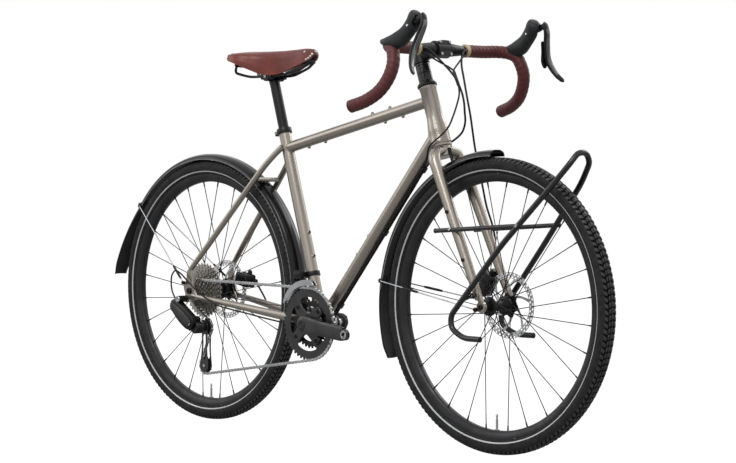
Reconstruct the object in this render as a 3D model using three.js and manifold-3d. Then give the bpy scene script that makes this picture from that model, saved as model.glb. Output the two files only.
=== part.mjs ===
// Touring bicycle with drop bars, two mudguards and a front pannier rack.
// Millimetres. +X is forward, +Y is the rider's left, +Z is up, and the tyres stand on z = 0.
// The model is drawn with x = 0 halfway between the axles and is moved at the end,
// so that the origin lies under the middle of its length.

import * as THREE from "three";
import { mergeVertices } from "three/addons/utils/BufferGeometryUtils.js";
import Module from "manifold-3d";

const wasm = await Module();
wasm.setup();

// Clearances
const gap = 0.3;
const runningGap = 1.2;
const overrun = 4;
const facetTolerance = 0.06;
const mergeDistance = 1e-3;

// Frame geometry
const wheelbase = 1062;
const bottomBracketDrop = 70;
const chainstayLength = 456;
const seatAngle = THREE.MathUtils.degToRad(73.5);
const headAngle = THREE.MathUtils.degToRad(71.5);
const forkRake = 52;
const axleToHeadTube = 425.5;
const headTubeLength = 150;
const headTubeTopRadius = 20.5;
const headTubeBottomRadius = 25.5;
const headTubeBore = 17.3;
const headTubeFlareLength = 30;
const headTubeTaperLength = 45;
const seatTubeLength = 528;
const seatTubeRadius = 15.9;
const seatTubeBoreDepth = 330;
const topTubeRadius = 14.3;
const topTubeDownFromSeatTop = 53;
const topTubeDownFromHeadTop = 35.5;
const downTubeRadius = 17.5;
const downTubeUpFromHeadBottom = 31;
const shellRadius = 20.5;
const shellBore = 17.2;
const shellWidth = 68;
const bossRadius = 4.6;
const bossHeight = 3.2;
const bossSpacing = 64;

// Where each pair of bosses starts, as a share of its tube from the rear or lower end
const downTubeBossShare = 0.3465;
const seatTubeBossShare = 0.3333;
const topTubeTopBossShare = 0.6158;
const topTubeFrontBossShare = 0.6915;
const topTubeRearBossShare = 0.1531;

// Rear triangle
const rearAxleSpacing = 142;
const rearDropoutThickness = 6;
const dropoutEyeReach = 24;
const chainstayHeight = 20;
const chainstayWidth = 15;
const chainstayRise = 12;
const seatstayRadius = 8;
const seatstayTopDrop = 50;
const seatstayTopHalfWidth = 19;
const seatstaySpread = 73;
const seatstayFootRise = 46;
const bridgeRadius = 6;
const bridgeDownFromTop = 86;

// Seat
const collarHeight = 14;
const collarWall = 3.6;
const collarEarLength = 11;
const collarEarWidth = 17;
const seatpostRadius = 13.6;
const seatpostInsertion = 110;
const seatpostHeadHeight = 669;
const seatpostHeadRadius = 13;
const seatpostHeadWidth = 60;
const railRadius = 3.5;
const railHalfSpacing = 22;
const railSetAbovePost = 4;
const railRearRise = 30;
const railRearBend = 12;
const railNoseRise = 30;
const railNoseBend = 18;
const railPlateLift = 2.8;
const saddleLength = 276;
const saddleWidth = 168;
const saddleTopAbovePost = 66;
const saddleNoseAhead = 166;
const leatherThickness = 4.5;
const saddleSkirt = 58;

// Wheels
const tyreRadius = 355;
const tyreWidth = 45;
// Side counts of round bars that no other part runs in
const coarseRound = 12;
const middleRound = 16;
const fineRound = 24;
const wheelSegments = 36;
const rimRadius = 317;
const rimWidth = 28;
const rimWell = 8;
const rimDepth = 20;
const spokeCount = 20;
const spokeRadius = 1.2;
const spokeCrossAngle = THREE.MathUtils.degToRad(52);
const axleRadius = 6;
const axleSides = 12;
const frontAxleSpacing = 100;
const frontFlangeOffset = 27;
const frontFlangeRadius = 22;
const rearDriveFlangeOffset = 19;
const rearDiscFlangeOffset = 34;
const rearFlangeRadius = 27;
const flangeThickness = 5;
const spokePlaneOffset = 1.3;
const hubBodyRadius = 13;
const hubEndRadius = 10;
const hubSides = 12;
const rotorRadius = 80;
const rotorBand = 14;
const rotorThickness = 1.8;
const rotorBore = 17.6;
const rotorCarrierRadius = 27;
const rotorArmCount = 6;
const rotorSegments = 28;
const frontRotorOffset = 42;
const rearRotorOffset = 58;
const caliperLength = 54;
const caliperHeight = 38;
const caliperWidth = 30;
const caliperSlot = 4.2;

// Drive
const chainPitch = 12.7;
const outerRingTeeth = 46;
const innerRingTeeth = 30;
const chainCogTeeth = 15;
const chainCogIndex = 2;
const largestCogTeeth = 36;
const smallestCogTeeth = 11;
const pulleyTeeth = 11;
const cogCount = 11;
const cogSpacing = 3.74;
const cogThickness = 1.8;
const cassetteSides = 16;
const smallestCogOffset = 63;
const chainHeight = 8;
const chainWidth = 5;
const outerRingOffset = 49;
const ringThickness = 2;
const ringSegments = 32;
const ringSpacing = 7;
const ringBandWidth = 21;
const spiderRadius = 58;
const spiderThickness = 6;
const spiderArmWidth = 17;
const boltInset = 4;
const spindleRadius = 12;
const crankLength = 170;
const crankAngle = THREE.MathUtils.degToRad(-6);
const crankArmWidth = 36;
const crankArmThickness = 13;
const crankRootOffset = 61.5;
const crankFlare = 13;
const pedalHoleRadius = 7.2;
const pedalEyeRadius = 13.5;
const cupRadius = 21.8;
const cupWidth = 8;

// Rear derailleur
const hangerBehindAxle = 14;
const hangerBelowAxle = 22;
const hangerRadius = 9;
const knucklePlane = 92;
const linkLength = 80;
const linkHeading = THREE.MathUtils.degToRad(-34);
const linkBehindHanger = 18;
const linkBelowHanger = 18;
const linkWidth = 30;
const linkThickness = 6;
const linkSpacing = 14;
const knuckleRadius = 9;
const knuckleThickness = 28;
const guideAheadOfAxle = 47;
const guideBelowAxle = 97;
const pulleySpacing = 105;
const pulleyLean = THREE.MathUtils.degToRad(2);
const pulleyThickness = 2.4;
const pulleyBore = 3.2;
const cagePlateGap = 11;
const cagePlateThickness = 1.8;
const cagePlateWidth = 34;

// Front derailleur
const bandDistance = 131;
const bandHeight = 12;
const bandWall = 3;
const mechBodyLength = 30;
const mechBodyHeight = 22;
const mechCageGap = 12;
const mechCagePlate = 1.6;
const mechCageHeight = 20;
const mechRingOverlap = 6;
const mechSideShift = 1;
const mechCageSpan = THREE.MathUtils.degToRad(54);
const mechCageStart = THREE.MathUtils.degToRad(86);

// Fork, headset and stem
const steererRadius = 14.3;
const crownDrop = 20;
const crownRadius = 21;
const crownRaceHeight = 7;
const legTopRadius = 13;
const legFootRadius = 9;
const legTopHalfWidth = 44;
const legSides = 8;
const forkDropoutThickness = 8;
const forkDropoutRadius = 14;
const topCoverHeight = 14;
const topCoverRadius = 24.5;
const spacerRadius = 18;
const spacerStackHeight = 46;
const stemClampHeight = 42;
const stemClampRadius = 20;
const stemLength = 70;
const stemAngle = THREE.MathUtils.degToRad(-8);
const stemTubeRadius = 16;
const faceplateWidth = 46;
const faceplateRadius = 21;

// Handlebar and controls
const barClampRadius = 15.9;
const barClampWidth = 84;
const barGripRadius = 11.9;
const barWidth = 430;
const barReach = 66;
const barDrop = 147;
const barFlare = 49;
const tapeThickness = 3.2;
const tapeLapHeight = 0.7;
const tapeLaps = 13;
const tapeStart = 81;
const hoodWidth = 36;
const hoodHeight = 44;
const hoodReach = 92;
const hoodRise = 74;
const leverLength = 128;
const leverWidth = 15;
const leverThickness = 6;
const leverPivotAhead = 128;
const leverPivotUp = 55;
const leverBladeAhead = 142;
const leverBladeUp = 62;
const leverPinRadius = 2.5;
const leverPinLength = 26;
const leverFlare = 46;
const paddleLength = 66;
const paddleWidth = 20;
const paddleThickness = 4;

// Mudguards, stays and rack
const guardRadius = 371;
const guardWidth = 52;
const guardDepth = 15;
const guardThickness = 2;
const frontGuardFlare = 17;
const rearGuardFlare = 43;
const frontGuardStart = THREE.MathUtils.degToRad(90);
const frontGuardEnd = THREE.MathUtils.degToRad(202);
const rearGuardStart = THREE.MathUtils.degToRad(-20);
const rearGuardEnd = THREE.MathUtils.degToRad(175.6);
const rearFlapStart = THREE.MathUtils.degToRad(140);
const stayWireRadius = 1.7;
const staySleeveRadius = 3.2;
const guardTabWidth = 16;
const guardTabThickness = 3;
const rackTubeRadius = 7;
const railTubeRadius = 5.5;
const rackHalfWidth = 92;
const rackHoopAhead = 253;
const rackHoopAbove = 367;
const rackFootAhead = 30;
const rackFootBelow = 75;

// Hoses
const hoseRadius = 2.6;
const cableRadius = 2.2;
const tubeRunStart = 92;
const tubeRunSide = 3.5;
const tubeRunEnd = 50;
const tubeRunLast = 25;
const tubeRunDip = 3.7;
const hoseSides = 6;

// Directions
const forward = new THREE.Vector3(1, 0, 0);
const left = new THREE.Vector3(0, 1, 0);
const up = new THREE.Vector3(0, 0, 1);
const steerUp = new THREE.Vector3(-Math.cos(headAngle), 0, Math.sin(headAngle));
const steerAhead = new THREE.Vector3(Math.sin(headAngle), 0, Math.cos(headAngle));
const seatUp = new THREE.Vector3(-Math.cos(seatAngle), 0, Math.sin(seatAngle));
const seatAhead = new THREE.Vector3(Math.sin(seatAngle), 0, Math.cos(seatAngle));

// Main points of the frame
const frontAxle = new THREE.Vector3(wheelbase / 2, 0, tyreRadius);
const rearAxle = new THREE.Vector3(-wheelbase / 2, 0, tyreRadius);
const bottomBracket = new THREE.Vector3(
  rearAxle.x + Math.sqrt(chainstayLength ** 2 - bottomBracketDrop ** 2), 0, tyreRadius - bottomBracketDrop);
const steerFoot = frontAxle.clone().addScaledVector(steerAhead, -forkRake);
const headBottom = onSteerer(axleToHeadTube);
const headTop = onSteerer(axleToHeadTube + headTubeLength);
const seatTop = onSeatTube(seatTubeLength);
const topTubeRear = onSeatTube(seatTubeLength - topTubeDownFromSeatTop);
const topTubeFront = onSteerer(axleToHeadTube + headTubeLength - topTubeDownFromHeadTop);
const downTubeFront = onSteerer(axleToHeadTube + downTubeUpFromHeadBottom);

// A point on the steering axis, measured from the foot of the rake.
function onSteerer(distance, ahead = 0, side = 0) {
  return steerFoot.clone().addScaledVector(steerUp, distance).addScaledVector(steerAhead, ahead)
    .addScaledVector(left, side);
}

// A point on the seat tube's axis, measured from the bottom bracket.
function onSeatTube(distance, ahead = 0, side = 0) {
  return bottomBracket.clone().addScaledVector(seatUp, distance).addScaledVector(seatAhead, ahead)
    .addScaledVector(left, side);
}

function point(x, y, z) {
  return new THREE.Vector3(x, y, z);
}

function flat(x, y) {
  return new THREE.Vector2(x, y);
}

// Merges the vertices of a geometry and drops the triangles that have shrunk to nothing.
function weld(geometry) {
  const plain = geometry.clone();
  plain.deleteAttribute("normal");
  plain.deleteAttribute("uv");
  const merged = mergeVertices(plain, mergeDistance);
  const corners = merged.index.array;
  const kept = [];
  for (let i = 0; i < corners.length; i += 3) {
    const [a, b, c] = [corners[i], corners[i + 1], corners[i + 2]];
    if (a !== b && b !== c && c !== a) kept.push(a, b, c);
  }
  merged.setIndex(kept);
  return merged;
}

function solidOf(geometry) {
  const closed = weld(geometry);
  return new wasm.Manifold(new wasm.Mesh({
    numProp: 3,
    vertProperties: new Float32Array(closed.attributes.position.array),
    triVerts: new Uint32Array(closed.index.array),
  }));
}

function geometryOf(solid) {
  const mesh = solid.simplify(facetTolerance).getMesh();
  const geometry = new THREE.BufferGeometry();
  geometry.setAttribute("position", new THREE.BufferAttribute(mesh.vertProperties, 3));
  geometry.setIndex(new THREE.BufferAttribute(mesh.triVerts, 1));
  return geometry;
}

function join(...geometries) {
  return geometryOf(geometries.map(solidOf).reduce((whole, piece) => whole.add(piece)));
}

function cut(geometry, ...tools) {
  return geometryOf(tools.map(solidOf).reduce((whole, tool) => whole.subtract(tool), solidOf(geometry)));
}

function mirrored(geometry) {
  const copy = weld(geometry);
  copy.scale(1, -1, 1);
  const corners = Array.from(copy.index.array);
  for (let i = 0; i < corners.length; i += 3) [corners[i], corners[i + 1]] = [corners[i + 1], corners[i]];
  copy.setIndex(corners);
  return copy;
}

// Turns a geometry drawn along +Y so that it runs from one point towards another.
function aim(geometry, from, to) {
  const direction = to.clone().sub(from).normalize();
  const turn = new THREE.Quaternion().setFromUnitVectors(left, direction);
  return geometry.applyQuaternion(turn).translate(from.x, from.y, from.z);
}

// A round bar between two points.
function bar(from, to, radius, sides = 16, endRadius = radius) {
  const length = from.distanceTo(to);
  const geometry = new THREE.CylinderGeometry(endRadius, radius, length, sides, 1);
  return aim(geometry.translate(0, length / 2, 0), from, to);
}

// A closed profile of [radius, height] pairs turned around an axis from one point towards another.
function turned(profile, from, to, segments = 18) {
  const outline = profile.map(([radius, height]) => flat(radius, height));
  outline.push(outline[0].clone());
  return aim(new THREE.LatheGeometry(outline, segments), from, to);
}

// A ring with a bore between two points.
function ring(from, to, radius, bore, segments = 18) {
  const length = from.distanceTo(to);
  return turned([[bore, 0], [radius, 0], [radius, length], [bore, length]], from, to, segments);
}

// A flat plate: its outline lies in x and z, and it spans from one y to another.
function plate(outline, low, high, holes = []) {
  const shape = new THREE.Shape(outline);
  shape.holes = holes.map((hole) => new THREE.Path(hole));
  const geometry = new THREE.ExtrudeGeometry(shape, { depth: high - low, bevelEnabled: false });
  return geometry.rotateX(Math.PI / 2).translate(0, high, 0);
}

function circle(centreX, centreZ, radius, segments, start = 0) {
  return Array.from({ length: segments }, (_, i) => {
    const angle = start + (i / segments) * 2 * Math.PI;
    return flat(centreX + radius * Math.cos(angle), centreZ + radius * Math.sin(angle));
  });
}

function block(centre, length, width, height, turn = 0) {
  return new THREE.BoxGeometry(length, width, height).rotateY(turn).translate(centre.x, centre.y, centre.z);
}

// A path through chosen stations, each with its own direction.
class StationPath extends THREE.Curve {
  constructor(points) {
    super();
    this.points = points;
  }

  getPoint(share) {
    const place = share * (this.points.length - 1);
    const index = Math.min(Math.floor(place), this.points.length - 2);
    return this.points[index].clone().lerp(this.points[index + 1], place - index);
  }

  getPointAt(share) {
    return this.getPoint(share);
  }

  getTangentAt(share) {
    const index = Math.round(share * (this.points.length - 1));
    const before = this.points[Math.max(index - 1, 0)];
    const after = this.points[Math.min(index + 1, this.points.length - 1)];
    return after.clone().sub(before).normalize();
  }
}

// Straight runs joined by bends: each inner corner becomes a short arc of a few stations.
function bent(points, bendRadius, bendSteps = 3) {
  const stations = [points[0].clone()];
  for (let i = 1; i < points.length - 1; i += 1) {
    const corner = points[i];
    const back = points[i - 1].clone().sub(corner);
    const ahead = points[i + 1].clone().sub(corner);
    const reach = Math.min(bendRadius, back.length() * 0.45, ahead.length() * 0.45);
    const start = corner.clone().addScaledVector(back.normalize(), reach);
    const end = corner.clone().addScaledVector(ahead.normalize(), reach);
    const curve = new THREE.QuadraticBezierCurve3(start, corner, end);
    stations.push(...curve.getPoints(bendSteps));
  }
  stations.push(points[points.length - 1].clone());
  return stations;
}

// A round tube along stations.
function pipe(stations, radius, sides = 8) {
  const shape = new THREE.Shape(circle(0, 0, radius, sides));
  const extrudePath = new StationPath(stations);
  return new THREE.ExtrudeGeometry(shape, { steps: stations.length - 1, bevelEnabled: false, extrudePath });
}

// A body through a row of sections that all have the same number of points.
// With closed set, the last section joins the first, otherwise the ends are capped.
function loft(sections, outline, closed = false) {
  const count = sections[0].length;
  const positions = sections.flat().flatMap((corner) => [corner.x, corner.y, corner.z]);
  const corners = [];
  const rows = closed ? sections.length : sections.length - 1;
  for (let row = 0; row < rows; row += 1) {
    const near = row * count;
    const far = ((row + 1) % sections.length) * count;
    for (let i = 0; i < count; i += 1) {
      const next = (i + 1) % count;
      corners.push(near + i, near + next, far + next, near + i, far + next, far + i);
    }
  }
  if (!closed) {
    const turn = THREE.ShapeUtils.isClockWise(outline) ? 1 : -1;
    const last = (sections.length - 1) * count;
    for (const [a, b, c] of THREE.ShapeUtils.triangulateShape(outline, [])) {
      const [first, second, third] = turn > 0 ? [a, b, c] : [a, c, b];
      corners.push(first, second, third, last + first, last + third, last + second);
    }
  }
  return facingOut(positions, corners);
}

// Builds the geometry and turns it the right way round if its volume comes out negative.
function facingOut(positions, corners) {
  let volume = 0;
  const at = (i) => point(positions[3 * i], positions[3 * i + 1], positions[3 * i + 2]);
  for (let i = 0; i < corners.length; i += 3) {
    volume += at(corners[i]).dot(at(corners[i + 1]).cross(at(corners[i + 2])));
  }
  if (volume < 0) {
    for (let i = 0; i < corners.length; i += 3) {
      [corners[i], corners[i + 1]] = [corners[i + 1], corners[i]];
    }
  }
  const geometry = new THREE.BufferGeometry();
  geometry.setAttribute("position", new THREE.Float32BufferAttribute(positions, 3));
  geometry.setIndex(corners);
  return geometry;
}

// Sections of an oval tube along points; widths are half sizes across y and across the path.
function oval(points, sides, spin = Math.PI / sides) {
  const unit = circle(0, 0, 1, sides, spin);
  const sections = points.map((station, index) => {
    const before = points[Math.max(index - 1, 0)].at;
    const after = points[Math.min(index + 1, points.length - 1)].at;
    const along = after.clone().sub(before).normalize();
    const across = station.side ? station.side.clone() : left.clone();
    across.addScaledVector(along, -across.dot(along)).normalize();
    const rise = along.clone().cross(across).normalize();
    return unit.map(({ x, y }) => station.at.clone().addScaledVector(across, x * station.width)
      .addScaledVector(rise, y * station.height));
  });
  return loft(sections, unit);
}

function material(color, roughness, metalness) {
  return () => new THREE.MeshStandardMaterial({ color, roughness, metalness });
}

const paint = material("#a0968a", 0.38, 0.6);
const blackAlloy = material("#1a1a1b", 0.42, 0.6);
const greyAlloy = material("#4a4b4d", 0.45, 0.7);
const steel = material("#b9bbbd", 0.3, 0.9);
const darkSteel = material("#5a5a58", 0.4, 0.9);
const blackPlastic = material("#161617", 0.45, 0);
const rubber = material("#232324", 0.8, 0);
const tyreRubber = material("#1d1d1e", 0.85, 0);
const leather = material("#6e3027", 0.5, 0);
const tapeLeather = material("#4e2226", 0.65, 0);

const bicycle = new THREE.Group();

function add(name, geometry, finish) {
  const mesh = new THREE.Mesh(weld(geometryOf(solidOf(geometry))), finish());
  mesh.name = name;
  bicycle.add(mesh);
}

// Frame tubes
function headTubeProfile(clearance, bore) {
  const flare = headTubeFlareLength;
  const top = flare + headTubeTaperLength;
  return [[bore, 0], [headTubeBottomRadius + clearance, 0], [headTubeBottomRadius + clearance, flare],
    [headTubeTopRadius + clearance, top], [headTubeTopRadius + clearance, headTubeLength],
    [bore, headTubeLength]];
}

function headTubeCutter() {
  return turned(headTubeProfile(gap, 0), headBottom, headTop);
}

function seatTubeCutter() {
  return bar(onSeatTube(-overrun), onSeatTube(seatTubeLength + overrun), seatTubeRadius + gap, 20);
}

function shellCutter() {
  const reach = point(0, shellWidth / 2 + overrun, 0);
  return bar(bottomBracket.clone().sub(reach), bottomBracket.clone().add(reach), shellRadius + gap, 20);
}

function boss(from, to, distance, outward, radius) {
  const along = to.clone().sub(from).normalize();
  const foot = from.clone().addScaledVector(along, distance);
  const start = foot.clone().addScaledVector(outward, radius * 0.7);
  const end = foot.clone().addScaledVector(outward, radius + bossHeight);
  return bar(start, end, bossRadius, 6);
}

function bossPair(from, to, startShare, outward, radius) {
  const start = startShare * from.distanceTo(to);
  return [0, bossSpacing].map((step) => boss(from, to, start + step, outward, radius));
}

function outwardOf(from, to, side) {
  const along = to.clone().sub(from).normalize();
  return point(-along.z, 0, along.x).multiplyScalar(side);
}

add("head_tube", turned(headTubeProfile(0, headTubeBore), headBottom, headTop), paint);

function topTube() {
  const above = outwardOf(topTubeRear, topTubeFront, 1);
  const below = outwardOf(topTubeRear, topTubeFront, -1);
  const tube = join(
    bar(topTubeRear, topTubeFront, topTubeRadius),
    ...bossPair(topTubeRear, topTubeFront, topTubeTopBossShare, above, topTubeRadius),
    ...bossPair(topTubeRear, topTubeFront, topTubeFrontBossShare, below, topTubeRadius),
    ...bossPair(topTubeRear, topTubeFront, topTubeRearBossShare, below, topTubeRadius));
  return cut(tube, headTubeCutter(), seatTubeCutter());
}

add("top_tube", topTube(), paint);

function downTube() {
  const above = outwardOf(bottomBracket, downTubeFront, 1);
  const tube = join(
    bar(bottomBracket, downTubeFront, downTubeRadius),
    ...bossPair(bottomBracket, downTubeFront, downTubeBossShare, above, downTubeRadius));
  const crownRoom = bar(onSteerer(axleToHeadTube - crownDrop), headBottom,
    headTubeBottomRadius + 2 * runningGap, fineRound);
  return cut(tube, headTubeCutter(), crownRoom, seatTubeCutter(), shellCutter());
}

add("down_tube", downTube(), paint);

function seatTube() {
  const tube = join(
    bar(bottomBracket, seatTop, seatTubeRadius, 20),
    ...bossPair(bottomBracket, seatTop, seatTubeBossShare, seatAhead, seatTubeRadius));
  const bore = bar(onSeatTube(seatTubeLength - seatTubeBoreDepth), onSeatTube(seatTubeLength + overrun),
    seatpostRadius + gap);
  return cut(tube, bore, shellCutter());
}

add("seat_tube", seatTube(), paint);

function acrossBottomBracket(halfWidth, radius, bore, segments = 18) {
  const reach = point(0, halfWidth, 0);
  return ring(bottomBracket.clone().sub(reach), bottomBracket.clone().add(reach), radius, bore, segments);
}

add("bottom_bracket_shell", acrossBottomBracket(shellWidth / 2, shellRadius, shellBore), paint);

// Rear triangle: the right side is drawn first, at negative y.
const dropoutInner = rearAxleSpacing / 2;
const dropoutOuter = dropoutInner + rearDropoutThickness;
const dropoutMiddle = (dropoutInner + dropoutOuter) / 2;
const hangerBolt = point(rearAxle.x - hangerBehindAxle, 0, rearAxle.z - hangerBelowAxle);

// Shares along the stay from bottom bracket to axle, of the half spacing, and of the height and width.
const chainstayStations = [
  { alongShare: 0.045, sideShare: 0.31, wideShare: 0.9, tallShare: 1.05 },
  { alongShare: 0.15, sideShare: 0.42, wideShare: 0.78, tallShare: 1.15 },
  { alongShare: 0.27, sideShare: 0.5, wideShare: 0.88, tallShare: 1.1 },
  { alongShare: 0.6, sideShare: 0.69, wideShare: 1.15, tallShare: 0.95 },
  { alongShare: 0.8, sideShare: 0.87, wideShare: 1, tallShare: 0.82 },
  { alongShare: 0.87, sideShare: 0.94, wideShare: 0.82, tallShare: 0.75 },
  { alongShare: 0.98, sideShare: 1, wideShare: 0.62, tallShare: 0.65 },
];

function chainstayCentre(alongShare, sideShare) {
  const foot = rearAxle.clone().addScaledVector(up, -chainstayRise);
  const centre = bottomBracket.clone().lerp(foot, alongShare);
  centre.y = -dropoutMiddle * sideShare;
  return centre;
}

// Outline of the dropout around the axle, as shares of its reach.
const dropoutOutlineShares = [
  [0.85, 2.2], [-0.1, 2.25], [-0.9, 1.3], [-1.15, 0.5], [-1.1, -0.5], [-0.3, -1.05],
  [0.9, -1.15], [1.5, -0.85], [1.2, 0.1],
];

function dropout(withHanger) {
  const outline = dropoutOutlineShares.map(([x, z]) =>
    flat(rearAxle.x + x * dropoutEyeReach, rearAxle.z + z * dropoutEyeReach));
  const axleHole = circle(rearAxle.x, rearAxle.z, axleRadius + gap, middleRound);
  const body = plate(outline, -dropoutOuter, -dropoutInner);
  const hole = plate(axleHole, -dropoutOuter - overrun, -dropoutInner + overrun);
  if (!withHanger) return cut(body, hole);
  const hanger = plate(circle(hangerBolt.x, hangerBolt.z, hangerRadius, 14), -dropoutOuter, -dropoutInner);
  return cut(join(body, hanger), hole);
}

function chainstay(withHanger) {
  const stations = chainstayStations.map((station) => ({
    at: chainstayCentre(station.alongShare, station.sideShare),
    width: (chainstayWidth / 2) * station.wideShare,
    height: (chainstayHeight / 2) * station.tallShare,
  }));
  return cut(join(oval(stations, 10), dropout(withHanger)), shellCutter(), seatTubeCutter(), hubSpace());
}

// The room for the hub between the dropouts
function hubSpace() {
  const reach = left.clone().multiplyScalar(dropoutInner);
  return bar(rearAxle.clone().sub(reach), rearAxle.clone().add(reach), dropoutEyeReach * 2, fineRound);
}

add("chainstay_right", chainstay(true), paint);
add("chainstay_left", mirrored(chainstay(false)), paint);

const seatstayTop = onSeatTube(seatTubeLength - seatstayTopDrop);
const seatstayFoot = rearAxle.clone().addScaledVector(up, seatstayFootRise + dropoutEyeReach / 2);
const bridgeCentre = bridgePoint();
// Shares along the seatstay, and of the spread between its top and foot half widths.
const seatstayStations = [[0, 0], [0.07, 0.2], [0.16, 0.37], [0.47, 0.61], [0.82, 0.84], [1, 1]];

function seatstayPoint(alongShare, spreadShare) {
  const at = seatstayTop.clone().lerp(seatstayFoot, alongShare);
  at.y = -THREE.MathUtils.lerp(seatstayTopHalfWidth, seatstaySpread, spreadShare);
  return at;
}

function bridgePoint() {
  return seatstayTop.clone().lerp(seatstayFoot, bridgeDownFromTop / (seatstayTop.z - seatstayFoot.z));
}

function seatstays() {
  const stations = seatstayStations.map(([alongShare, spreadShare]) => ({
    at: seatstayPoint(alongShare, spreadShare), width: seatstayRadius, height: seatstayRadius,
  }));
  const right = oval(stations, 10);
  const reach = point(0, (seatstayTopHalfWidth + seatstaySpread) / 2, 0);
  const bridge = bar(bridgeCentre.clone().sub(reach), bridgeCentre.clone().add(reach), bridgeRadius,
    coarseRound);
  const outerTrim = seatstayTrim(-1);
  return cut(join(right, mirrored(right), cut(bridge, outerTrim, mirrored(outerTrim))),
    seatTubeCutter(), topTubeTrim(), dropoutTrim(), mirrored(dropoutTrim()));
}

// What lies outside the seatstays at the bridge, so that its ends stop inside the tubes.
function seatstayTrim(side) {
  const width = seatstaySpread;
  const middle = side * (bridgeHalfWidth() + width / 2);
  return block(point(bridgeCentre.x, middle, bridgeCentre.z), width, width, width);
}

function bridgeHalfWidth() {
  const share = bridgeDownFromTop / (seatstayTop.z - seatstayFoot.z);
  const below = seatstayStations.findIndex(([along]) => along > share);
  const [nearAlong, nearSpread] = seatstayStations[below - 1];
  const [farAlong, farSpread] = seatstayStations[below];
  const spread = THREE.MathUtils.mapLinear(share, nearAlong, farAlong, nearSpread, farSpread);
  return THREE.MathUtils.lerp(seatstayTopHalfWidth, seatstaySpread, spread);
}

function topTubeTrim() {
  return bar(topTubeRear, topTubeFront, topTubeRadius + gap);
}

function dropoutTrim() {
  const outline = dropoutOutlineShares.map(([x, z]) =>
    flat(rearAxle.x + x * dropoutEyeReach, rearAxle.z + z * dropoutEyeReach));
  const centre = outline.reduce((sum, corner) => sum.add(corner), flat(0, 0)).divideScalar(outline.length);
  const grown = outline.map((corner) => corner.clone().add(corner.clone().sub(centre).setLength(gap * 2)));
  return plate(grown, -dropoutOuter - gap, -dropoutInner + gap);
}

add("seatstays", seatstays(), paint);

// Seat collar with its two bolt ears behind
function seatCollar() {
  const low = onSeatTube(seatTubeLength - collarHeight + gap);
  const high = onSeatTube(seatTubeLength + gap);
  const outer = seatTubeRadius + gap + collarWall;
  const band = ring(low, high, outer, seatTubeRadius + gap);
  const ear = block(onSeatTube(seatTubeLength - collarHeight / 2 + gap,
    -outer - collarEarLength / 2 + collarWall / 2),
    collarEarLength, collarEarWidth, collarHeight * 0.8, seatAngle - Math.PI / 2);
  return cut(join(band, ear), seatTubeCutter());
}

add("seat_collar", seatCollar(), blackAlloy);

// Bottom bracket: two cups outside the shell, joined by a sleeve inside it
function bottomBracketBearing() {
  const bore = spindleRadius + gap;
  const sleeve = shellBore - gap;
  const face = shellWidth / 2 + gap;
  const end = face + cupWidth;
  const profile = [[bore, 0], [cupRadius, 0], [cupRadius, cupWidth], [sleeve, cupWidth],
    [sleeve, end + face], [cupRadius, end + face], [cupRadius, 2 * end], [bore, 2 * end]];
  const start = bottomBracket.clone().addScaledVector(left, -end);
  return turned(profile, start, bottomBracket.clone().addScaledVector(left, end), 18);
}

add("bottom_bracket_bearing", bottomBracketBearing(), blackAlloy);

// Wheels
const rimOuter = rimRadius;
const rimInner = rimRadius - rimDepth;

function around(centre, profile, segments) {
  return turned(profile, centre, centre.clone().add(left), segments);
}

// Outer crown, shoulders, side walls and the seat on the rim.
function tyre(centre) {
  const half = tyreWidth / 2;
  const section = tyreRadius - rimOuter;
  const seat = rimOuter + gap;
  const seatHalf = rimWidth / 2;
  const wallShares = [[0.1, 0.72], [0.45, 1]];
  const wall = wallShares.map(([drop, wide]) => [tyreRadius - drop * section, wide * half]);
  const one = [...wall, [seat, seatHalf]];
  const other = one.map(([radius, side]) => [radius, -side]).reverse();
  return around(centre, [[tyreRadius, 0], ...one, ...other], wheelSegments);
}

function rim(centre) {
  const half = rimWidth / 2;
  const well = rimOuter - rimWell;
  const one = [[rimOuter, half], [rimInner, half * 0.45]];
  const other = one.map(([radius, side]) => [radius, -side]).reverse();
  return around(centre, [[well, 0], ...one, ...other], wheelSegments);
}

// Spokes leave each flange in pairs that lean forward and back.
function spokes(centre, flanges, flangeRadius) {
  const outer = rimInner * Math.cos(Math.PI / wheelSegments) - gap;
  const pieces = [];
  for (let i = 0; i < spokeCount; i += 1) {
    const side = i % 2 === 0 ? 1 : -1;
    const lean = Math.floor(i / 2) % 2 === 0 ? 1 : -1;
    const rimAngle = ((i + 0.5) / spokeCount) * 2 * Math.PI;
    const hubAngle = rimAngle + lean * spokeCrossAngle;
    const seat = flangeRadius - spokeRadius;
    const shifted = lean * spokePlaneOffset;
    const from = point(centre.x + seat * Math.cos(hubAngle), side * flanges[side] + shifted,
      centre.z + seat * Math.sin(hubAngle));
    const to = point(centre.x + outer * Math.cos(rimAngle), shifted, centre.z + outer * Math.sin(rimAngle));
    pieces.push(bar(from, to, spokeRadius, 3));
  }
  return pieces;
}

function hubProfile(halfSpacing, flanges, flangeRadius, freehub) {
  const bore = axleRadius + gap;
  const end = halfSpacing - gap;
  const thick = flangeThickness / 2;
  const driveEnd = freehub > 0 ? freehub : hubEndRadius;
  const rotorSeat = rotorBore * Math.cos(Math.PI / hubSides) - gap;
  return [
    [bore, -end], [hubEndRadius, -end], [hubEndRadius, -end + thick], [driveEnd, -end + thick],
    [driveEnd, -flanges[-1] - thick], [flangeRadius, -flanges[-1] - thick], [flangeRadius,
      -flanges[-1] + thick],
    [hubBodyRadius, -flanges[-1] + 1.2 * thick], [hubBodyRadius, flanges[1] - 1.2 * thick],
    [flangeRadius, flanges[1] - thick], [flangeRadius, flanges[1] + thick], [rotorSeat, flanges[1] + thick],
    [rotorSeat, end - thick], [hubEndRadius, end - thick], [hubEndRadius, end], [bore, end],
  ];
}

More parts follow.
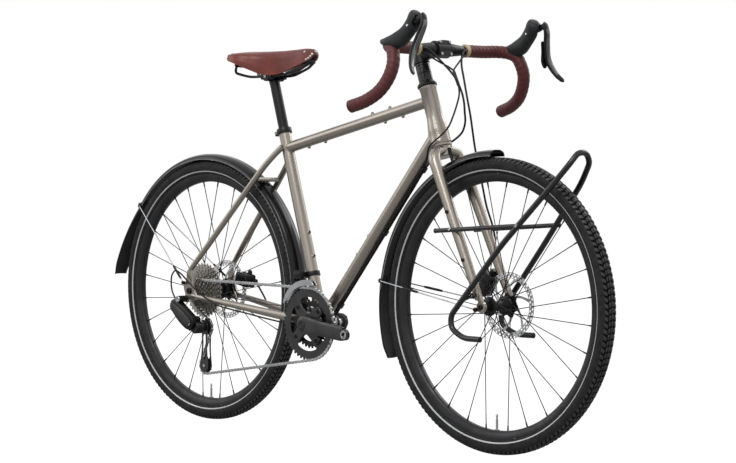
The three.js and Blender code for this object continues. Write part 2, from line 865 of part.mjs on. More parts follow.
function spokedHub(centre, halfSpacing, flanges, flangeRadius, freehub) {
  const hub = around(centre, hubProfile(halfSpacing, flanges, flangeRadius, freehub), hubSides);
  return join(hub, ...spokes(centre, flanges, flangeRadius));
}

// Brake rotor: a band on arms around a carrier, cut by windows between the arms.
function rotor(centre, offset) {
  const inner = rotorRadius - rotorBand;
  const windows = Array.from({ length: rotorArmCount }, (_, i) => {
    const middle = ((i + 0.5) / rotorArmCount) * 2 * Math.PI;
    const half = (Math.PI / rotorArmCount) * 0.76;
    const arc = (radius, turn, count) => Array.from({ length: count }, (_, k) => {
      const angle = middle + turn * half * (2 * (k / (count - 1)) - 1);
      return flat(centre.x + radius * Math.cos(angle), centre.z + radius * Math.sin(angle));
    });
    return [...arc(inner, 1, 4), ...arc(rotorCarrierRadius, -1, 2)];
  });
  const holes = [circle(centre.x, centre.z, rotorBore, 14), ...windows];
  const half = rotorThickness / 2;
  return plate(circle(centre.x, centre.z, rotorRadius, rotorSegments), offset - half, offset + half, holes);
}

// A thru-axle with its head on the right.
function throughAxle(centre, reach, headSide) {
  const start = centre.clone().addScaledVector(left, -reach);
  const end = centre.clone().addScaledVector(left, reach);
  const shaft = bar(start, end, axleRadius, axleSides);
  const headStart = headSide > 0 ? end : start;
  const head = bar(headStart, headStart.clone().addScaledVector(left, headSide * axleRadius),
    axleRadius * 1.5, axleSides);
  return join(shaft, head);
}

const frontFlanges = { "-1": frontFlangeOffset, 1: frontFlangeOffset };
const rearFlanges = { "-1": rearDriveFlangeOffset, 1: rearDiscFlangeOffset };
const freehubRadius = 16;

add("front_tyre", tyre(frontAxle), tyreRubber);
add("front_rim", rim(frontAxle), blackAlloy);
add("front_hub_and_spokes",
  spokedHub(frontAxle, frontAxleSpacing / 2, frontFlanges, frontFlangeRadius, 0), blackAlloy);
add("front_rotor", rotor(frontAxle, frontRotorOffset), steel);
add("rear_tyre", tyre(rearAxle), tyreRubber);
add("rear_rim", rim(rearAxle), blackAlloy);
add("rear_hub_and_spokes",
  spokedHub(rearAxle, rearAxleSpacing / 2, rearFlanges, rearFlangeRadius, freehubRadius), blackAlloy);
add("rear_rotor", rotor(rearAxle, rearRotorOffset), steel);
add("rear_thru_axle", throughAxle(rearAxle, dropoutOuter + gap, -1), blackAlloy);

// Drive
function pitchRadius(teeth) {
  return chainPitch / (2 * Math.sin(Math.PI / teeth));
}

function rootRadius(teeth) {
  return pitchRadius(teeth) - chainHeight / 2 - gap;
}

function cogOffset(index) {
  return -smallestCogOffset + index * cogSpacing;
}

// The sprockets as a stepped cone; the tooth counts grow steadily from the smallest.
function cassette() {
  const bore = (freehubRadius + gap) / Math.cos(Math.PI / cassetteSides);
  const steps = [];
  for (let i = 0; i < cogCount; i += 2) {
    const fromSmall = [chainCogIndex, chainCogTeeth, 0, smallestCogTeeth];
    const fromChain = [cogCount - 1, largestCogTeeth, chainCogIndex, chainCogTeeth];
    const [farIndex, farTeeth, nearIndex, nearTeeth] = i < chainCogIndex ? fromSmall : fromChain;
    const teeth = THREE.MathUtils.mapLinear(i, nearIndex, farIndex, nearTeeth, farTeeth);
    const next = Math.min(i + 2, cogCount);
    steps.push([rootRadius(teeth), cogOffset(i) - cogThickness / 2],
      [rootRadius(teeth), cogOffset(next) - cogThickness / 2]);
  }
  return around(rearAxle, [[bore, steps[0][1]], ...steps, [bore, steps[steps.length - 1][1]]],
    cassetteSides);
}

add("cassette", cassette(), darkSteel);

const guideCentre = point(rearAxle.x + guideAheadOfAxle, 0, rearAxle.z - guideBelowAxle);
const tensionCentre = point(guideCentre.x - pulleySpacing * Math.sin(pulleyLean), 0,
  guideCentre.z - pulleySpacing * Math.cos(pulleyLean));
const derailleurOffset = chainSide(guideCentre.x);

// The closed path of a belt round circles: turn is 1 where it runs anticlockwise seen from the right.
function beltPath(wheels, stepAngle) {
  const tangents = wheels.map((wheel, i) => {
    const next = wheels[(i + 1) % wheels.length];
    const dx = next.x - wheel.x;
    const dz = next.z - wheel.z;
    const difference = next.turn * next.radius - wheel.turn * wheel.radius;
    const heading = Math.atan2(dz, dx) - Math.asin(difference / Math.hypot(dx, dz));
    return heading;
  });
  const path = [];
  wheels.forEach((wheel, i) => {
    const arriving = tangents[(i + wheels.length - 1) % wheels.length];
    const leaving = tangents[i];
    let sweep = (leaving - arriving) * wheel.turn;
    while (sweep < 0) sweep += 2 * Math.PI;
    while (sweep > 2 * Math.PI) sweep -= 2 * Math.PI;
    const steps = Math.max(1, Math.round(sweep / stepAngle));
    for (let k = 0; k <= steps; k += 1) {
      const heading = arriving + wheel.turn * sweep * (k / steps);
      path.push({
        x: wheel.x + wheel.turn * wheel.radius * Math.sin(heading),
        z: wheel.z - wheel.turn * wheel.radius * Math.cos(heading),
        normalX: -Math.sin(heading),
        normalZ: Math.cos(heading),
      });
    }
  });
  return path;
}

// How far right the slanted chain line runs at a place along the bicycle.
function chainSide(x) {
  return THREE.MathUtils.mapLinear(x, bottomBracket.x, rearAxle.x, outerRingOffset,
    -cogOffset(chainCogIndex));
}

// The chain as one closed band; the loop runs ring, cassette, guide pulley, tension pulley.
function chain() {
  const stepAngle = Math.PI / 16;
  const wheel = (centre, teeth, turn) => {
    const inner = pitchRadius(teeth) - chainHeight / 2;
    const chordRise = inner * (1 / Math.cos(stepAngle / 2) - 1);
    return { x: centre.x, z: centre.z, radius: pitchRadius(teeth) + chordRise, turn };
  };
  const wheels = [wheel(bottomBracket, outerRingTeeth, 1), wheel(rearAxle, chainCogTeeth, 1),
    wheel(guideCentre, pulleyTeeth, -1), wheel(tensionCentre, pulleyTeeth, 1)];
  const path = beltPath(wheels, stepAngle);
  const edge = (side) => path.map(({ x, z, normalX, normalZ }) =>
    flat(x + side * normalX * chainHeight / 2, z + side * normalZ * chainHeight / 2));
  const band = weld(plate(edge(-1), -chainWidth / 2, chainWidth / 2, [edge(1)]));
  const place = band.attributes.position;
  for (let i = 0; i < place.count; i += 1) place.setY(i, place.getY(i) - chainSide(place.getX(i)));
  return band;
}

add("chain", chain(), steel);

// Chainrings: a band with four tabs that reach in to the bolts.
const boltCircle = spiderRadius - boltInset;
const innerBoltCircle = spiderRadius * 0.69;

// Half the angle of a bolt tab, in radians
const chainringTab = 0.17;

function chainring(teeth, offset, boltRadius, bandWidth) {
  const outer = rootRadius(teeth);
  const inner = outer - bandWidth;
  const hole = [];
  for (let i = 0; i < 4; i += 1) {
    const middle = crankAngle + Math.PI / 4 + (i * Math.PI) / 2;
    for (const [turn, radius] of [[-chainringTab, boltRadius - spiderArmWidth * 0.35], [chainringTab,
      boltRadius - spiderArmWidth * 0.35],
      [chainringTab * 1.5, inner], [Math.PI / 4, inner], [Math.PI / 2 - chainringTab * 1.5, inner]]) {
      hole.push(flat(bottomBracket.x + radius * Math.cos(middle + turn),
        bottomBracket.z + radius * Math.sin(middle + turn)));
    }
  }
  const rimPoints = circle(bottomBracket.x, bottomBracket.z, outer, ringSegments);
  return plate(rimPoints, -offset - ringThickness / 2, -offset + ringThickness / 2, [hole]);
}

add("chainring_outer", chainring(outerRingTeeth, outerRingOffset, boltCircle, ringBandWidth), greyAlloy);
add("chainring_inner",
  chainring(innerRingTeeth, outerRingOffset - ringSpacing, innerBoltCircle, ringBandWidth * 0.5),
    greyAlloy);

// Sections of a crank arm: distance from the spindle as a share, and the width and thickness as shares.
const crankStationShares = [
  [-0.105, 0.35, 0.8], [-0.07, 0.8, 1], [0, 1, 1.05], [0.12, 0.96, 1.05], [0.4, 0.86, 1],
  [0.9, 0.8, 0.95], [1, 0.78, 0.9], [1.06, 0.58, 0.85], [1.085, 0.25, 0.7],
];

function crankArm(angle, side) {
  const direction = point(Math.cos(angle), 0, Math.sin(angle));
  const across = point(-direction.z, 0, direction.x);
  const outline = [[1, 0.55], [0.72, 1], [-0.72, 1], [-1, 0.55], [-1, -0.55], [-0.72, -1], [0.72, -1], [1,
    -0.55]]
    .map(([x, y]) => flat(x, y));
  const sections = crankStationShares.map(([alongShare, wideShare, thickShare]) => {
    const flare = crankFlare * Math.max(0, Math.min(1, alongShare));
    const centre = bottomBracket.clone().addScaledVector(direction, alongShare * crankLength)
      .addScaledVector(left, side * (crankRootOffset + flare + crankArmThickness / 2));
    return outline.map(({ x, y }) => centre.clone().addScaledVector(across,
      (x * wideShare * crankArmWidth) / 2)
      .addScaledVector(left, (y * thickShare * crankArmThickness) / 2));
  });
  const pedal = bottomBracket.clone().addScaledVector(direction, crankLength);
  const reach = crankRootOffset + crankFlare;
  const hole = bar(pedal.clone().addScaledVector(left, side * (reach - overrun)),
    pedal.clone().addScaledVector(left, side * (reach + crankArmThickness + overrun)), pedalHoleRadius,
      coarseRound);
  const eye = bar(pedal.clone().addScaledVector(left, side * (reach + crankArmThickness / 4)),
    pedal.clone().addScaledVector(left, side * (reach + crankArmThickness)), pedalEyeRadius, middleRound);
  return cut(join(loft(sections, outline), eye), hole);
}

// Right crank: arm, spindle, four-armed spider, and bosses that carry the inner ring.
function rightCrank() {
  const spiderFace = -outerRingOffset - ringThickness / 2 - gap;
  const spiderBack = spiderFace - spiderThickness;
  const star = [];
  for (let i = 0; i < 4; i += 1) {
    const middle = crankAngle + Math.PI / 4 + (i * Math.PI) / 2;
    const half = spiderArmWidth / 2;
    const arm = [[crankArmWidth * 0.6, -half * 1.4], [spiderRadius, -half], [spiderRadius, half],
      [crankArmWidth * 0.6, half * 1.4]];
    for (const [along, across] of arm) {
      star.push(flat(bottomBracket.x + along * Math.cos(middle) - across * Math.sin(middle),
        bottomBracket.z + along * Math.sin(middle) + across * Math.cos(middle)));
    }
  }
  const spider = plate(star, spiderBack, spiderFace);
  const hub = bar(bottomBracket.clone().addScaledVector(left, spiderFace),
    bottomBracket.clone().addScaledVector(left, -crankRootOffset - crankArmThickness / 2),
      crankArmWidth * 0.62, middleRound);
  const standoff = -outerRingOffset + ringSpacing - ringThickness / 2 - gap;
  const bosses = [0, 1, 2, 3].map((i) => {
    const middle = crankAngle + Math.PI / 4 + (i * Math.PI) / 2;
    const foot = point(bottomBracket.x + innerBoltCircle * Math.cos(middle), 0,
      bottomBracket.z + innerBoltCircle * Math.sin(middle));
    return bar(foot.clone().addScaledVector(left, spiderBack + gap), foot.clone().addScaledVector(left,
      standoff),
      spiderArmWidth * 0.34, 8);
  });
  const spindleEnd = crankRootOffset + crankArmThickness * 0.7;
  const spindle = bar(bottomBracket.clone().addScaledVector(left, -crankRootOffset - crankArmThickness / 2),
    bottomBracket.clone().addScaledVector(left, spindleEnd), spindleRadius, 14);
  return join(crankArm(crankAngle, -1), spider, hub, spindle, ...bosses);
}

function leftCrank() {
  const bore = bar(bottomBracket.clone().addScaledVector(left, shellWidth / 2),
    bottomBracket.clone().addScaledVector(left, crankRootOffset + crankArmThickness * 0.7 + gap),
      spindleRadius + gap, 14);
  return cut(crankArm(crankAngle + Math.PI, 1), bore);
}

add("crank_right", rightCrank(), greyAlloy);
add("crank_left", leftCrank(), greyAlloy);

// Rear derailleur: two links run forward and down from the hanger knuckle to the lower knuckle.
const linkAlong = point(Math.cos(linkHeading), 0, Math.sin(linkHeading));
const linkAcross = point(-linkAlong.z, 0, linkAlong.x);
const upperPivot = hangerBolt.clone().add(point(-linkBehindHanger, 0, -linkBelowHanger));
const lowerPivot = upperPivot.clone().addScaledVector(linkAlong, linkLength);
const pinRadius = 3;
const pinSides = 8;
const pinBoreRadius = (pinRadius + gap / 3) / Math.cos(Math.PI / pinSides);

function atSide(place, side) {
  return point(place.x, -side, place.z);
}

// A solid whose section lies across the derailleur's link pins.
function pinwise(place, side, radius, halfLength, sides = 12) {
  const centre = atSide(place, side);
  return bar(centre.clone().addScaledVector(linkAcross, -halfLength),
    centre.clone().addScaledVector(linkAcross, halfLength), radius, sides);
}

const outerLinkSide = knucklePlane + linkSpacing / 2;
const innerLinkSide = knucklePlane - linkSpacing / 2;

function derailleurLink(side) {
  const half = linkWidth / 2;
  const eyes = [upperPivot, lowerPivot].map((pivot) => pinwise(pivot, side, linkThickness * 0.75, half,
    pinSides));
  const from = atSide(upperPivot, side);
  const to = atSide(lowerPivot, side);
  const middle = from.clone().lerp(to, 0.5);
  const web = new THREE.BoxGeometry(linkLength, linkThickness * 0.8, linkWidth).rotateY(-linkHeading)
    .translate(middle.x, middle.y, middle.z);
  const bores = [upperPivot, lowerPivot].map((pivot) => pinwise(pivot, side, pinBoreRadius,
    half + overrun, pinSides));
  return cut(join(web, ...eyes), ...bores);
}

// A knuckle holds the links' pins between two cheeks.
function knuckleCheeks(pivot, along) {
  const half = linkWidth / 2;
  const cheek = linkThickness * 0.7;
  const pieces = [];
  for (const side of [1, -1]) {
    const centre = atSide(pivot, knucklePlane).addScaledVector(linkAcross, side * (half + gap + cheek / 2))
      .addScaledVector(linkAlong, along * knuckleRadius * 0.3);
    pieces.push(new THREE.BoxGeometry(knuckleRadius * 1.5, linkSpacing + linkThickness * 1.6, cheek)
      .rotateY(-linkHeading).translate(centre.x, centre.y, centre.z));
  }
  for (const side of [innerLinkSide, outerLinkSide]) pieces.push(pinwise(pivot, side, pinRadius,
    half + gap + cheek / 2, pinSides));
  const spine = atSide(pivot, knucklePlane).addScaledVector(linkAlong,
    along * (linkThickness * 0.75 + gap + cheek / 2 + runningGap));
  pieces.push(new THREE.BoxGeometry(cheek, linkSpacing + linkThickness * 1.6, linkWidth + 2 * (gap + cheek))
    .rotateY(-linkHeading).translate(spine.x, spine.y, spine.z));
  return pieces;
}

function mountingKnuckle() {
  const face = dropoutOuter + gap;
  const barrel = bar(atSide(hangerBolt, face), atSide(hangerBolt, knucklePlane + knuckleThickness / 2),
    knuckleRadius, middleRound);
  return join(barrel, ...knuckleCheeks(upperPivot, -1));
}

function lowerKnuckle() {
  const inner = derailleurOffset + cagePlateGap / 2 + cagePlateThickness + gap;
  const barrel = bar(atSide(guideCentre, inner), atSide(guideCentre, knucklePlane), knuckleRadius * 1.15,
    middleRound);
  return join(barrel, ...knuckleCheeks(lowerPivot, 1));
}

add("derailleur_mounting_knuckle", mountingKnuckle(), blackAlloy);
add("derailleur_outer_link", derailleurLink(outerLinkSide), greyAlloy);
add("derailleur_inner_link", derailleurLink(innerLinkSide), greyAlloy);
add("derailleur_lower_knuckle", lowerKnuckle(), blackAlloy);

function cagePlateOutline() {
  const outline = [];
  const half = cagePlateWidth / 2;
  const down = tensionCentre.clone().sub(guideCentre).normalize();
  const heading = Math.atan2(down.z, down.x);
  const arcs = [[guideCentre, half * 0.78, heading + Math.PI / 2], [tensionCentre, half,
    heading - Math.PI / 2]];
  for (const [centre, radius, start] of arcs) {
    for (let k = 0; k <= 5; k += 1) {
      const angle = start + (k / 5) * Math.PI;
      outline.push(flat(centre.x + radius * Math.cos(angle), centre.z + radius * Math.sin(angle)));
    }
  }
  return outline;
}

// Two cage plates joined by the pulley bolts.
function derailleurCage() {
  const nearFace = derailleurOffset - cagePlateGap / 2;
  const farFace = derailleurOffset + cagePlateGap / 2;
  const outline = cagePlateOutline();
  const inner = plate(outline, -nearFace, -nearFace + cagePlateThickness);
  const outer = plate(outline, -farFace - cagePlateThickness, -farFace);
  const bolts = [guideCentre, tensionCentre].map((centre) =>
    bar(atSide(centre, nearFace - cagePlateThickness / 2), atSide(centre,
      farFace + cagePlateThickness / 2), pulleyBore - gap, 10));
  return join(inner, outer, ...bolts);
}

function pulley(centre) {
  const low = atSide(centre, derailleurOffset + pulleyThickness / 2);
  const high = atSide(centre, derailleurOffset - pulleyThickness / 2);
  return ring(low, high, rootRadius(pulleyTeeth), pulleyBore, 14);
}

add("derailleur_cage", derailleurCage(), blackAlloy);
add("guide_pulley", pulley(guideCentre), blackPlastic);
add("tension_pulley", pulley(tensionCentre), blackPlastic);

// Front derailleur: a band round the seat tube with its body, and the cage over the outer ring
const bandPlace = onSeatTube(bandDistance);
const mechInnerPlate = outerRingOffset - ringThickness / 2 - (mechCageGap - ringThickness) / 2 + mechSideShift;
const mechOuterPlate = mechInnerPlate + mechCageGap;
const mechBottom = pitchRadius(outerRingTeeth) + chainHeight / 2 - mechRingOverlap;
const mechTop = mechBottom + mechCageHeight;
const mechPivotSide = mechInnerPlate - runningGap - mechCagePlate - gap;

function mechPlate(side) {
  const outline = [];
  const steps = 8;
  for (let k = 0; k <= steps; k += 1) {
    const angle = mechCageStart - mechCageSpan * 0.32 + (k / steps) * mechCageSpan;
    outline.push(flat(bottomBracket.x + mechTop * Math.cos(angle),
      bottomBracket.z + mechTop * Math.sin(angle)));
  }
  for (let k = steps; k >= 0; k -= 1) {
    const angle = mechCageStart - mechCageSpan * 0.32 + (k / steps) * mechCageSpan;
    outline.push(flat(bottomBracket.x + mechBottom * Math.cos(angle),
      bottomBracket.z + mechBottom * Math.sin(angle)));
  }
  return plate(outline, -side - mechCagePlate, -side);
}

function onMech(angleShare, radius, side) {
  const angle = mechCageStart - mechCageSpan * 0.32 + angleShare * mechCageSpan;
  return point(bottomBracket.x + radius * Math.cos(angle), -side,
    bottomBracket.z + radius * Math.sin(angle));
}

function frontMechCage() {
  const places = [[0.12, mechTop - 2 * mechCagePlate], [0.95, (mechTop + mechBottom) / 2]];
  const bridges = places.map(([share, radius]) => bar(onMech(share, radius, mechInnerPlate),
    onMech(share, radius, mechOuterPlate + mechCagePlate), mechCagePlate * 1.2, 8));
  return join(mechPlate(mechInnerPlate), mechPlate(mechOuterPlate), ...bridges);
}

function frontMechBody() {
  const low = onSeatTube(bandDistance - bandHeight / 2);
  const high = onSeatTube(bandDistance + bandHeight / 2);
  const outer = seatTubeRadius + gap + bandWall;
  const band = ring(low, high, outer, seatTubeRadius + gap);
  const reach = mechPivotSide;
  const centre = point(bandPlace.x - mechBodyLength * 0.55, -reach / 2 - bandWall, bandPlace.z + gap);
  const body = block(centre, mechBodyLength * 0.75, reach - 2 * bandWall, mechBodyHeight * 0.6);
  const head = block(point(bandPlace.x - mechBodyLength * 0.6, -reach + mechBodyHeight / 4, bandPlace.z),
    mechBodyLength, mechBodyHeight / 2 - gap, mechBodyHeight);
  return cut(join(band, body, head), seatTubeCutter());
}

add("front_derailleur_body", frontMechBody(), blackAlloy);
add("front_derailleur_cage", frontMechCage(), steel);

// Fork
const crownCentre = onSteerer(axleToHeadTube - crownDrop);
// Fork leg: share of the way from crown to axle, share of the half-width growth, and radius share.
const legStations = [
  { downShare: 0, sideShare: 0.62, sizeShare: 1.04 },
  { downShare: 0.06, sideShare: 1, sizeShare: 1.08 },
  { downShare: 0.14, sideShare: 1.07, sizeShare: 1.06 },
  { downShare: 0.5, sideShare: 1.2, sizeShare: 0.95 },
  { downShare: 0.86, sideShare: 1.25, sizeShare: 0.8 },
  { downShare: 0.95, sideShare: 1.25, sizeShare: 0.72, thinShare: 0.32 },
];
const forkDropoutInner = frontAxleSpacing / 2;
const forkDropoutOuter = forkDropoutInner + forkDropoutThickness;
const legFootHalfWidth = (forkDropoutInner + forkDropoutOuter) / 2;

function legCentre(downShare, sideShare) {
  const start = crownCentre.clone().addScaledVector(forward, crownRadius * 0.35);
  const at = start.lerp(frontAxle, downShare);
  const reach = Math.min(sideShare, 1) * legTopHalfWidth;
  const growth = Math.max(0, sideShare - 1) * 4 * (legFootHalfWidth - legTopHalfWidth);
  at.y = -(reach + growth);
  return at;
}

function forkLeg() {
  const crownShoulder = bar(legCentre(0, 0), legCentre(0.03, 0.9), legTopRadius, 10);
  const lower = oval(legSections(0), legSides);
  const tip = plate(circle(frontAxle.x, frontAxle.z, forkDropoutRadius, 14), -forkDropoutOuter,
    -forkDropoutInner);
  const web = bar(legCentre(0.88, 1.25), point(frontAxle.x, -(forkDropoutInner + forkDropoutOuter) / 2,
    frontAxle.z),
    legFootRadius * 0.7, 8, forkDropoutThickness / 2);
  return join(crownShoulder, lower, tip, web);
}

function legSections(clearance) {
  return legStations.map(({ downShare, sideShare, sizeShare, thinShare = sizeShare }) => ({
    at: legCentre(downShare, sideShare),
    width: legTopRadius * thinShare + clearance,
    height: legTopRadius * sizeShare * 1.05 + clearance,
  }));
}

function fork() {
  const raceLow = onSteerer(axleToHeadTube - gap - crownRaceHeight);
  const raceHigh = onSteerer(axleToHeadTube - gap);
  const race = bar(raceLow, raceHigh, headTubeBottomRadius, middleRound);
  const crown = bar(onSteerer(axleToHeadTube - crownDrop - crownRadius * 0.6),
    raceLow.clone().addScaledVector(steerUp, gap),
    crownRadius, middleRound);
  const steerer = bar(raceLow,
    onSteerer(axleToHeadTube + headTubeLength + topCoverHeight + spacerStackHeight + stemClampHeight),
    steererRadius, 14);
  const leg = forkLeg();
  const holes = [-1, 1].map((side) => bar(point(frontAxle.x, side * (forkDropoutInner - overrun),
    frontAxle.z),
    point(frontAxle.x, side * (forkDropoutOuter + overrun), frontAxle.z), axleRadius + gap, coarseRound));
  const faces = block(point(frontAxle.x, 0, frontAxle.z), forkDropoutRadius * 4, 2 * forkDropoutInner,
    forkDropoutRadius * 4);
  return cut(join(race, crown, steerer, leg, mirrored(leg)), ...holes, faces);
}

add("fork", fork(), paint);
add("front_thru_axle", throughAxle(frontAxle, forkDropoutOuter + gap, -1), blackAlloy);

// Headset cover and spacers
function headsetSpacers() {
  const base = axleToHeadTube + headTubeLength + gap;
  const bore = steererRadius + gap;
  const cover = topCoverHeight - gap;
  const profile = [[bore, 0], [topCoverRadius, 0], [topCoverRadius, cover * 0.5], [spacerRadius, cover],
    [spacerRadius, cover + spacerStackHeight], [bore, cover + spacerStackHeight]];
  return turned(profile, onSteerer(base), onSteerer(base + cover));
}

add("headset_spacers", headsetSpacers(), blackAlloy);

// Stem
const stemBase = axleToHeadTube + headTubeLength + topCoverHeight + spacerStackHeight + gap;
const stemMiddle = stemBase + stemClampHeight / 2;
const barCentre = onSteerer(stemMiddle + stemLength * Math.sin(stemAngle),
  stemLength * Math.cos(stemAngle));

function stem() {
  const clamp = bar(onSteerer(stemBase), onSteerer(stemBase + stemClampHeight), stemClampRadius,
    middleRound);
  const arm = bar(onSteerer(stemMiddle), barCentre, stemTubeRadius, coarseRound);
  const half = point(0, faceplateWidth / 2, 0);
  const barrel = bar(barCentre.clone().sub(half), barCentre.clone().add(half), faceplateRadius,
    middleRound);
  const steererBore = bar(onSteerer(stemBase - overrun), onSteerer(stemBase + stemClampHeight + overrun),
    steererRadius + gap, middleRound);
  const barBore = bar(barCentre.clone().sub(half).sub(left.clone().multiplyScalar(overrun)),
    barCentre.clone().add(half).add(left.clone().multiplyScalar(overrun)), barClampRadius + gap,
      middleRound);
  return cut(join(clamp, arm, barrel), steererBore, barBore);
}

add("stem", stem(), blackAlloy);

// Handlebar: half of its centre line, as shares of reach, half width, drop and flare.
const barHalf = barWidth / 2;
const barLineShares = [
  { ahead: 0, side: 0.2, down: 0, flare: 0 },
  { ahead: 0.04, side: 0.4, down: 0, flare: 0 },
  { ahead: 0.12, side: 0.68, down: 0, flare: 0 },
  { ahead: 0.24, side: 0.86, down: -0.01, flare: 0 },
  { ahead: 0.52, side: 0.97, down: 0.01, flare: 0 },
  { ahead: 0.82, side: 1, down: 0.08, flare: 0.06 },
  { ahead: 0.98, side: 1, down: 0.24, flare: 0.2 },
  { ahead: 1, side: 1, down: 0.4, flare: 0.34 },
  { ahead: 0.86, side: 1, down: 0.58, flare: 0.48 },
  { ahead: 0.55, side: 1, down: 0.76, flare: 0.66 },
  { ahead: 0.02, side: 1, down: 0.9, flare: 0.85 },
  { ahead: -0.6, side: 1, down: 0.98, flare: 1 },
];

function barPoint({ ahead, side, down, flare }) {
  return point(barCentre.x + ahead * barReach, -(side * barHalf + flare * barFlare),
    barCentre.z - down * barDrop);
}

const barCurve = new THREE.CatmullRomCurve3(barLineShares.map(barPoint), false, "centripetal");
const barSides = 8;
const tapeStations = tapeLaps * 2;
const tapeBore = barGripRadius + 2 * gap;

// The places along the bar's centre line, as shares, where the bar and its tape have their sections.
function barShares() {
  const start = (tapeStart - barPointSide(0)) / barCurve.getLength();
  const shares = [];
  for (let i = 0; i < tapeStations; i += 1) {
    shares.push(THREE.MathUtils.lerp(start, 1, (Math.floor(i / 2) + (i % 2) * 0.93) / tapeLaps));
  }
  shares.push(1);
  return shares;
}

function barPointSide(index) {
  return Math.abs(barPoint(barLineShares[index]).y);
}

// A tube round the bar's centre line with its sections where the tape has them.
function barTube(radius, shares) {
  return loft(barRings(shares.map((share) => ({ share, radius }))), circle(0, 0, 1, barSides));
}

function coarse(shares) {
  return shares.filter((share, i) => i % 2 === 0);
}

// Directions carried along the bar's centre line without twist.
const frameSteps = 160;

function carriedBases() {
  const bases = [up.clone()];
  for (let i = 1; i <= frameSteps; i += 1) {
    const along = barCurve.getTangentAt(i / frameSteps);
    const base = bases[i - 1].clone();
    bases.push(base.addScaledVector(along, -base.dot(along)).normalize());
  }
  return bases;
}

const barBases = carriedBases();

// Rings round the bar's centre line
function barRings(stations) {
  const rings = [];
  for (const { share, radius } of stations) {
    const along = barCurve.getTangentAt(share);
    const base = barBases[Math.round(share * frameSteps)].clone();
    base.addScaledVector(along, -base.dot(along)).normalize();
    const other = along.clone().cross(base).normalize();
    const centre = barCurve.getPointAt(share);
    rings.push(Array.from({ length: barSides }, (_, k) => {
      const angle = (k / barSides) * 2 * Math.PI;
      return centre.clone().addScaledVector(base, radius * Math.cos(angle))
        .addScaledVector(other, radius * Math.sin(angle));
    }));
  }
  return rings;
}

function handlebar() {
  const inner = barPoint(barLineShares[0]);
  const clampReach = point(0, barClampWidth / 2, 0);
  const middle = bar(barCentre.clone().sub(clampReach), barCentre.clone().add(clampReach), barClampRadius,
    middleRound);
  const neck = bar(barCentre.clone().setY(-barClampWidth / 2 + gap), inner.clone().setY(inner.y - overrun),
    barClampRadius * 0.98, coarseRound, barGripRadius);
  const half = join(barTube(barGripRadius, [0, ...coarse(barShares())]), neck);
  return join(half, mirrored(half), middle);
}

add("handlebar", handlebar(), blackAlloy);

// Bar tape: each lap rises over the one before it and drops where the next begins.
function barTape() {
  const low = tapeBore + tapeThickness;
  const shares = barShares();
  const outer = shares.map((share, i) => ({ share, radius: low + (i % 2) * tapeLapHeight }));
  const inner = coarse(shares).map((share) => ({ share, radius: tapeBore }));
  return loft([...barRings(outer), ...barRings(inner).reverse()], [], true);
}

add("bar_tape_right", barTape(), tapeLeather);
add("bar_tape_left", mirrored(barTape()), tapeLeather);

// Hood: a collar round the bar that grows forward and up into a horn.
const hoodSide = -barHalf;
const leverPivot = barCentre.clone().add(point(leverPivotAhead, hoodSide, leverPivotUp));

function leverPin(radius) {
  const reach = point(0, leverPinLength / 2, 0);
  return bar(leverPivot.clone().sub(reach), leverPivot.clone().add(reach), radius, 10);
}

function leverPocket() {
  const size = leverWidth + 2 * runningGap;
  const ahead = leverBladeAhead - leverPivotAhead;
  const room = block(leverPivot.clone().add(point(ahead, 0, -ahead / 2)), ahead * 3.4, size, ahead * 3);
  return join(room, leverPin(leverPinRadius + gap));
}

const hoodRoot = barCentre.clone().add(point(barReach * 0.62, hoodSide, 0));
const hoodStationShares = [
  { ahead: -0.26, rise: 0.12, wide: 0.42, tall: 0.28 },
  { ahead: 0, rise: 0.09, wide: 0.95, tall: 0.62 },
  { ahead: 0.3, rise: 0.14, wide: 1.08, tall: 0.9 },
  { ahead: 0.6, rise: 0.38, wide: 0.92, tall: 0.84 },
  { ahead: 0.82, rise: 0.68, wide: 0.88, tall: 0.76 },
  { ahead: 0.95, rise: 0.92, wide: 0.78, tall: 0.6 },
  { ahead: 0.99, rise: 1.03, wide: 0.45, tall: 0.32 },
];

function hood() {
  const stations = hoodStationShares.map(({ ahead, rise, wide, tall }) => ({
    at: hoodRoot.clone().add(point(ahead * hoodReach, (ahead > 0 ? ahead : 0) * hoodReach * 0.1,
      rise * hoodRise)),
    width: (hoodWidth / 2) * wide,
    height: (hoodHeight / 2) * tall,
  }));
  const tapeOuter = tapeBore + tapeThickness + tapeLapHeight;
  return cut(oval(stations, 10), barTube(tapeOuter + gap, barShares()), leverPocket());
}

add("brake_hood_right", hood(), rubber);
add("brake_hood_left", mirrored(hood()), rubber);

// Levers hang in front of the hood, each on a pin across a pocket in its front.
const leverTop = barCentre.clone().add(point(leverBladeAhead, hoodSide, leverBladeUp));
// Shares of lever length down and ahead, of its flare, width and thickness.
const leverStationShares = [
  { down: -0.06, ahead: 0.06, flare: -0.04, wide: 0.9, thick: 1.1 },
  { down: 0.12, ahead: 0.1, flare: 0.02, wide: 1, thick: 1.3 },
  { down: 0.34, ahead: 0.05, flare: 0.18, wide: 1.15, thick: 1.1 },
  { down: 0.62, ahead: 0, flare: 0.46, wide: 1.1, thick: 1 },
  { down: 0.86, ahead: 0.08, flare: 0.78, wide: 0.85, thick: 1 },
  { down: 1, ahead: 0.2, flare: 1, wide: 0.6, thick: 1 },
];

function blade(origin, stationShares, length, flare, width, thickness) {
  const stations = stationShares.map((station) => ({
    at: origin.clone().add(point(station.ahead * length, -station.flare * flare, -station.down * length)),
    width: (width / 2) * station.wide,
    height: (thickness / 2) * station.thick,
  }));
  return oval(stations, 8);
}

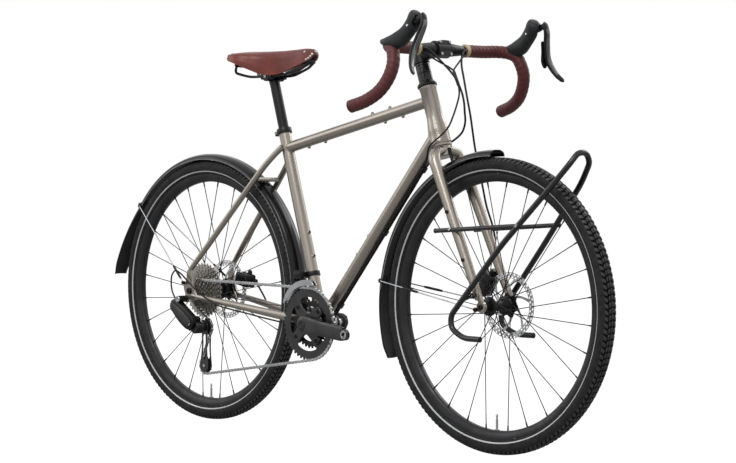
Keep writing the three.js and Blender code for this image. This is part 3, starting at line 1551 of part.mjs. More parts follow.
function brakeLever() {
  const rootBehind = 2 * leverPinRadius;
  const rootAhead = leverBladeAhead - leverPivotAhead + leverLength * 0.08;
  const web = block(leverPivot.clone().addScaledVector(forward, (rootAhead - rootBehind) / 2),
    rootAhead + rootBehind, leverWidth * 0.8, leverPinRadius * 4);
  const lever = blade(leverTop, leverStationShares, leverLength, leverFlare, leverWidth, leverThickness);
  return join(lever, web, leverPin(leverPinRadius));
}

const paddleStationShares = [
  { down: 0, ahead: 0, flare: 0, wide: 0.5, thick: 1 },
  { down: 0.35, ahead: -0.02, flare: 0.12, wide: 0.75, thick: 1 },
  { down: 0.75, ahead: -0.1, flare: 0.3, wide: 1, thick: 1 },
  { down: 1, ahead: -0.1, flare: 0.42, wide: 0.6, thick: 0.8 },
];

function shiftPaddle() {
  const origin = leverTop.clone().add(point(leverThickness * 0.02, 0, -leverLength * 0.3));
  return blade(origin, paddleStationShares, paddleLength, leverFlare, paddleWidth, paddleThickness);
}

add("brake_lever_right", brakeLever(), greyAlloy);
add("brake_lever_left", mirrored(brakeLever()), greyAlloy);
add("shift_paddle_right", shiftPaddle(), blackPlastic);
add("shift_paddle_left", mirrored(shiftPaddle()), blackPlastic);

// Mudguards: an arched strip along a circle that opens out towards its end.
function guardSection(depthShare, widthShare) {
  const half = (guardWidth / 2) * widthShare;
  const depth = guardDepth * depthShare;
  const archShares = [[-1, -1], [-0.82, -0.34], [-0.35, 0], [0.35, 0], [0.82, -0.34], [1, -1]];
  const outer = archShares.map(([side, drop]) => [side * half, drop * depth]);
  const inner = archShares.map(([side, drop]) => [side * (half - guardThickness),
    drop * (depth - guardThickness) - guardThickness]).reverse();
  return [...outer, ...inner];
}

function guard(centre, start, end, steps, radiusAt, depthAt, widthAt) {
  const sections = [];
  for (let i = 0; i <= steps; i += 1) {
    const share = i / steps;
    const angle = THREE.MathUtils.lerp(start, end, share);
    sections.push(guardSection(depthAt(share), widthAt(share)).map(([side, drop]) => {
      const radius = radiusAt(share) + drop;
      return point(centre.x + radius * Math.cos(angle), side, centre.z + radius * Math.sin(angle));
    }));
  }
  const outline = guardSection(depthAt(0), widthAt(0)).map(([side, drop]) => flat(side, drop));
  return loft(sections, outline);
}

const crownFront = onSteerer(axleToHeadTube - crownDrop, crownRadius + gap + guardTabThickness / 2);

const frontGuardSteps = 12;

function frontGuard() {
  const strip = guard(frontAxle, frontGuardStart, frontGuardEnd, frontGuardSteps,
    (share) => guardRadius + guardThickness + frontGuardFlare * share ** 1.5,
    (share) => (share > 0.75 ? 0.7 : 1),
    (share) => (share > 0.94 ? 0.75 : 1));
  const toGuard = crownFront.clone().sub(frontAxle).setLength(guardRadius + guardThickness / 2).add(frontAxle);
  const tabLow = onSteerer(toGuard.clone().sub(steerFoot).dot(steerUp),
    crownRadius + gap + guardTabThickness / 2);
  const tabHigh = onSteerer(axleToHeadTube - crownDrop + guardTabWidth / 2,
    crownRadius + gap + guardTabThickness / 2);
  const middle = tabLow.clone().lerp(tabHigh, 0.5);
  const tab = block(middle, guardTabThickness, guardTabWidth, tabLow.distanceTo(tabHigh),
    headAngle - Math.PI / 2);
  return join(strip, tab);
}

const rearGuardSteps = 21;
const rearFlapFlatter = 0.45;
const rearFlapWider = 0.12;

function rearGuard() {
  const flapShare = (rearFlapStart - rearGuardStart) / (rearGuardEnd - rearGuardStart);
  const opening = (share) => Math.max(0, (share - flapShare) / (1 - flapShare));
  const strip = guard(rearAxle, rearGuardStart, rearGuardEnd, rearGuardSteps,
    (share) => guardRadius + guardThickness + rearGuardFlare * opening(share),
    (share) => 1 - rearFlapFlatter * opening(share),
    (share) => 1 + rearFlapWider * opening(share));
  const toBridge = bridgeCentre.clone().sub(rearAxle);
  const heading = Math.atan2(toBridge.z, toBridge.x);
  const low = guardRadius;
  const high = toBridge.length() - bridgeRadius - gap;
  const middle = rearAxle.clone().addScaledVector(toBridge.normalize(), (low + high) / 2);
  const spacer = block(middle, high - low, guardTabWidth, guardTabWidth, -heading);
  return join(strip, spacer);
}

add("front_mudguard", frontGuard(), blackPlastic);
add("rear_mudguard", rearGuard(), blackPlastic);

// A stay wire runs from one eyelet, over the mudguard, to the other eyelet.
function guardStay(centre, eyelet, faceSide, heading, radius, sleeveShare) {
  const over = radius + stayWireRadius + 2 * gap;
  const low = radius - guardDepth - guardThickness;
  const side = guardWidth / 2 + 2 * stayWireRadius;
  const polar = (reach, y) => point(centre.x + reach * Math.cos(heading), y,
    centre.z + reach * Math.sin(heading));
  const half = [eyelet, polar(low, -side), polar(over, -side * 0.86)];
  const other = half.map((corner) => point(corner.x, -corner.y, corner.z)).reverse();
  const wire = pipe(bent([...half, ...other], stayWireRadius * 5, 1), stayWireRadius, 6);
  const sleeveEnd = eyelet.clone().lerp(half[1], sleeveShare);
  const sleeve = bar(eyelet.clone().lerp(half[1], sleeveShare * 0.25), sleeveEnd, staySleeveRadius, 6);
  const eye = bar(point(eyelet.x, -faceSide - gap, eyelet.z),
    eyelet.clone().setY(eyelet.y - stayWireRadius),
    staySleeveRadius, 6);
  return join(wire, sleeve, mirrored(sleeve), eye, mirrored(eye));
}

const frontEyelet = point(frontAxle.x - forkDropoutRadius * 0.8,
  -(forkDropoutOuter + 2 * staySleeveRadius + gap),
  frontAxle.z - forkDropoutRadius * 0.45);
const rearEyelet = point(rearAxle.x - dropoutEyeReach * 0.75, -(dropoutOuter + 2 * staySleeveRadius + gap),
  rearAxle.z + dropoutEyeReach * 0.9);
const frontStayHeading = THREE.MathUtils.degToRad(172.5);
const rearStayHeading = THREE.MathUtils.degToRad(141);

// Share of the rear flare at the stay, and where each sleeve ends along its stay
const rearStayFlareShare = 0.03;
const staySleeveEnd = 0.22;

function guardOuterAt(heading, start, end, flare, power) {
  const share = (heading - start) / (end - start);
  return guardRadius + guardThickness + flare * share ** power;
}

add("front_mudguard_stay", guardStay(frontAxle, frontEyelet, forkDropoutOuter, frontStayHeading,
  guardOuterAt(frontStayHeading, frontGuardStart, frontGuardEnd, frontGuardFlare, 1.5), staySleeveEnd),
    steel);
add("rear_mudguard_stay", guardStay(rearAxle, rearEyelet, dropoutOuter, rearStayHeading,
  guardRadius + guardThickness + rearGuardFlare * rearStayFlareShare, staySleeveEnd), steel);

// Front rack: one hoop tube with hooked feet, two side rails, and brackets to the fork.
// Shares from the axle: of the hoop's reach ahead, its height above, and the half width.
const rackLegShares = [
  [0.13, -0.2, 1.03], [-0.1, -0.2, 1], [-0.26, -0.14, 0.97], [-0.27, -0.06, 0.96], [0.32, 0.4, 0.83],
  [0.87, 0.8, 0.53], [1.02, 0.93, 0.36], [1.04, 0.99, 0.16],
];

function rackPoint([aheadShare, aboveShare, sideShare]) {
  return point(frontAxle.x + aheadShare * rackHoopAhead, -sideShare * rackHalfWidth,
    frontAxle.z + aboveShare * rackHoopAbove);
}

function frontRack() {
  const right = rackLegShares.map(rackPoint);
  const leftSide = right.map((corner) => point(corner.x, -corner.y, corner.z)).reverse();
  const hoop = pipe(bent([...right, ...leftSide], rackTubeRadius * 4, 1), rackTubeRadius, 7);
  const rails = [];
  for (const side of [-1, 1]) rails.push(...rackRail(side));
  return join(hoop, ...rails);
}

const legShareAtRail = 0.5;

const rackCrossingShares = [0.36, 0.53, 0.77];
const rackBoltShares = [0.365, 0.434, 0.805];
const rackFootShares = [-0.14, 0.04, 0.93];

function rackRail(side) {
  const leg = legCentre(legShareAtRail, 1.2);
  const legOuter = Math.abs(leg.y) + legTopRadius * 0.95 + gap;
  const railSide = side * (legOuter + railTubeRadius);
  const crossing = rackPoint(rackCrossingShares);
  const rear = point(leg.x - legTopRadius * 4, railSide, leg.z - railTubeRadius);
  const front = point(crossing.x + legTopRadius, railSide, crossing.z);
  const rail = bar(rear, front, railTubeRadius, 8);
  const along = rackPoint(rackBoltShares);
  const bolt = bar(point(crossing.x, railSide, crossing.z), point(along.x, side * Math.abs(along.y),
    along.z), railTubeRadius, 8);
  const foot = rackPoint(rackFootShares);
  const eye = point(frontAxle.x - forkDropoutRadius * 1.1,
    side * (legFootHalfWidth + legTopRadius * 0.8 + gap + railTubeRadius),
      frontAxle.z + forkDropoutRadius * 1.9);
  const bracket = bar(point(foot.x, side * Math.abs(foot.y), foot.z), eye, railTubeRadius, 8);
  return [rail, bolt, bracket];
}

add("front_rack", frontRack(), blackAlloy);

// Hoses and cables. Their routes are shares of a length, from a point of the frame:
// ahead, to the left and up.
function route(shares, from, length) {
  return shares.map(([ahead, side, rise]) => from.clone().add(point(ahead, side,
    rise).multiplyScalar(length)));
}

function alongRoute(points, steps) {
  return new THREE.CatmullRomCurve3(points, false, "centripetal").getSpacedPoints(steps);
}

// Under the down tube, measured from its front end.
function underDownTube(distance, side, dip = 0) {
  const along = bottomBracket.clone().sub(downTubeFront).normalize();
  const below = outwardOf(bottomBracket, downTubeFront, -1);
  return downTubeFront.clone().addScaledVector(along, distance)
    .addScaledVector(below, downTubeRadius + hoseRadius + gap + dip).addScaledVector(left, side);
}

// The last stretch under the down tube, where the run begins to dip below the shell.
function downTubeExit(side) {
  const length = downTubeFront.distanceTo(bottomBracket);
  return [underDownTube(length - tubeRunEnd, side), underDownTube(length - tubeRunLast, side, tubeRunDip)];
}

const frontHoseShares = [
  [0.083, 0.524, 1.557], [0.102, 0.427, 1.533], [0.155, 0.32, 1.44],
  [0.262, 0.2, 1.28], [0.395, 0.107, 1.08], [0.495, 0.053, 0.867],
  [0.549, 0.04, 0.693], [0.535, 0.113, 0.48], [0.469, 0.24, 0.213],
];
const frontHoseForkShares = [
  [0.1463, 0.1244, -0.0166], [0.1488, 0.1516, -0.1223], [0.1675, 0.1632, -0.2281],
  [0.1981, 0.1667, -0.3525], [0.2217, 0.1844, -0.4467], [0.2334, 0.1875, -0.489],
  [0.245, 0.1858, -0.5313], [0.2521, 0.1667, -0.5877], [0.245, 0.1445, -0.6532],
  [0.238, 0.134, -0.6955], [0.2475, 0.1269, -0.7216], [0.257, 0.1199, -0.7474],
];
const rearHoseHeadShares = [
  [0.083, -0.524, 1.557], [0.102, -0.427, 1.533], [0.155, -0.32, 1.44],
  [0.262, -0.2, 1.28], [0.395, -0.1, 1.08], [0.489, -0.053, 0.867],
  [0.515, -0.02, 0.707], [0.475, 0.047, 0.52], [0.409, 0.127, 0.36],
  [0.275, 0.197, 0.2], [0.089, 0.223, 0.087], [-0.085, 0.193, -0.013],
  [-0.218, 0.107, -0.173],
];
const rearHoseStayShares = [
  [0.0447, 0.0077, -0.0384],
  [0.0009, 0.011, -0.0537], [-0.0452, 0.0175, -0.0515], [-0.0978, 0.0307, -0.0373],
  [-0.1526, 0.0548, -0.0219], [-0.2623, 0.0811, -0.0039], [-0.3982, 0.0965, 0.0149],
  [-0.5474, 0.1075, 0.0373], [-0.6088, 0.1294, 0.0548], [-0.6439, 0.148, 0.0768],
  [-0.6768, 0.1553, 0.1118], [-0.6965, 0.1447, 0.1513], [-0.7184, 0.1327, 0.1886],
  [-0.7469, 0.1287, 0.2033], [-0.7798, 0.1272, 0.2092],
];
const shiftFeederShares = [
  [0.066, 0.527, 1.484], [0.095, 0.413, 1.44], [0.155, 0.253, 1.347],
  [0.235, 0.08, 1.253], [0.269, 0, 1.2],
];
const shiftHeadShares = [
  [0.269, 0, 1.2], [0.322, -0.007, 1.093], [0.375, 0.007, 0.947],
  [0.395, 0, 0.8], [0.382, -0.04, 0.64], [0.355, -0.093, 0.467],
  [0.295, -0.147, 0.28], [0.169, -0.197, 0.14], [0.022, -0.213, 0.04],
  [-0.111, -0.187, -0.053], [-0.231, -0.1, -0.2],
];
const shiftStayShares = [
  [0.0447, -0.0077, -0.0384],
  [0.0009, -0.011, -0.0537], [-0.0452, -0.0175, -0.0515], [-0.0978, -0.0329, -0.0373],
  [-0.1526, -0.0548, -0.0219], [-0.2623, -0.0811, -0.0035], [-0.3982, -0.0965, 0.0154],
  [-0.5474, -0.1086, 0.0377], [-0.6789, -0.1272, 0.0581], [-0.7404, -0.1535, 0.0746],
  [-0.7886, -0.1721, 0.0987], [-0.8851, -0.1809, 0.1469], [-0.9772, -0.1864, 0.2083],
  [-1.0474, -0.1919, 0.2588], [-1.089, -0.1952, 0.2719], [-1.1175, -0.1974, 0.2434],
  [-1.1219, -0.1996, 0.1908], [-1.1088, -0.2018, 0.1469], [-1.089, -0.2018, 0.1162],
  [-1.0693, -0.2018, 0.0954],
];
const shiftMechShares = [
  [0.0009, -0.011, -0.0537], [-0.043, -0.011, -0.0417], [-0.0693, -0.0175, 0.011],
  [-0.0825, -0.0263, 0.0987], [-0.1088, -0.0439, 0.1974], [-0.1219, -0.0526, 0.2588],
];

const frontHoseRun = alongRoute([...route(frontHoseShares, headBottom, headTubeLength),
  ...route(frontHoseForkShares, headBottom, axleToHeadTube)], 24);
const rearHoseHead = alongRoute(route(rearHoseHeadShares, headBottom, headTubeLength), 14);
const rearHoseStay = alongRoute([...downTubeExit(tubeRunSide),
  ...route(rearHoseStayShares, bottomBracket, chainstayLength)], 20);
const rearHoseRun = [...rearHoseHead, underDownTube(tubeRunStart, tubeRunSide), ...rearHoseStay];

// The socket a hose or cable ends in: a round hole around the last part of its run.
function socket(run, radius) {
  const end = run[run.length - 1];
  const before = run[run.length - 2];
  const outward = before.clone().sub(end).normalize();
  return bar(end.clone().addScaledVector(outward, -gap), before.clone().addScaledVector(outward, overrun),
    radius + gap, coarseRound);
}

add("front_brake_hose", pipe(frontHoseRun, hoseRadius, hoseSides), blackPlastic);
add("rear_brake_hose", pipe(rearHoseRun, hoseRadius, hoseSides), blackPlastic);

const shiftHeadRun = alongRoute(route(shiftHeadShares, headBottom, headTubeLength), 10);
const shiftStayRun = alongRoute([...downTubeExit(-tubeRunSide),
  ...route(shiftStayShares, bottomBracket, chainstayLength)], 24);
const shiftMainRun = [...shiftHeadRun, underDownTube(tubeRunStart, -tubeRunSide), ...shiftStayRun];

// The cable of each shifter reaches the joiner; the line to each derailleur leaves below the shell.
function shiftCables() {
  const feeder = pipe(alongRoute(route(shiftFeederShares, headBottom, headTubeLength), 4), cableRadius,
    hoseSides);
  const joinerStart = shiftMainRun[0];
  const joinerEnd = shiftMainRun[1].clone();
  const joiner = bar(joinerStart, joinerEnd, cableRadius * 1.8, hoseSides);
  const mech = pipe(alongRoute(route(shiftMechShares, bottomBracket, chainstayLength), 6), cableRadius,
    hoseSides);
  return join(pipe(shiftMainRun, cableRadius, hoseSides), feeder, mirrored(feeder), joiner, mech);
}

add("shift_cables", shiftCables(), blackPlastic);

// Calipers: a body that straddles the rotor, with a slot for it.
function caliper(axle, place, offset, turn) {
  const body = block(point(place.x, offset, place.z), caliperLength, caliperWidth, caliperHeight, turn);
  const ears = block(point(place.x, offset + caliperWidth * 0.22, place.z), caliperLength * 1.3,
    caliperWidth * 0.45, caliperHeight * 0.45, turn);
  const slotHalf = left.clone().multiplyScalar(caliperSlot / 2);
  const middle = axle.clone().setY(offset);
  const slot = bar(middle.clone().sub(slotHalf), middle.clone().add(slotHalf), rotorRadius + runningGap,
    36);
  return cut(join(body, ears), slot);
}

const frontCaliperPlace = frontAxle.clone().add(point(-rotorRadius * 0.86, 0, rotorRadius * 0.62));
add("front_caliper", cut(caliper(frontAxle, frontCaliperPlace, frontRotorOffset,
  THREE.MathUtils.degToRad(-56)),
  mirrored(forkLegCutter()), socket(frontHoseRun, hoseRadius)), blackAlloy);

function forkLegCutter() {
  return oval(legSections(gap), legSides);
}

const rearCaliperPlace = rearAxle.clone().add(point(rotorRadius * 0.95, 0, rotorRadius * 0.36));
add("rear_caliper", cut(caliper(rearAxle, rearCaliperPlace, rearRotorOffset, THREE.MathUtils.degToRad(10)),
  mirrored(chainstayCutter()), socket(rearHoseRun, hoseRadius)), blackAlloy);

function chainstayCutter() {
  const stations = chainstayStations.map((station) => ({
    at: chainstayCentre(station.alongShare, station.sideShare),
    width: (chainstayWidth / 2) * station.wideShare + gap,
    height: (chainstayHeight / 2) * station.tallShare + gap,
  }));
  return oval(stations, 10);
}

// Seatpost and saddle
const postTop = onSeatTube(seatpostHeadHeight);
const railHeight = postTop.z + railSetAbovePost;

// Each rail from the rear plate to the nose: share of the saddle ahead of the post, share of the
// half spacing, and rise in mm
const railStations = [
  [-0.37, 1.9, railRearRise], [-0.4, 1.8, railRearBend], [-0.26, 1, 0],
  [0.2, 1, 0], [0.46, 0.45, railNoseBend], [0.53, 0.4, railNoseRise],
];

function railPoints(side) {
  return railStations.map(([ahead, wide, rise]) => point(postTop.x + saddleLength * ahead,
    side * railHalfSpacing * wide, railHeight + rise));
}

function rail(side, radius) {
  return pipe(bent(railPoints(side), railRadius * 5, 1), radius, 6);
}

function saddleRails() {
  const rearPlate = block(point(postTop.x - saddleLength * 0.365, 0,
    railHeight + railRearRise + railPlateLift), railRadius * 2, railHalfSpacing * 4.4, railRadius * 4);
  const nosePlate = block(point(postTop.x + saddleLength * 0.53, 0,
    railHeight + railNoseRise + railPlateLift), railRadius * 3, railHalfSpacing * 1.1, railRadius * 3);
  return join(rail(1, railRadius), rail(-1, railRadius), rearPlate, nosePlate);
}

function seatpost() {
  const post = bar(onSeatTube(seatTubeLength - seatpostInsertion), postTop, seatpostRadius, 20);
  const half = point(0, seatpostHeadWidth / 2, 0);
  const centre = point(postTop.x, 0, railHeight);
  const cradle = bar(centre.clone().sub(half), centre.clone().add(half), seatpostHeadRadius, middleRound);
  const head = join(post, cradle);
  return cut(head, rail(1, railRadius + gap), rail(-1, railRadius + gap));
}

add("saddle_rails", saddleRails(), darkSteel);
add("seatpost", seatpost(), blackAlloy);

// Leather cover: shares of length, half width, top height and skirt depth along the saddle.
const saddleStations = [
  { along: 0, wide: 0.84, lift: 0.1, skirt: 0.42 },
  { along: 0.06, wide: 0.97, lift: 0.16, skirt: 0.5 },
  { along: 0.16, wide: 1, lift: 0.12, skirt: 0.56 },
  { along: 0.3, wide: 0.76, lift: 0.02, skirt: 0.78 },
  { along: 0.44, wide: 0.5, lift: -0.04, skirt: 1 },
  { along: 0.58, wide: 0.34, lift: -0.04, skirt: 0.95 },
  { along: 0.76, wide: 0.25, lift: 0.03, skirt: 0.72 },
  { along: 0.92, wide: 0.2, lift: 0.1, skirt: 0.5 },
  { along: 0.98, wide: 0.15, lift: 0.11, skirt: 0.44 },
  { along: 1, wide: 0.1, lift: 0.09, skirt: 0.42 },
];

function saddleSection({ wide, lift, skirt }, inset) {
  const half = (saddleWidth / 2) * wide - inset;
  const top = saddleSkirt * lift - inset;
  const bottom = saddleSkirt * (lift - skirt);
  const rise = top - bottom;
  return [[-1.02, 0], [-1, 0.4], [-0.9, 0.78], [-0.5, 0.97], [0, 1],
    [0.5, 0.97], [0.9, 0.78], [1, 0.4], [1.02, 0]]
    .map(([side, high]) => flat(side * half, bottom + high * rise));
}

function saddleCover() {
  const rear = postTop.x + saddleNoseAhead - saddleLength;
  const sections = saddleStations.map((station) => {
    const x = rear + station.along * saddleLength;
    const outer = saddleSection(station, 0);
    const inner = saddleSection(station, leatherThickness).reverse();
    return [...outer, ...inner].map((corner) => point(x, corner.x,
      postTop.z + saddleTopAbovePost + corner.y));
  });
  const outline = [...saddleSection(saddleStations[0], 0), ...saddleSection(saddleStations[0],
    leatherThickness).reverse()];
  return loft(sections, outline);
}

add("saddle_cover", saddleCover(), leather);

// Moves the whole bicycle so that the middle of its length lies over the origin.
const bounds = new THREE.Box3().setFromObject(bicycle);
bicycle.position.x = -(bounds.min.x + bounds.max.x) / 2;
bicycle.updateMatrixWorld(true);

export default bicycle;
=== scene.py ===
"""Looks of a touring bicycle with drop bars, mudguards and a front rack.

Every size is in millimetres in the bicycle's own layout: x forward from the middle of the
wheelbase, y to the rider's left, z up from the floor. Meshes are moved to the frame's place and
turned to metres when they are made.
"""

import logging
import math
from dataclasses import dataclass, field
from enum import Enum
from typing import Any, Iterable, Sequence

import bpy
import numpy as np
from mathutils import Matrix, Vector
from numpy.typing import NDArray


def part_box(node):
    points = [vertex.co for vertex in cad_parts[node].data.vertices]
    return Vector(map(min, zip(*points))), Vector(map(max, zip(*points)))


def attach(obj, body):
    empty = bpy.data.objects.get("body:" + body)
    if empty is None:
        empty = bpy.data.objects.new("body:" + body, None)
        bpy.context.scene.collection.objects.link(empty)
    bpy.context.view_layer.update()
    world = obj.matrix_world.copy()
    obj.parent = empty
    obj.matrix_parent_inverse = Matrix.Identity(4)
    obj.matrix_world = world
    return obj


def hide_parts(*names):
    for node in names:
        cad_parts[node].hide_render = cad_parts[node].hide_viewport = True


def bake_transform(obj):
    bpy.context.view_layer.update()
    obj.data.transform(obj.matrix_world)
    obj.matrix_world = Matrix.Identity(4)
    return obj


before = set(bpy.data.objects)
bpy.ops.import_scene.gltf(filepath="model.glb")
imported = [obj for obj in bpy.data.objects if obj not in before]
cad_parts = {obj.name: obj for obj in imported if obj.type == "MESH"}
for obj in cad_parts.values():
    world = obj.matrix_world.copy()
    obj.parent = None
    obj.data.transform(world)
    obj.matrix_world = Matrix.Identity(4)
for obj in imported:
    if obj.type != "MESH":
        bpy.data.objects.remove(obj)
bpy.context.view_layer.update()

Array = NDArray[np.float64]
log = logging.getLogger("bicycle")

METRES_PER_MM = 0.001
TYRE_RADIUS = 355.0
FORWARD = np.array([1.0, 0.0, 0.0])
LEFT = np.array([0.0, 1.0, 0.0])
UP = np.array([0.0, 0.0, 1.0])
OTHER_SIDE = np.array([1.0, -1.0, 1.0])


def point(x: float, y: float, z: float) -> Array:
    """A point or direction as an array."""
    return np.array([x, y, z], float)


def unit(vectors: Array) -> Array:
    """The vectors, along the last axis, at length one."""
    length = np.linalg.norm(vectors, axis=-1, keepdims=True)
    return vectors / np.maximum(length, 1e-9)


def turn_about(axis: Array, angle: float) -> Array:
    """The rotation matrix about an axis by Rodrigues' formula: I + sin(a) K + (1 - cos(a)) K K."""
    x, y, z = unit(np.asarray(axis, float))
    cross = np.array([[0, -z, y], [z, 0, -x], [-y, x, 0]])
    return np.eye(3) + math.sin(angle) * cross + (1 - math.cos(angle)) * cross @ cross


@dataclass
class Shell:
    """A surface of quads and end caps.

    Args:
        points: Corner places in mm, one row each.
        quads: Four corner numbers per face.
        uv: Place of each face corner on the surface in mm, along and around.
        caps: Corner numbers of each end cap.
    """

    points: Array
    quads: NDArray[np.int64]
    uv: Array
    caps: list[list[int]] = field(default_factory=list)

    def volume(self) -> float:
        """Six times the enclosed volume, as the sum of corner triple products."""
        p, q = self.points, self.quads
        a, b, c, d = (p[q[:, i]] for i in range(4))
        total = np.einsum("ij,ij->", a, np.cross(b, c)) + np.einsum("ij,ij->", a, np.cross(c, d))
        for cap in self.caps:
            fan = p[cap]
            total += np.einsum("ij,ij->", np.broadcast_to(fan[0], fan[1:-1].shape),
                               np.cross(fan[1:-1], fan[2:]))
        return float(total)

    def flipped(self) -> "Shell":
        """The same surface with its faces turned round."""
        return Shell(self.points, self.quads[:, ::-1], self.uv[:, ::-1], [c[::-1] for c in self.caps])

    def outward(self) -> "Shell":
        """The surface with its faces pointing out, by the sign of its volume."""
        return self.flipped() if self.volume() < 0 else self

    def moved(self, offset: Array, rotation: Array | None = None) -> "Shell":
        """The surface turned about the origin, then shifted."""
        points = self.points if rotation is None else self.points @ rotation.T
        return Shell(points + offset, self.quads, self.uv, self.caps)

    def mirrored(self) -> "Shell":
        """The surface on the other side of the bicycle."""
        return Shell(self.points * OTHER_SIDE, self.quads, self.uv, self.caps).flipped()

    def both_sides(self) -> "Shell":
        """The surface together with its mirror image."""
        return joined(self, self.mirrored())

    def copies(self, rotations: Array, offsets: Array) -> "Shell":
        """One copy per rotation and offset, worked out as whole arrays.

        Args:
            rotations: Rotation matrices, shape (n, 3, 3).
            offsets: Shifts, shape (n, 3).

        Returns:
            All copies as one surface.
        """
        count, size = len(offsets), len(self.points)
        placed = np.einsum("nij,pj->npi", rotations, self.points) + offsets[:, None]
        steps = np.arange(count)[:, None, None] * size
        caps = [[i + n * size for i in cap] for n in range(count) for cap in self.caps]
        return Shell(placed.reshape(-1, 3), (self.quads[None] + steps).reshape(-1, 4),
                     np.tile(self.uv, (count, 1, 1)), caps)


def joined(*shells: Shell) -> Shell:
    """Several surfaces as one, each with its own corners."""
    starts = np.cumsum([0] + [len(s.points) for s in shells[:-1]])
    caps = [[i + int(start) for i in cap] for s, start in zip(shells, starts) for cap in s.caps]
    return Shell(np.vstack([s.points for s in shells]),
                 np.vstack([s.quads + start for s, start in zip(shells, starts)]),
                 np.vstack([s.uv for s in shells]), caps)


def grid(points: Array, closed: bool = False, capped: bool = False) -> Shell:
    """A surface over a grid of points, rows along it and columns round it.

    Args:
        points: Shape (rows, columns, 3).
        closed: Whether the last row joins the first.
        capped: Whether the first and last row are closed by a flat face.

    Returns:
        The surface, with uv as mean lengths along the rows and columns.
    """
    rows, columns = points.shape[:2]
    index = np.arange(rows * columns).reshape(rows, columns)
    r = np.arange(rows if closed else rows - 1)[:, None]
    c = np.arange(columns)[None, :]
    near, far = index[r, c], index[(r + 1) % rows, c]
    quads = np.stack([near, index[r, (c + 1) % columns], index[(r + 1) % rows, (c + 1) % columns], far], -1)
    along = np.concatenate([[0], np.cumsum(np.linalg.norm(
        np.roll(points, -1, 0) - points, axis=2).mean(1))])
    across = np.concatenate([[0], np.cumsum(np.linalg.norm(
        np.roll(points, -1, 1) - points, axis=2).mean(0))])
    u = np.broadcast_to(np.stack([along[r], along[r], along[r + 1], along[r + 1]], -1), quads.shape)
    v = np.broadcast_to(np.stack([across[c], across[c + 1], across[c + 1], across[c]], -1), quads.shape)
    caps = [index[0][::-1].tolist(), index[-1].tolist()] if capped else []
    shell = Shell(points.reshape(-1, 3), quads.reshape(-1, 4), np.stack([u, v], -1).reshape(-1, 4, 2), caps)
    return shell.outward() if capped or closed else shell


def smooth_line(stations: Sequence[Sequence[float]], count: int) -> Array:
    """A centripetal Catmull-Rom curve through the stations, at even distances.

    Args:
        stations: Points of any dimension.
        count: How many points come back.

    Returns:
        Points along the curve, shape (count, dimensions).
    """
    p = np.asarray(stations, float)
    p = np.vstack([2 * p[0] - p[1], p, 2 * p[-1] - p[-2]])
    knots = np.concatenate([[0], np.cumsum(np.maximum(np.linalg.norm(np.diff(p, axis=0), axis=1), 1e-6) ** 0.5)])
    t = np.linspace(knots[1], knots[-2], 24 * len(p))
    k = np.clip(np.searchsorted(knots, t, side="right") - 1, 1, len(p) - 3)
    t0, t1, t2, t3 = (knots[k + i][:, None] for i in (-1, 0, 1, 2))
    p0, p1, p2, p3 = (p[k + i] for i in (-1, 0, 1, 2))
    t = t[:, None]
    a1 = (t1 - t) / (t1 - t0) * p0 + (t - t0) / (t1 - t0) * p1
    a2 = (t2 - t) / (t2 - t1) * p1 + (t - t1) / (t2 - t1) * p2
    a3 = (t3 - t) / (t3 - t2) * p2 + (t - t2) / (t3 - t2) * p3
    b1 = (t2 - t) / (t2 - t0) * a1 + (t - t0) / (t2 - t0) * a2
    b2 = (t3 - t) / (t3 - t1) * a2 + (t - t1) / (t3 - t1) * a3
    dense = (t2 - t) / (t2 - t1) * b1 + (t - t1) / (t2 - t1) * b2
    return even(dense, count)


def even(line: Array, count: int) -> Array:
    """The line at even distances: each coordinate interpolated over the running length."""
    run = np.concatenate([[0], np.cumsum(np.linalg.norm(np.diff(line, axis=0), axis=1))])
    places = np.linspace(0, run[-1], count)
    return np.stack([np.interp(places, run, line[:, i]) for i in range(line.shape[1])], 1)


def rounded(stations: Sequence[Sequence[float]], radius: float, steps: int = 8) -> Array:
    """Straight runs whose inner corners become parabolic arcs that start at most radius away.

    Args:
        stations: The corner points.
        radius: Reach of each bend along its two runs.
        steps: Points in each bend.

    Returns:
        The path's points.
    """
    p = np.asarray(stations, float)
    back, ahead = p[:-2] - p[1:-1], p[2:] - p[1:-1]
    reach = np.minimum(radius, 0.45 * np.minimum(np.linalg.norm(back, axis=1), np.linalg.norm(ahead, axis=1)))
    start = p[1:-1] + unit(back) * reach[:, None]
    end = p[1:-1] + unit(ahead) * reach[:, None]
    t = np.linspace(0, 1, steps)[None, :, None]
    bends = (1 - t) ** 2 * start[:, None] + 2 * t * (1 - t) * p[1:-1][:, None] + t ** 2 * end[:, None]
    return np.vstack([p[:1], bends.reshape(-1, p.shape[1]), p[-1:]])


def carried(path: Array, up: Array, closed: bool = False) -> tuple[Array, Array]:
    """Two directions across a path, carried along it without twist.

    Args:
        path: Points of the path.
        up: The first direction's rough start.
        closed: Whether the path is a loop.

    Returns:
        The two directions at each point.
    """
    if closed:
        along = unit(np.roll(path, -1, 0) - np.roll(path, 1, 0))
    else:
        along = unit(np.gradient(path, axis=0))
    first = np.empty_like(path)
    current = np.asarray(up, float)
    for i, direction in enumerate(along):
        current = current - direction * (current @ direction)
        current = current / np.linalg.norm(current)
        first[i] = current
    return first, np.cross(along, first)


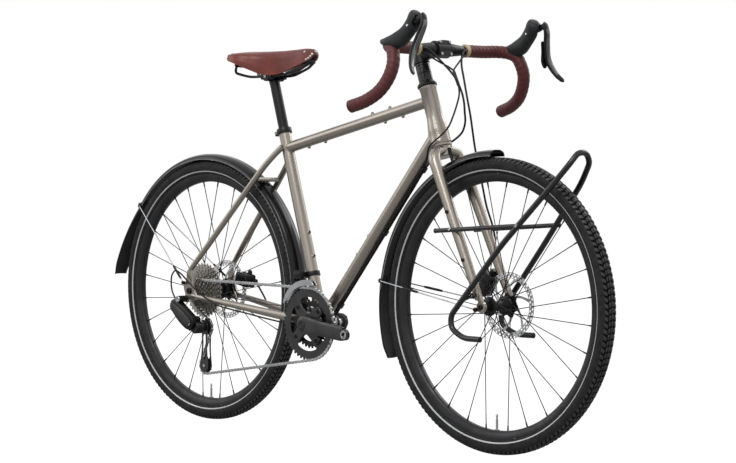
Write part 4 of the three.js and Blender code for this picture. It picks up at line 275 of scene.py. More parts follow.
def swept(path: Array, sections: Array, up: Array = UP, closed: bool = False, capped: bool = True) -> Shell:
    """A section carried along a path: point = path + a * first + b * second direction.

    Args:
        path: Points of the path, shape (n, 3).
        sections: Section corners (a, b), shape (m, 2) or one per point, (n, m, 2).
        up: Rough start of the first direction.
        closed: Whether the path is a loop.
        capped: Whether the open ends are closed.

    Returns:
        The surface.
    """
    first, second = carried(path, up, closed)
    sections = np.broadcast_to(sections, (len(path),) + np.shape(sections)[-2:])
    places = (path[:, None] + sections[..., :1] * first[:, None] + sections[..., 1:] * second[:, None])
    return grid(places, closed=closed, capped=capped and not closed)


def circle(sides: int, start: float = 0.0) -> Array:
    """Corners of a unit circle: (cos, sin) of even steps."""
    angle = start + np.linspace(0, 2 * np.pi, sides, endpoint=False)
    return np.stack([np.cos(angle), np.sin(angle)], 1)


def rounded_square(sides: int, power: float = 4.0) -> Array:
    """Corners of a unit superellipse |a|^n + |b|^n = 1, from the circle's signs and powers."""
    c = circle(sides)
    return np.sign(c) * np.abs(c) ** (2 / power)


def tube(path: Array, radius: float | Array, sides: int = 14, up: Array = UP, closed: bool = False) -> Shell:
    """A round tube along a path, with a radius that may change from point to point."""
    radii = np.broadcast_to(np.asarray(radius, float), len(path))
    return swept(path, radii[:, None, None] * circle(sides), up, closed)


def limb(path: Array, half: Array, sides: int, power: float = 2.0, up: Array = LEFT) -> Shell:
    """A solid limb along a path: superellipses |a|^n + |b|^n = 1, ovals at two, times its half sizes."""
    return swept(path, rounded_square(sides, power)[None] * half[:, None], up)


def turned(profile: Sequence[Sequence[float]], origin: Array, axis: Array, segments: int = 48,
           ring: bool = False) -> Shell:
    """A profile of (radius, height) pairs turned about an axis.

    Args:
        profile: The pairs, in order.
        origin: Where height is zero.
        axis: Direction of the height.
        segments: Steps round the axis.
        ring: Whether the profile is a closed loop, as for a part with a bore.

    Returns:
        The surface; an open profile is closed by flat ends.
    """
    pairs = np.asarray(profile, float)
    axis = unit(np.asarray(axis, float))
    side = unit(np.cross(axis, FORWARD if abs(axis[0]) < 0.9 else UP))
    other = np.cross(axis, side)
    around = circle(segments)
    spokes = around[:, :1] * side + around[:, 1:] * other
    places = origin + pairs[:, None, 1:] * axis + pairs[:, None, :1] * spokes[None]
    return grid(places, closed=ring, capped=not ring)


def rows_at(loops: Sequence[tuple[Array, float]]) -> Array:
    """Rows of points from outlines in the x-z plane, each at its own y."""
    return np.stack([np.column_stack([o[:, 0], np.full(len(o), y), o[:, 1]]) for o, y in loops])


def slab(outline: Array, low: float, high: float, bevel: float = 0.5) -> Shell:
    """A flat plate in the x-z plane from one y to another, with bevelled edges.

    The rim is four loops: the outline drawn in by the bevel at both faces and whole between.

    Args:
        outline: Corners (x, z) in order.
        low: The lower y.
        high: The higher y.
        bevel: Size of the bevel.

    Returns:
        The plate.
    """
    edge = unit(np.roll(outline, -1, 0) - np.roll(outline, 1, 0))
    area = np.sum(outline[:, 0] * np.roll(outline[:, 1], -1) - np.roll(outline[:, 0], -1) * outline[:, 1])
    inward = np.stack([-edge[:, 1], edge[:, 0]], 1) * (1 if area > 0 else -1)
    drawn = outline + inward * bevel
    loops = [(drawn, low), (outline, low + bevel), (outline, high - bevel), (drawn, high)]
    return grid(rows_at(loops), capped=True)


def band(outer: Array, inner: Array, low: float, high: float, bevel: float = 0.4) -> Shell:
    """A flat ring between two outlines with the same number of corners, as eight closed rows."""
    mean = outer.mean(0)
    drawn = outer - unit(outer - mean) * bevel
    widened = inner + unit(inner - mean) * bevel
    loops = [(drawn, low), (outer, low + bevel), (outer, high - bevel), (drawn, high),
             (widened, high), (inner, high - bevel), (inner, low + bevel), (widened, low)]
    return grid(rows_at(loops), closed=True)


def box_shell(centre: Array, size: Sequence[float], turn: Array | None = None, power: float = 4.0) -> Shell:
    """A block with softened edges: superellipse sections that shrink near both ends."""
    shares = np.array([[-1, 0.9], [-0.94, 0.985], [-0.8, 1], [0.8, 1], [0.94, 0.985], [1, 0.9]])
    half = np.asarray(size, float) / 2
    outline = rounded_square(24, power) * half[1:]
    rows = [np.column_stack([np.full(len(outline), a * half[0]), outline * s]) for a, s in shares]
    return grid(np.stack(rows), capped=True).moved(centre, turn)


# The layout's origin in the frame, found from the tyres' rear edges in metres.
ROW_SHIFT = (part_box("front_tyre")[0].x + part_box("rear_tyre")[0].x) / 2 + TYRE_RADIUS * METRES_PER_MM
MERGE_METRES = 2e-5
FLAT_ANGLE = math.radians(1.0)


def in_frame(points: Array) -> Array:
    """Places in mm as places of the frame in metres."""
    return points * METRES_PER_MM + [ROW_SHIFT, 0, 0]


def mesh_of(name: str, shell: Shell) -> bpy.types.Mesh:
    """A surface as a mesh in the frame."""
    mesh = bpy.data.meshes.new(name)
    mesh.from_pydata(in_frame(shell.points).tolist(), [], shell.quads.tolist() + shell.caps)
    return mesh


def linked(name: str, data: Any) -> bpy.types.Object:
    """A new object in the scene."""
    item = bpy.data.objects.new(name, data)
    bpy.context.scene.collection.objects.link(item)
    return item


def applied(piece: bpy.types.Object) -> bpy.types.Mesh:
    """The piece's mesh with its modifiers in it; the piece loses them."""
    depsgraph = bpy.context.evaluated_depsgraph_get()
    mesh = bpy.data.meshes.new_from_object(piece.evaluated_get(depsgraph))
    piece.modifiers.clear()
    return mesh


def smoothed(mesh: bpy.types.Mesh, crease: float) -> None:
    """Smooth faces, with edges sharper than the crease angle in degrees kept sharp."""
    mesh.polygons.foreach_set("use_smooth", np.ones(len(mesh.polygons), bool))
    mesh.set_sharp_from_angle(angle=math.radians(crease))


def enrolled(piece: bpy.types.Object, body: str, replaces: Iterable[str]) -> bpy.types.Object:
    """The piece once it rides on its body and stands for its CAD nodes."""
    if body:
        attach(piece, body)
    if replaces:
        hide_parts(*replaces)
    log.info("piece %s: %d faces on %s", piece.name, len(piece.data.polygons), body or "two bodies")
    return piece


def make(name: str, shell: Shell, finish: "Finish", body: str, replaces: Iterable[str] = (),
         crease: float = 32.0) -> bpy.types.Object:
    """Makes a piece of the object from a surface.

    Args:
        name: The piece's name.
        shell: Its surface in mm.
        finish: Its material.
        body: The body it rides on; empty for a piece that runs between two and rides on none.
        replaces: CAD nodes it stands for.
        crease: Edges sharper than this angle in degrees stay sharp.

    Returns:
        The object, at the origin with its place in its mesh.
    """
    mesh = mesh_of(name, shell)
    layer = mesh.uv_layers.new(name="surface")
    values = np.zeros((len(mesh.loops), 2))
    values[: shell.quads.size] = shell.uv.reshape(-1, 2) * METRES_PER_MM
    layer.data.foreach_set("uv", values.ravel())
    mesh.validate()
    smoothed(mesh, crease)
    mesh.materials.append(finish.material())
    return enrolled(linked(name, mesh), body, replaces)


def refined(node: str, finish: "Finish", body: str, bevel: float = 0.35, crease: float = 30.0) -> bpy.types.Object:
    """A copy of a CAD node with merged corners, soft edges and smooth round faces.

    Args:
        node: The CAD node, which the copy replaces.
        finish: Its material.
        body: The body it rides on.
        bevel: Width of the softened edges in mm.
        crease: Edges sharper than this angle in degrees are bevelled.

    Returns:
        The copy.
    """
    piece = linked(node + "_finished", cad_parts[node].data.copy())
    piece.data.materials.clear()
    piece.data.materials.append(finish.material())
    merge = piece.modifiers.new("merge", "WELD")
    merge.merge_threshold = MERGE_METRES
    flatten = piece.modifiers.new("flatten", "DECIMATE")
    flatten.decimate_type, flatten.angle_limit = "DISSOLVE", FLAT_ANGLE
    soften = piece.modifiers.new("soften", "BEVEL")
    soften.width, soften.segments, soften.harden_normals = bevel * METRES_PER_MM, 2, False
    soften.limit_method, soften.angle_limit = "ANGLE", math.radians(crease)
    piece.data = applied(piece)
    smoothed(piece.data, crease)
    return enrolled(piece, body, [node])


MM_PER_METRE = 1000.0
TONE_RANGE = (0.3, 0.7)
COAT_ROUGHNESS = 0.12


def linear(code: str) -> tuple[float, float, float, float]:
    """An sRGB hex colour as linear light, by the sRGB curve."""
    values = np.array([int(code[i:i + 2], 16) for i in (1, 3, 5)]) / 255
    light = np.where(values <= 0.04045, values / 12.92, ((values + 0.055) / 1.055) ** 2.4)
    return (*light.tolist(), 1.0)


def add_node(tree: bpy.types.NodeTree, kind: str, inputs: dict[Any, Any] | None = None,
             **settings: Any) -> bpy.types.Node:
    """Adds a node with its settings, and its inputs as values or as links from other sockets."""
    node = tree.nodes.new(kind)
    for name, value in settings.items():
        setattr(node, name, value)
    for socket, value in (inputs or {}).items():
        if isinstance(value, bpy.types.NodeSocket):
            tree.links.new(value, node.inputs[socket])
        else:
            node.inputs[socket].default_value = value
    return node


def remap(tree: bpy.types.NodeTree, value: Any, source: tuple[float, float], target: tuple[float, float]) -> Any:
    """A value moved from one range to another, and kept inside it."""
    return add_node(tree, "ShaderNodeMapRange", {
        "Value": value, "From Min": source[0], "From Max": source[1],
        "To Min": target[0], "To Max": target[1]}).outputs["Result"]


class Grain(Enum):
    """How a surface was made, which gives its fine relief."""

    FLAKE = "sprayed paint with metal flake"
    BLASTED = "bead-blasted and anodised"
    BRUSHED = "brushed or turned metal"
    MOULDED = "moulded plastic or rubber"
    HIDE = "tanned leather"
    PUNCHED = "punched and stitched leather tape"
    CASING = "rubber over a woven casing"


@dataclass(frozen=True)
class Finish:
    """A procedural finish.

    Args:
        name: The finish in a maker's words.
        slot: The record's material slot; not used.
        light: Colour of its lighter parts, sRGB hex.
        dark: Colour of its darker parts, sRGB hex.
        grain: Kind of relief.
        roughness: Middle roughness.
        spread: How far the roughness strays.
        metallic: Share of metal.
        ior: Index of refraction of what is not metal.
        coat: Weight of a clear coat.
        grain_mm: Size of the relief's grain.
        depth_mm: Depth of the relief.
        blotch_mm: Size of the slow changes of colour.
        stretch: Shares of the grain's scale along x, y and z.
        sheen: Weight of the fibre sheen.
        tone_share: How much of the way to the dark colour the slow changes go.
        gloss: Specular level, half for a common smooth surface.
    """

    name: str
    slot: str
    light: str
    dark: str
    grain: Grain
    roughness: float
    spread: float = 0.08
    metallic: float = 0.0
    ior: float = 1.5
    coat: float = 0.0
    grain_mm: float = 1.0
    depth_mm: float = 0.02
    blotch_mm: float = 40.0
    stretch: tuple[float, float, float] = (1.0, 1.0, 1.0)
    sheen: float = 0.0
    tone_share: float = 1.0
    gloss: float = 0.5

    def material(self) -> bpy.types.Material:
        """The finish's material, made once."""
        return bpy.data.materials.get(self.name) or self._made()

    def _made(self) -> bpy.types.Material:
        """Builds the nodes: slow tone, relief, then the shader with its own even values."""
        material = bpy.data.materials.new(self.name)
        material.use_nodes = True
        material.diffuse_color = linear(self.light)
        tree = material.node_tree
        shader = tree.nodes["Principled BSDF"]
        place = add_node(tree, "ShaderNodeTexCoord").outputs["Object"]
        tone = add_node(tree, "ShaderNodeTexNoise", {
            "Vector": place, "Scale": MM_PER_METRE / self.blotch_mm, "Detail": 3.0, "Roughness": 0.6}).outputs["Fac"]
        colour, height = self._relief(tree, place, remap(tree, tone, TONE_RANGE, (0.0, self.tone_share)))
        rough = remap(tree, tone, TONE_RANGE, (self.roughness - self.spread, self.roughness + self.spread))
        bump = add_node(tree, "ShaderNodeBump", {
            "Height": height, "Strength": 1.0, "Distance": self.depth_mm * METRES_PER_MM}).outputs["Normal"]
        for socket, value in (("Base Color", colour), ("Roughness", rough), ("Normal", bump)):
            tree.links.new(value, shader.inputs[socket])
        for socket, value in (("Metallic", self.metallic), ("IOR", self.ior), ("Specular IOR Level", self.gloss),
                              ("Coat Weight", self.coat), ("Coat Roughness", COAT_ROUGHNESS),
                              ("Sheen Weight", self.sheen)):
            shader.inputs[socket].default_value = value
        return material

    def _blend(self, tree: bpy.types.NodeTree, factor: Any, first: Any, second: Any) -> Any:
        """Two colours, given as hex or as sockets, mixed by a factor."""
        colours = [linear(c) if isinstance(c, str) else c for c in (first, second)]
        return add_node(tree, "ShaderNodeMix", {0: factor, 6: colours[0], 7: colours[1]},
                        data_type="RGBA").outputs[2]

    def _relief(self, tree: bpy.types.NodeTree, place: Any, tone: Any) -> tuple[Any, Any]:
        """The colour and height of the finish's own grain.

        Args:
            tree: The material's nodes.
            place: Object coordinates.
            tone: Slow tone from 0 to 1.

        Returns:
            The colour socket and the height socket.
        """
        scaled = add_node(tree, "ShaderNodeMapping", {"Vector": place, "Scale": self.stretch}).outputs["Vector"]
        grain = {"Vector": scaled, "Scale": MM_PER_METRE / self.grain_mm}
        base = self._blend(tree, tone, self.light, self.dark)
        if self.grain is Grain.FLAKE:
            flake = add_node(tree, "ShaderNodeTexVoronoi", grain)
            spark = remap(tree, flake.outputs["Color"], (0.75, 1.0), (0.0, 0.35))
            return self._blend(tree, spark, base, self.light), flake.outputs["Distance"]
        if self.grain is Grain.HIDE:
            pebble = add_node(tree, "ShaderNodeTexVoronoi", {**grain, "Smoothness": 0.6}, feature="SMOOTH_F1")
            crease = remap(tree, pebble.outputs["Distance"], (0.35, 0.75), (0.0, 0.5))
            return self._blend(tree, crease, base, self.dark), pebble.outputs["Distance"]
        if self.grain is Grain.PUNCHED:
            return self._punched(tree, base)
        detail = 2.0 if self.grain in (Grain.MOULDED, Grain.CASING) else 4.0
        noise = add_node(tree, "ShaderNodeTexNoise", {**grain, "Detail": detail})
        fine = remap(tree, noise.outputs["Fac"], (0.35, 0.65), (0.0, 0.3))
        return self._blend(tree, fine, base, self.dark), noise.outputs["Fac"]

    def _punched(self, tree: bpy.types.NodeTree, base: Any) -> tuple[Any, Any]:
        """Rows of punched holes in the surface's own coordinates: dark dots on an even lattice."""
        surface = add_node(tree, "ShaderNodeUVMap", uv_map="surface").outputs["UV"]
        dots = add_node(tree, "ShaderNodeTexVoronoi", {
            "Vector": surface, "Scale": MM_PER_METRE / self.grain_mm, "Randomness": 0.0}, voronoi_dimensions="2D")
        hole = remap(tree, dots.outputs["Distance"], (0.16, 0.26), (1.0, 0.0))
        solid = add_node(tree, "ShaderNodeMath", {0: 1.0, 1: hole}, operation="SUBTRACT").outputs[0]
        return self._blend(tree, hole, base, self.dark), solid


# Metallic champagne paint, sprayed over steel: fine flake that sparkles under a clear coat.
PAINT = Finish("champagne_flake_paint", "paint", "#979087", "#857D74", Grain.FLAKE, 0.31, 0.02, 0.85, coat=0.4,
               grain_mm=1.2, depth_mm=0.002, blotch_mm=220, tone_share=0.2)
# Black anodised aluminium, bead-blasted: an even satin sheen with fine pores.
BLACK_ALLOY = Finish("black_anodised_aluminium", "black_alloy", "#1D1D1E", "#101011", Grain.BLASTED, 0.36, 0.05,
                     0.3, gloss=0.35, grain_mm=1.4, depth_mm=0.01)
# Glossy black paint on spacers and rack tubes: smooth, with sharp highlights.
BLACK_GLOSS = Finish("black_powder_coat", "black_alloy", "#161617", "#0D0D0E", Grain.MOULDED, 0.28, 0.06, 0.0,
                     coat=0.1, gloss=0.45, grain_mm=2.2, depth_mm=0.02)
# Dark grey anodised forgings of the crank and levers.
GREY_ALLOY = Finish("grey_anodised_forging", "grey_alloy", "#4B4B4C", "#343435", Grain.BLASTED, 0.34, 0.06, 0.6,
                    gloss=0.4, grain_mm=1.2, depth_mm=0.01)
# Bare stamped and ground stainless steel of rotors, chain, wires and screws.
STEEL = Finish("ground_stainless_steel", "steel", "#C9CBCE", "#9FA1A4", Grain.BRUSHED, 0.26, 0.06, 0.95,
               grain_mm=1.5, depth_mm=0.008, stretch=(1.0, 1.0, 0.15))
# Nickel-plated sprockets with oil in their corners.
SPROCKET_STEEL = Finish("nickel_plated_steel", "dark_steel", "#C6C3BD", "#8A8781", Grain.BRUSHED, 0.34, 0.08, 0.9,
                        grain_mm=2.0, depth_mm=0.01, blotch_mm=9)
# Black chromed saddle rails.
RAIL_STEEL = Finish("dark_chromed_steel", "dark_steel", "#2B2B2C", "#19191A", Grain.BRUSHED, 0.28, 0.05, 0.6,
                    gloss=0.4, grain_mm=2.0, depth_mm=0.006)
# Polycarbonate mudguards: a smooth black skin with a soft mirror.
GUARD_PLASTIC = Finish("black_polycarbonate", "black_plastic", "#0D0D0E", "#080809", Grain.MOULDED, 0.14, 0.05,
                       0.0, ior=1.58, gloss=0.22, grain_mm=3.0, depth_mm=0.015)
# The guard's rolled edge in pale grey: a painted highlight, a thin line of light along both sides.
GUARD_EDGE_HIGHLIGHT = Finish("guard_edge_painted_highlight", "black_plastic", "#8C8D8F", "#6E6F71", Grain.MOULDED, 0.22, 0.05,
                     0.0, ior=1.58, gloss=0.3, grain_mm=3.0, depth_mm=0.01)
# Matt moulded nylon of pulleys, guides, caps and hose jackets.
NYLON = Finish("moulded_nylon", "black_plastic", "#19191A", "#0F0F10", Grain.MOULDED, 0.5, gloss=0.3, grain_mm=1.2)
# Moulded hood rubber, with a fine matt grain.
HOOD_RUBBER = Finish("moulded_hood_rubber", "hood_rubber", "#2E2F31", "#1F2021", Grain.MOULDED, 0.5, 0.06,
                     gloss=0.25, grain_mm=1.4, depth_mm=0.05)
# Tyre rubber of the walls; the tread's paler tops and near-black grooves are painted light and painted shade, in the
# two finishes below.
TYRE_RUBBER = Finish("tyre_rubber", "tyre", "#2B2B2B", "#1A1A1A", Grain.CASING, 0.7, 0.06, gloss=0.2, grain_mm=1.8,
                     depth_mm=0.05, blotch_mm=14)
# The pale grey band of glass beads round the tyre wall.
REFLECTIVE = Finish("reflective_band", "tyre", "#CFD0D1", "#B4B6B8", Grain.MOULDED, 0.45, 0.05, 0.2,
                    grain_mm=0.9, depth_mm=0.01)
# Vegetable-tanned saddle hide, waxed to a warm red brown, darker in its creases.
LEATHER = Finish("red_brown_saddle_leather", "leather", "#86362C", "#55201A", Grain.HIDE, 0.4, 0.06,
                 gloss=0.4, coat=0.08, grain_mm=2.2, depth_mm=0.03, blotch_mm=55, sheen=0.03)
# Leather bar tape, dark red brown, punched in rows.
TAPE = Finish("punched_bar_tape", "tape", "#5E292A", "#3C1719", Grain.PUNCHED, 0.5, 0.06, gloss=0.35, grain_mm=3.4,
              depth_mm=0.12, blotch_mm=30, tone_share=0.35)
# Pale beige finishing tape at the inner ends of the wraps.
FINISHING_TAPE = Finish("beige_finishing_tape", "tape", "#D8C3A0", "#BFA882", Grain.MOULDED, 0.6, 0.05,
                        grain_mm=1.5, depth_mm=0.03)
# Dark grey anodised rims.
RIM_ALLOY = Finish("dark_anodised_rim", "black_alloy", "#333335", "#202022", Grain.BLASTED, 0.36, 0.05, 0.4,
                   gloss=0.35, grain_mm=1.4, depth_mm=0.008)
# Bright plated saddle rivets, small pale dots on the hide.
RIVET_STEEL = Finish("plated_rivets", "steel", "#C4BFB8", "#8F8A84", Grain.BRUSHED, 0.3, 0.05, 0.9,
                     grain_mm=1.0, depth_mm=0.01)
# Black spokes, drawn stainless wire under a black finish.
SPOKE_BLACK = Finish("blackened_spoke_wire", "dark_steel", "#1A1A1B", "#101011", Grain.BRUSHED, 0.4, 0.05, 0.3,
                     gloss=0.3, grain_mm=1.0, depth_mm=0.004)
# The tread's block tops, painted paler than the walls as painted light, and the groove floors, painted near black as
# painted shade.
TREAD_TOPS_PAINTED_LIGHT = Finish("tyre_tread_tops_painted_light", "tyre", "#3C3C3B", "#262626", Grain.MOULDED, 0.5, gloss=0.4, grain_mm=2.0,
                    depth_mm=0.04)
GROOVE_PAINTED_SHADE = Finish("tyre_groove_painted_shade", "tyre", "#0B0B0B", "#070707", Grain.MOULDED, 0.8, 0.05, gloss=0.1,
                     grain_mm=2.0)
# A paler grey strip on the front faces of the brake levers: a painted highlight, a pale streak.
LEVER_PAINTED_HIGHLIGHT = Finish("lever_face_painted_highlight", "grey_alloy", "#7C7C7D", "#5C5C5E", Grain.BRUSHED, 0.24, 0.05, 0.85,
                    grain_mm=1.2, depth_mm=0.005)
# Brake rotors, stainless steel ground pale by the pads.
ROTOR_STEEL = Finish("ground_rotor_steel", "steel", "#DADBDC", "#B9BABC", Grain.BRUSHED, 0.34, 0.05, 0.7,
                     grain_mm=1.0, depth_mm=0.005)


@dataclass(frozen=True)
class Layout:
    """The bicycle's driving sizes in mm and degrees, and the points that follow from them."""

    wheelbase: float = 1062
    tyre_radius: float = TYRE_RADIUS
    bracket_drop: float = 70
    chainstay: float = 456
    seat_angle: float = math.radians(73.5)
    head_angle: float = math.radians(71.5)
    rake: float = 52
    head_start: float = 425.5
    head_length: float = 150
    seat_length: float = 528
    top_from_seat: float = 53
    top_from_head: float = 35.5
    down_from_head: float = 31
    stem_start: float = 60.3
    stem_height: float = 42
    stem_length: float = 70
    stem_angle: float = math.radians(-8)
    crank_length: float = 170
    crank_angle: float = math.radians(-6)
    post_head: float = 669
    seatstay_drop: float = 50
    seatstay_foot: float = 58
    bridge_drop: float = 86

    @property
    def front_axle(self) -> Array:
        """Middle of the front wheel."""
        return point(self.wheelbase / 2, 0, self.tyre_radius)

    @property
    def rear_axle(self) -> Array:
        """Middle of the rear wheel."""
        return point(-self.wheelbase / 2, 0, self.tyre_radius)

    @property
    def bracket(self) -> Array:
        """Middle of the bottom bracket."""
        behind = math.sqrt(self.chainstay ** 2 - self.bracket_drop ** 2)
        return point(self.rear_axle[0] + behind, 0, self.tyre_radius - self.bracket_drop)

    @property
    def steer_up(self) -> Array:
        """Direction of the steering axis."""
        return point(-math.cos(self.head_angle), 0, math.sin(self.head_angle))

    @property
    def steer_ahead(self) -> Array:
        """Direction across the steering axis, forward."""
        return point(math.sin(self.head_angle), 0, math.cos(self.head_angle))

    @property
    def seat_up(self) -> Array:
        """Direction of the seat tube."""
        return point(-math.cos(self.seat_angle), 0, math.sin(self.seat_angle))

    @property
    def seat_ahead(self) -> Array:
        """Direction across the seat tube, forward."""
        return point(math.sin(self.seat_angle), 0, math.cos(self.seat_angle))

    def on_steerer(self, distance: float, ahead: float = 0, side: float = 0) -> Array:
        """A point measured along the steering axis from the foot of the rake."""
        foot = self.front_axle - self.steer_ahead * self.rake
        return foot + self.steer_up * distance + self.steer_ahead * ahead + LEFT * side

    def on_seat(self, distance: float, ahead: float = 0, side: float = 0) -> Array:
        """A point measured along the seat tube from the bottom bracket."""
        return self.bracket + self.seat_up * distance + self.seat_ahead * ahead + LEFT * side

    @property
    def bar_centre(self) -> Array:
        """Middle of the handlebar in its clamp."""
        middle = self.head_start + self.head_length + self.stem_start + self.stem_height / 2
        return self.on_steerer(middle + self.stem_length * math.sin(self.stem_angle),
                               self.stem_length * math.cos(self.stem_angle))

    @property
    def post_top(self) -> Array:
        """Top of the seatpost's shaft."""
        return self.on_seat(self.post_head)

    @property
    def hanger(self) -> Array:
        """Where the rear derailleur hangs, in the bicycle's middle plane."""
        return self.rear_axle + point(-14, 0, -22)

    @property
    def seatstay_ends(self) -> tuple[Array, Array]:
        """Top and foot of the seatstays, in the bicycle's middle plane."""
        return self.on_seat(self.seat_length - self.seatstay_drop), self.rear_axle + UP * self.seatstay_foot

    @property
    def bridge(self) -> Array:
        """Middle of the bridge between the seatstays."""
        top, foot = self.seatstay_ends
        return top + (foot - top) * (self.bridge_drop / (top[2] - foot[2]))


LAYOUT = Layout()


def hex_bolt(place: Array, axis: Array, radius: float = 3.4, height: float = 3.0) -> Shell:
    """A socket screw's head: a chamfered drum with a round recess, as one turned profile."""
    return turned([(radius * 0.96, 0), (radius, 0.2), (radius, height - 0.5), (radius * 0.86, height),
                   (radius * 0.55, height), (radius * 0.52, height - 1.4)], place, axis, 24)


def underside(start: Array, end: Array) -> Array:
    """The direction across a run in the x-z plane that points down."""
    along = unit(end - start)
    down = point(along[2], 0, -along[0])
    return down if down[2] < 0 else -down


def box_turn(out: Array) -> Array:
    """The rotation that lays a block's length along a direction, its width to the left."""
    return np.column_stack([out, LEFT, np.cross(out, LEFT)])


def collar(place: Array, axis: Array, bore: float, outer: float, span: tuple[float, float],
           cut: tuple[float, float] = (0.8, 0.8), segments: int = 64) -> Shell:
    """A ring with chamfered outer edges.

    Args:
        place: Where heights are measured from.
        axis: Direction of the heights.
        bore: Radius of the hole.
        outer: Outer radius.
        span: Lowest and highest height.
        cut: The chamfer across and along the axis.
        segments: Steps round the axis.

    Returns:
        The ring.
    """
    low, high = span
    return turned([(bore, low), (outer - cut[0], low), (outer, low + cut[1]), (outer, high - cut[1]),
                   (outer - cut[0], high), (bore, high)], place, axis, segments, ring=True)


def weld_bead(tube_start: Array, tube_end: Array, radius: float, host_start: Array, host_end: Array,
              host_radius: float, bead: float = 2.0, count: int = 96) -> Shell:
    """A ripple of weld where one round tube meets another.

    Each point lies on the first tube's surface, at the distance s along its axis that solves
    |(p - h) x host axis| = host radius, a quadratic in s; the bead's radius ripples with the angle.

    Args:
        tube_start: A point far out on the meeting tube's axis.
        tube_end: The point of that axis inside the host tube.
        radius: Radius of the meeting tube.
        host_start: A point of the host's axis.
        host_end: Another point of the host's axis.
        host_radius: Radius of the host tube.
        bead: Radius of the bead.
        count: Points round the joint.

    Returns:
        The bead as a closed tube.
    """
    along, host = unit(tube_end - tube_start), unit(host_end - host_start)
    side = unit(np.cross(along, LEFT))
    other = np.cross(along, side)
    angle = np.linspace(0, 2 * np.pi, count, endpoint=False)
    start = tube_start + radius * (np.cos(angle)[:, None] * side + np.sin(angle)[:, None] * other)
    offset = start - host_start
    d = along - host * (along @ host)
    m = offset - (offset @ host)[:, None] * host
    a, b, c = d @ d, 2 * m @ d, np.einsum("ij,ij->i", m, m) - host_radius ** 2
    root = np.sqrt(np.maximum(b * b - 4 * a * c, 0))
    path = start + ((-b - root) / (2 * a))[:, None] * along
    ripple = bead * (1 + 0.14 * np.sin(angle * count / 4))
    return tube(path, ripple, 10, unit(path[0] - tube_end), closed=True)


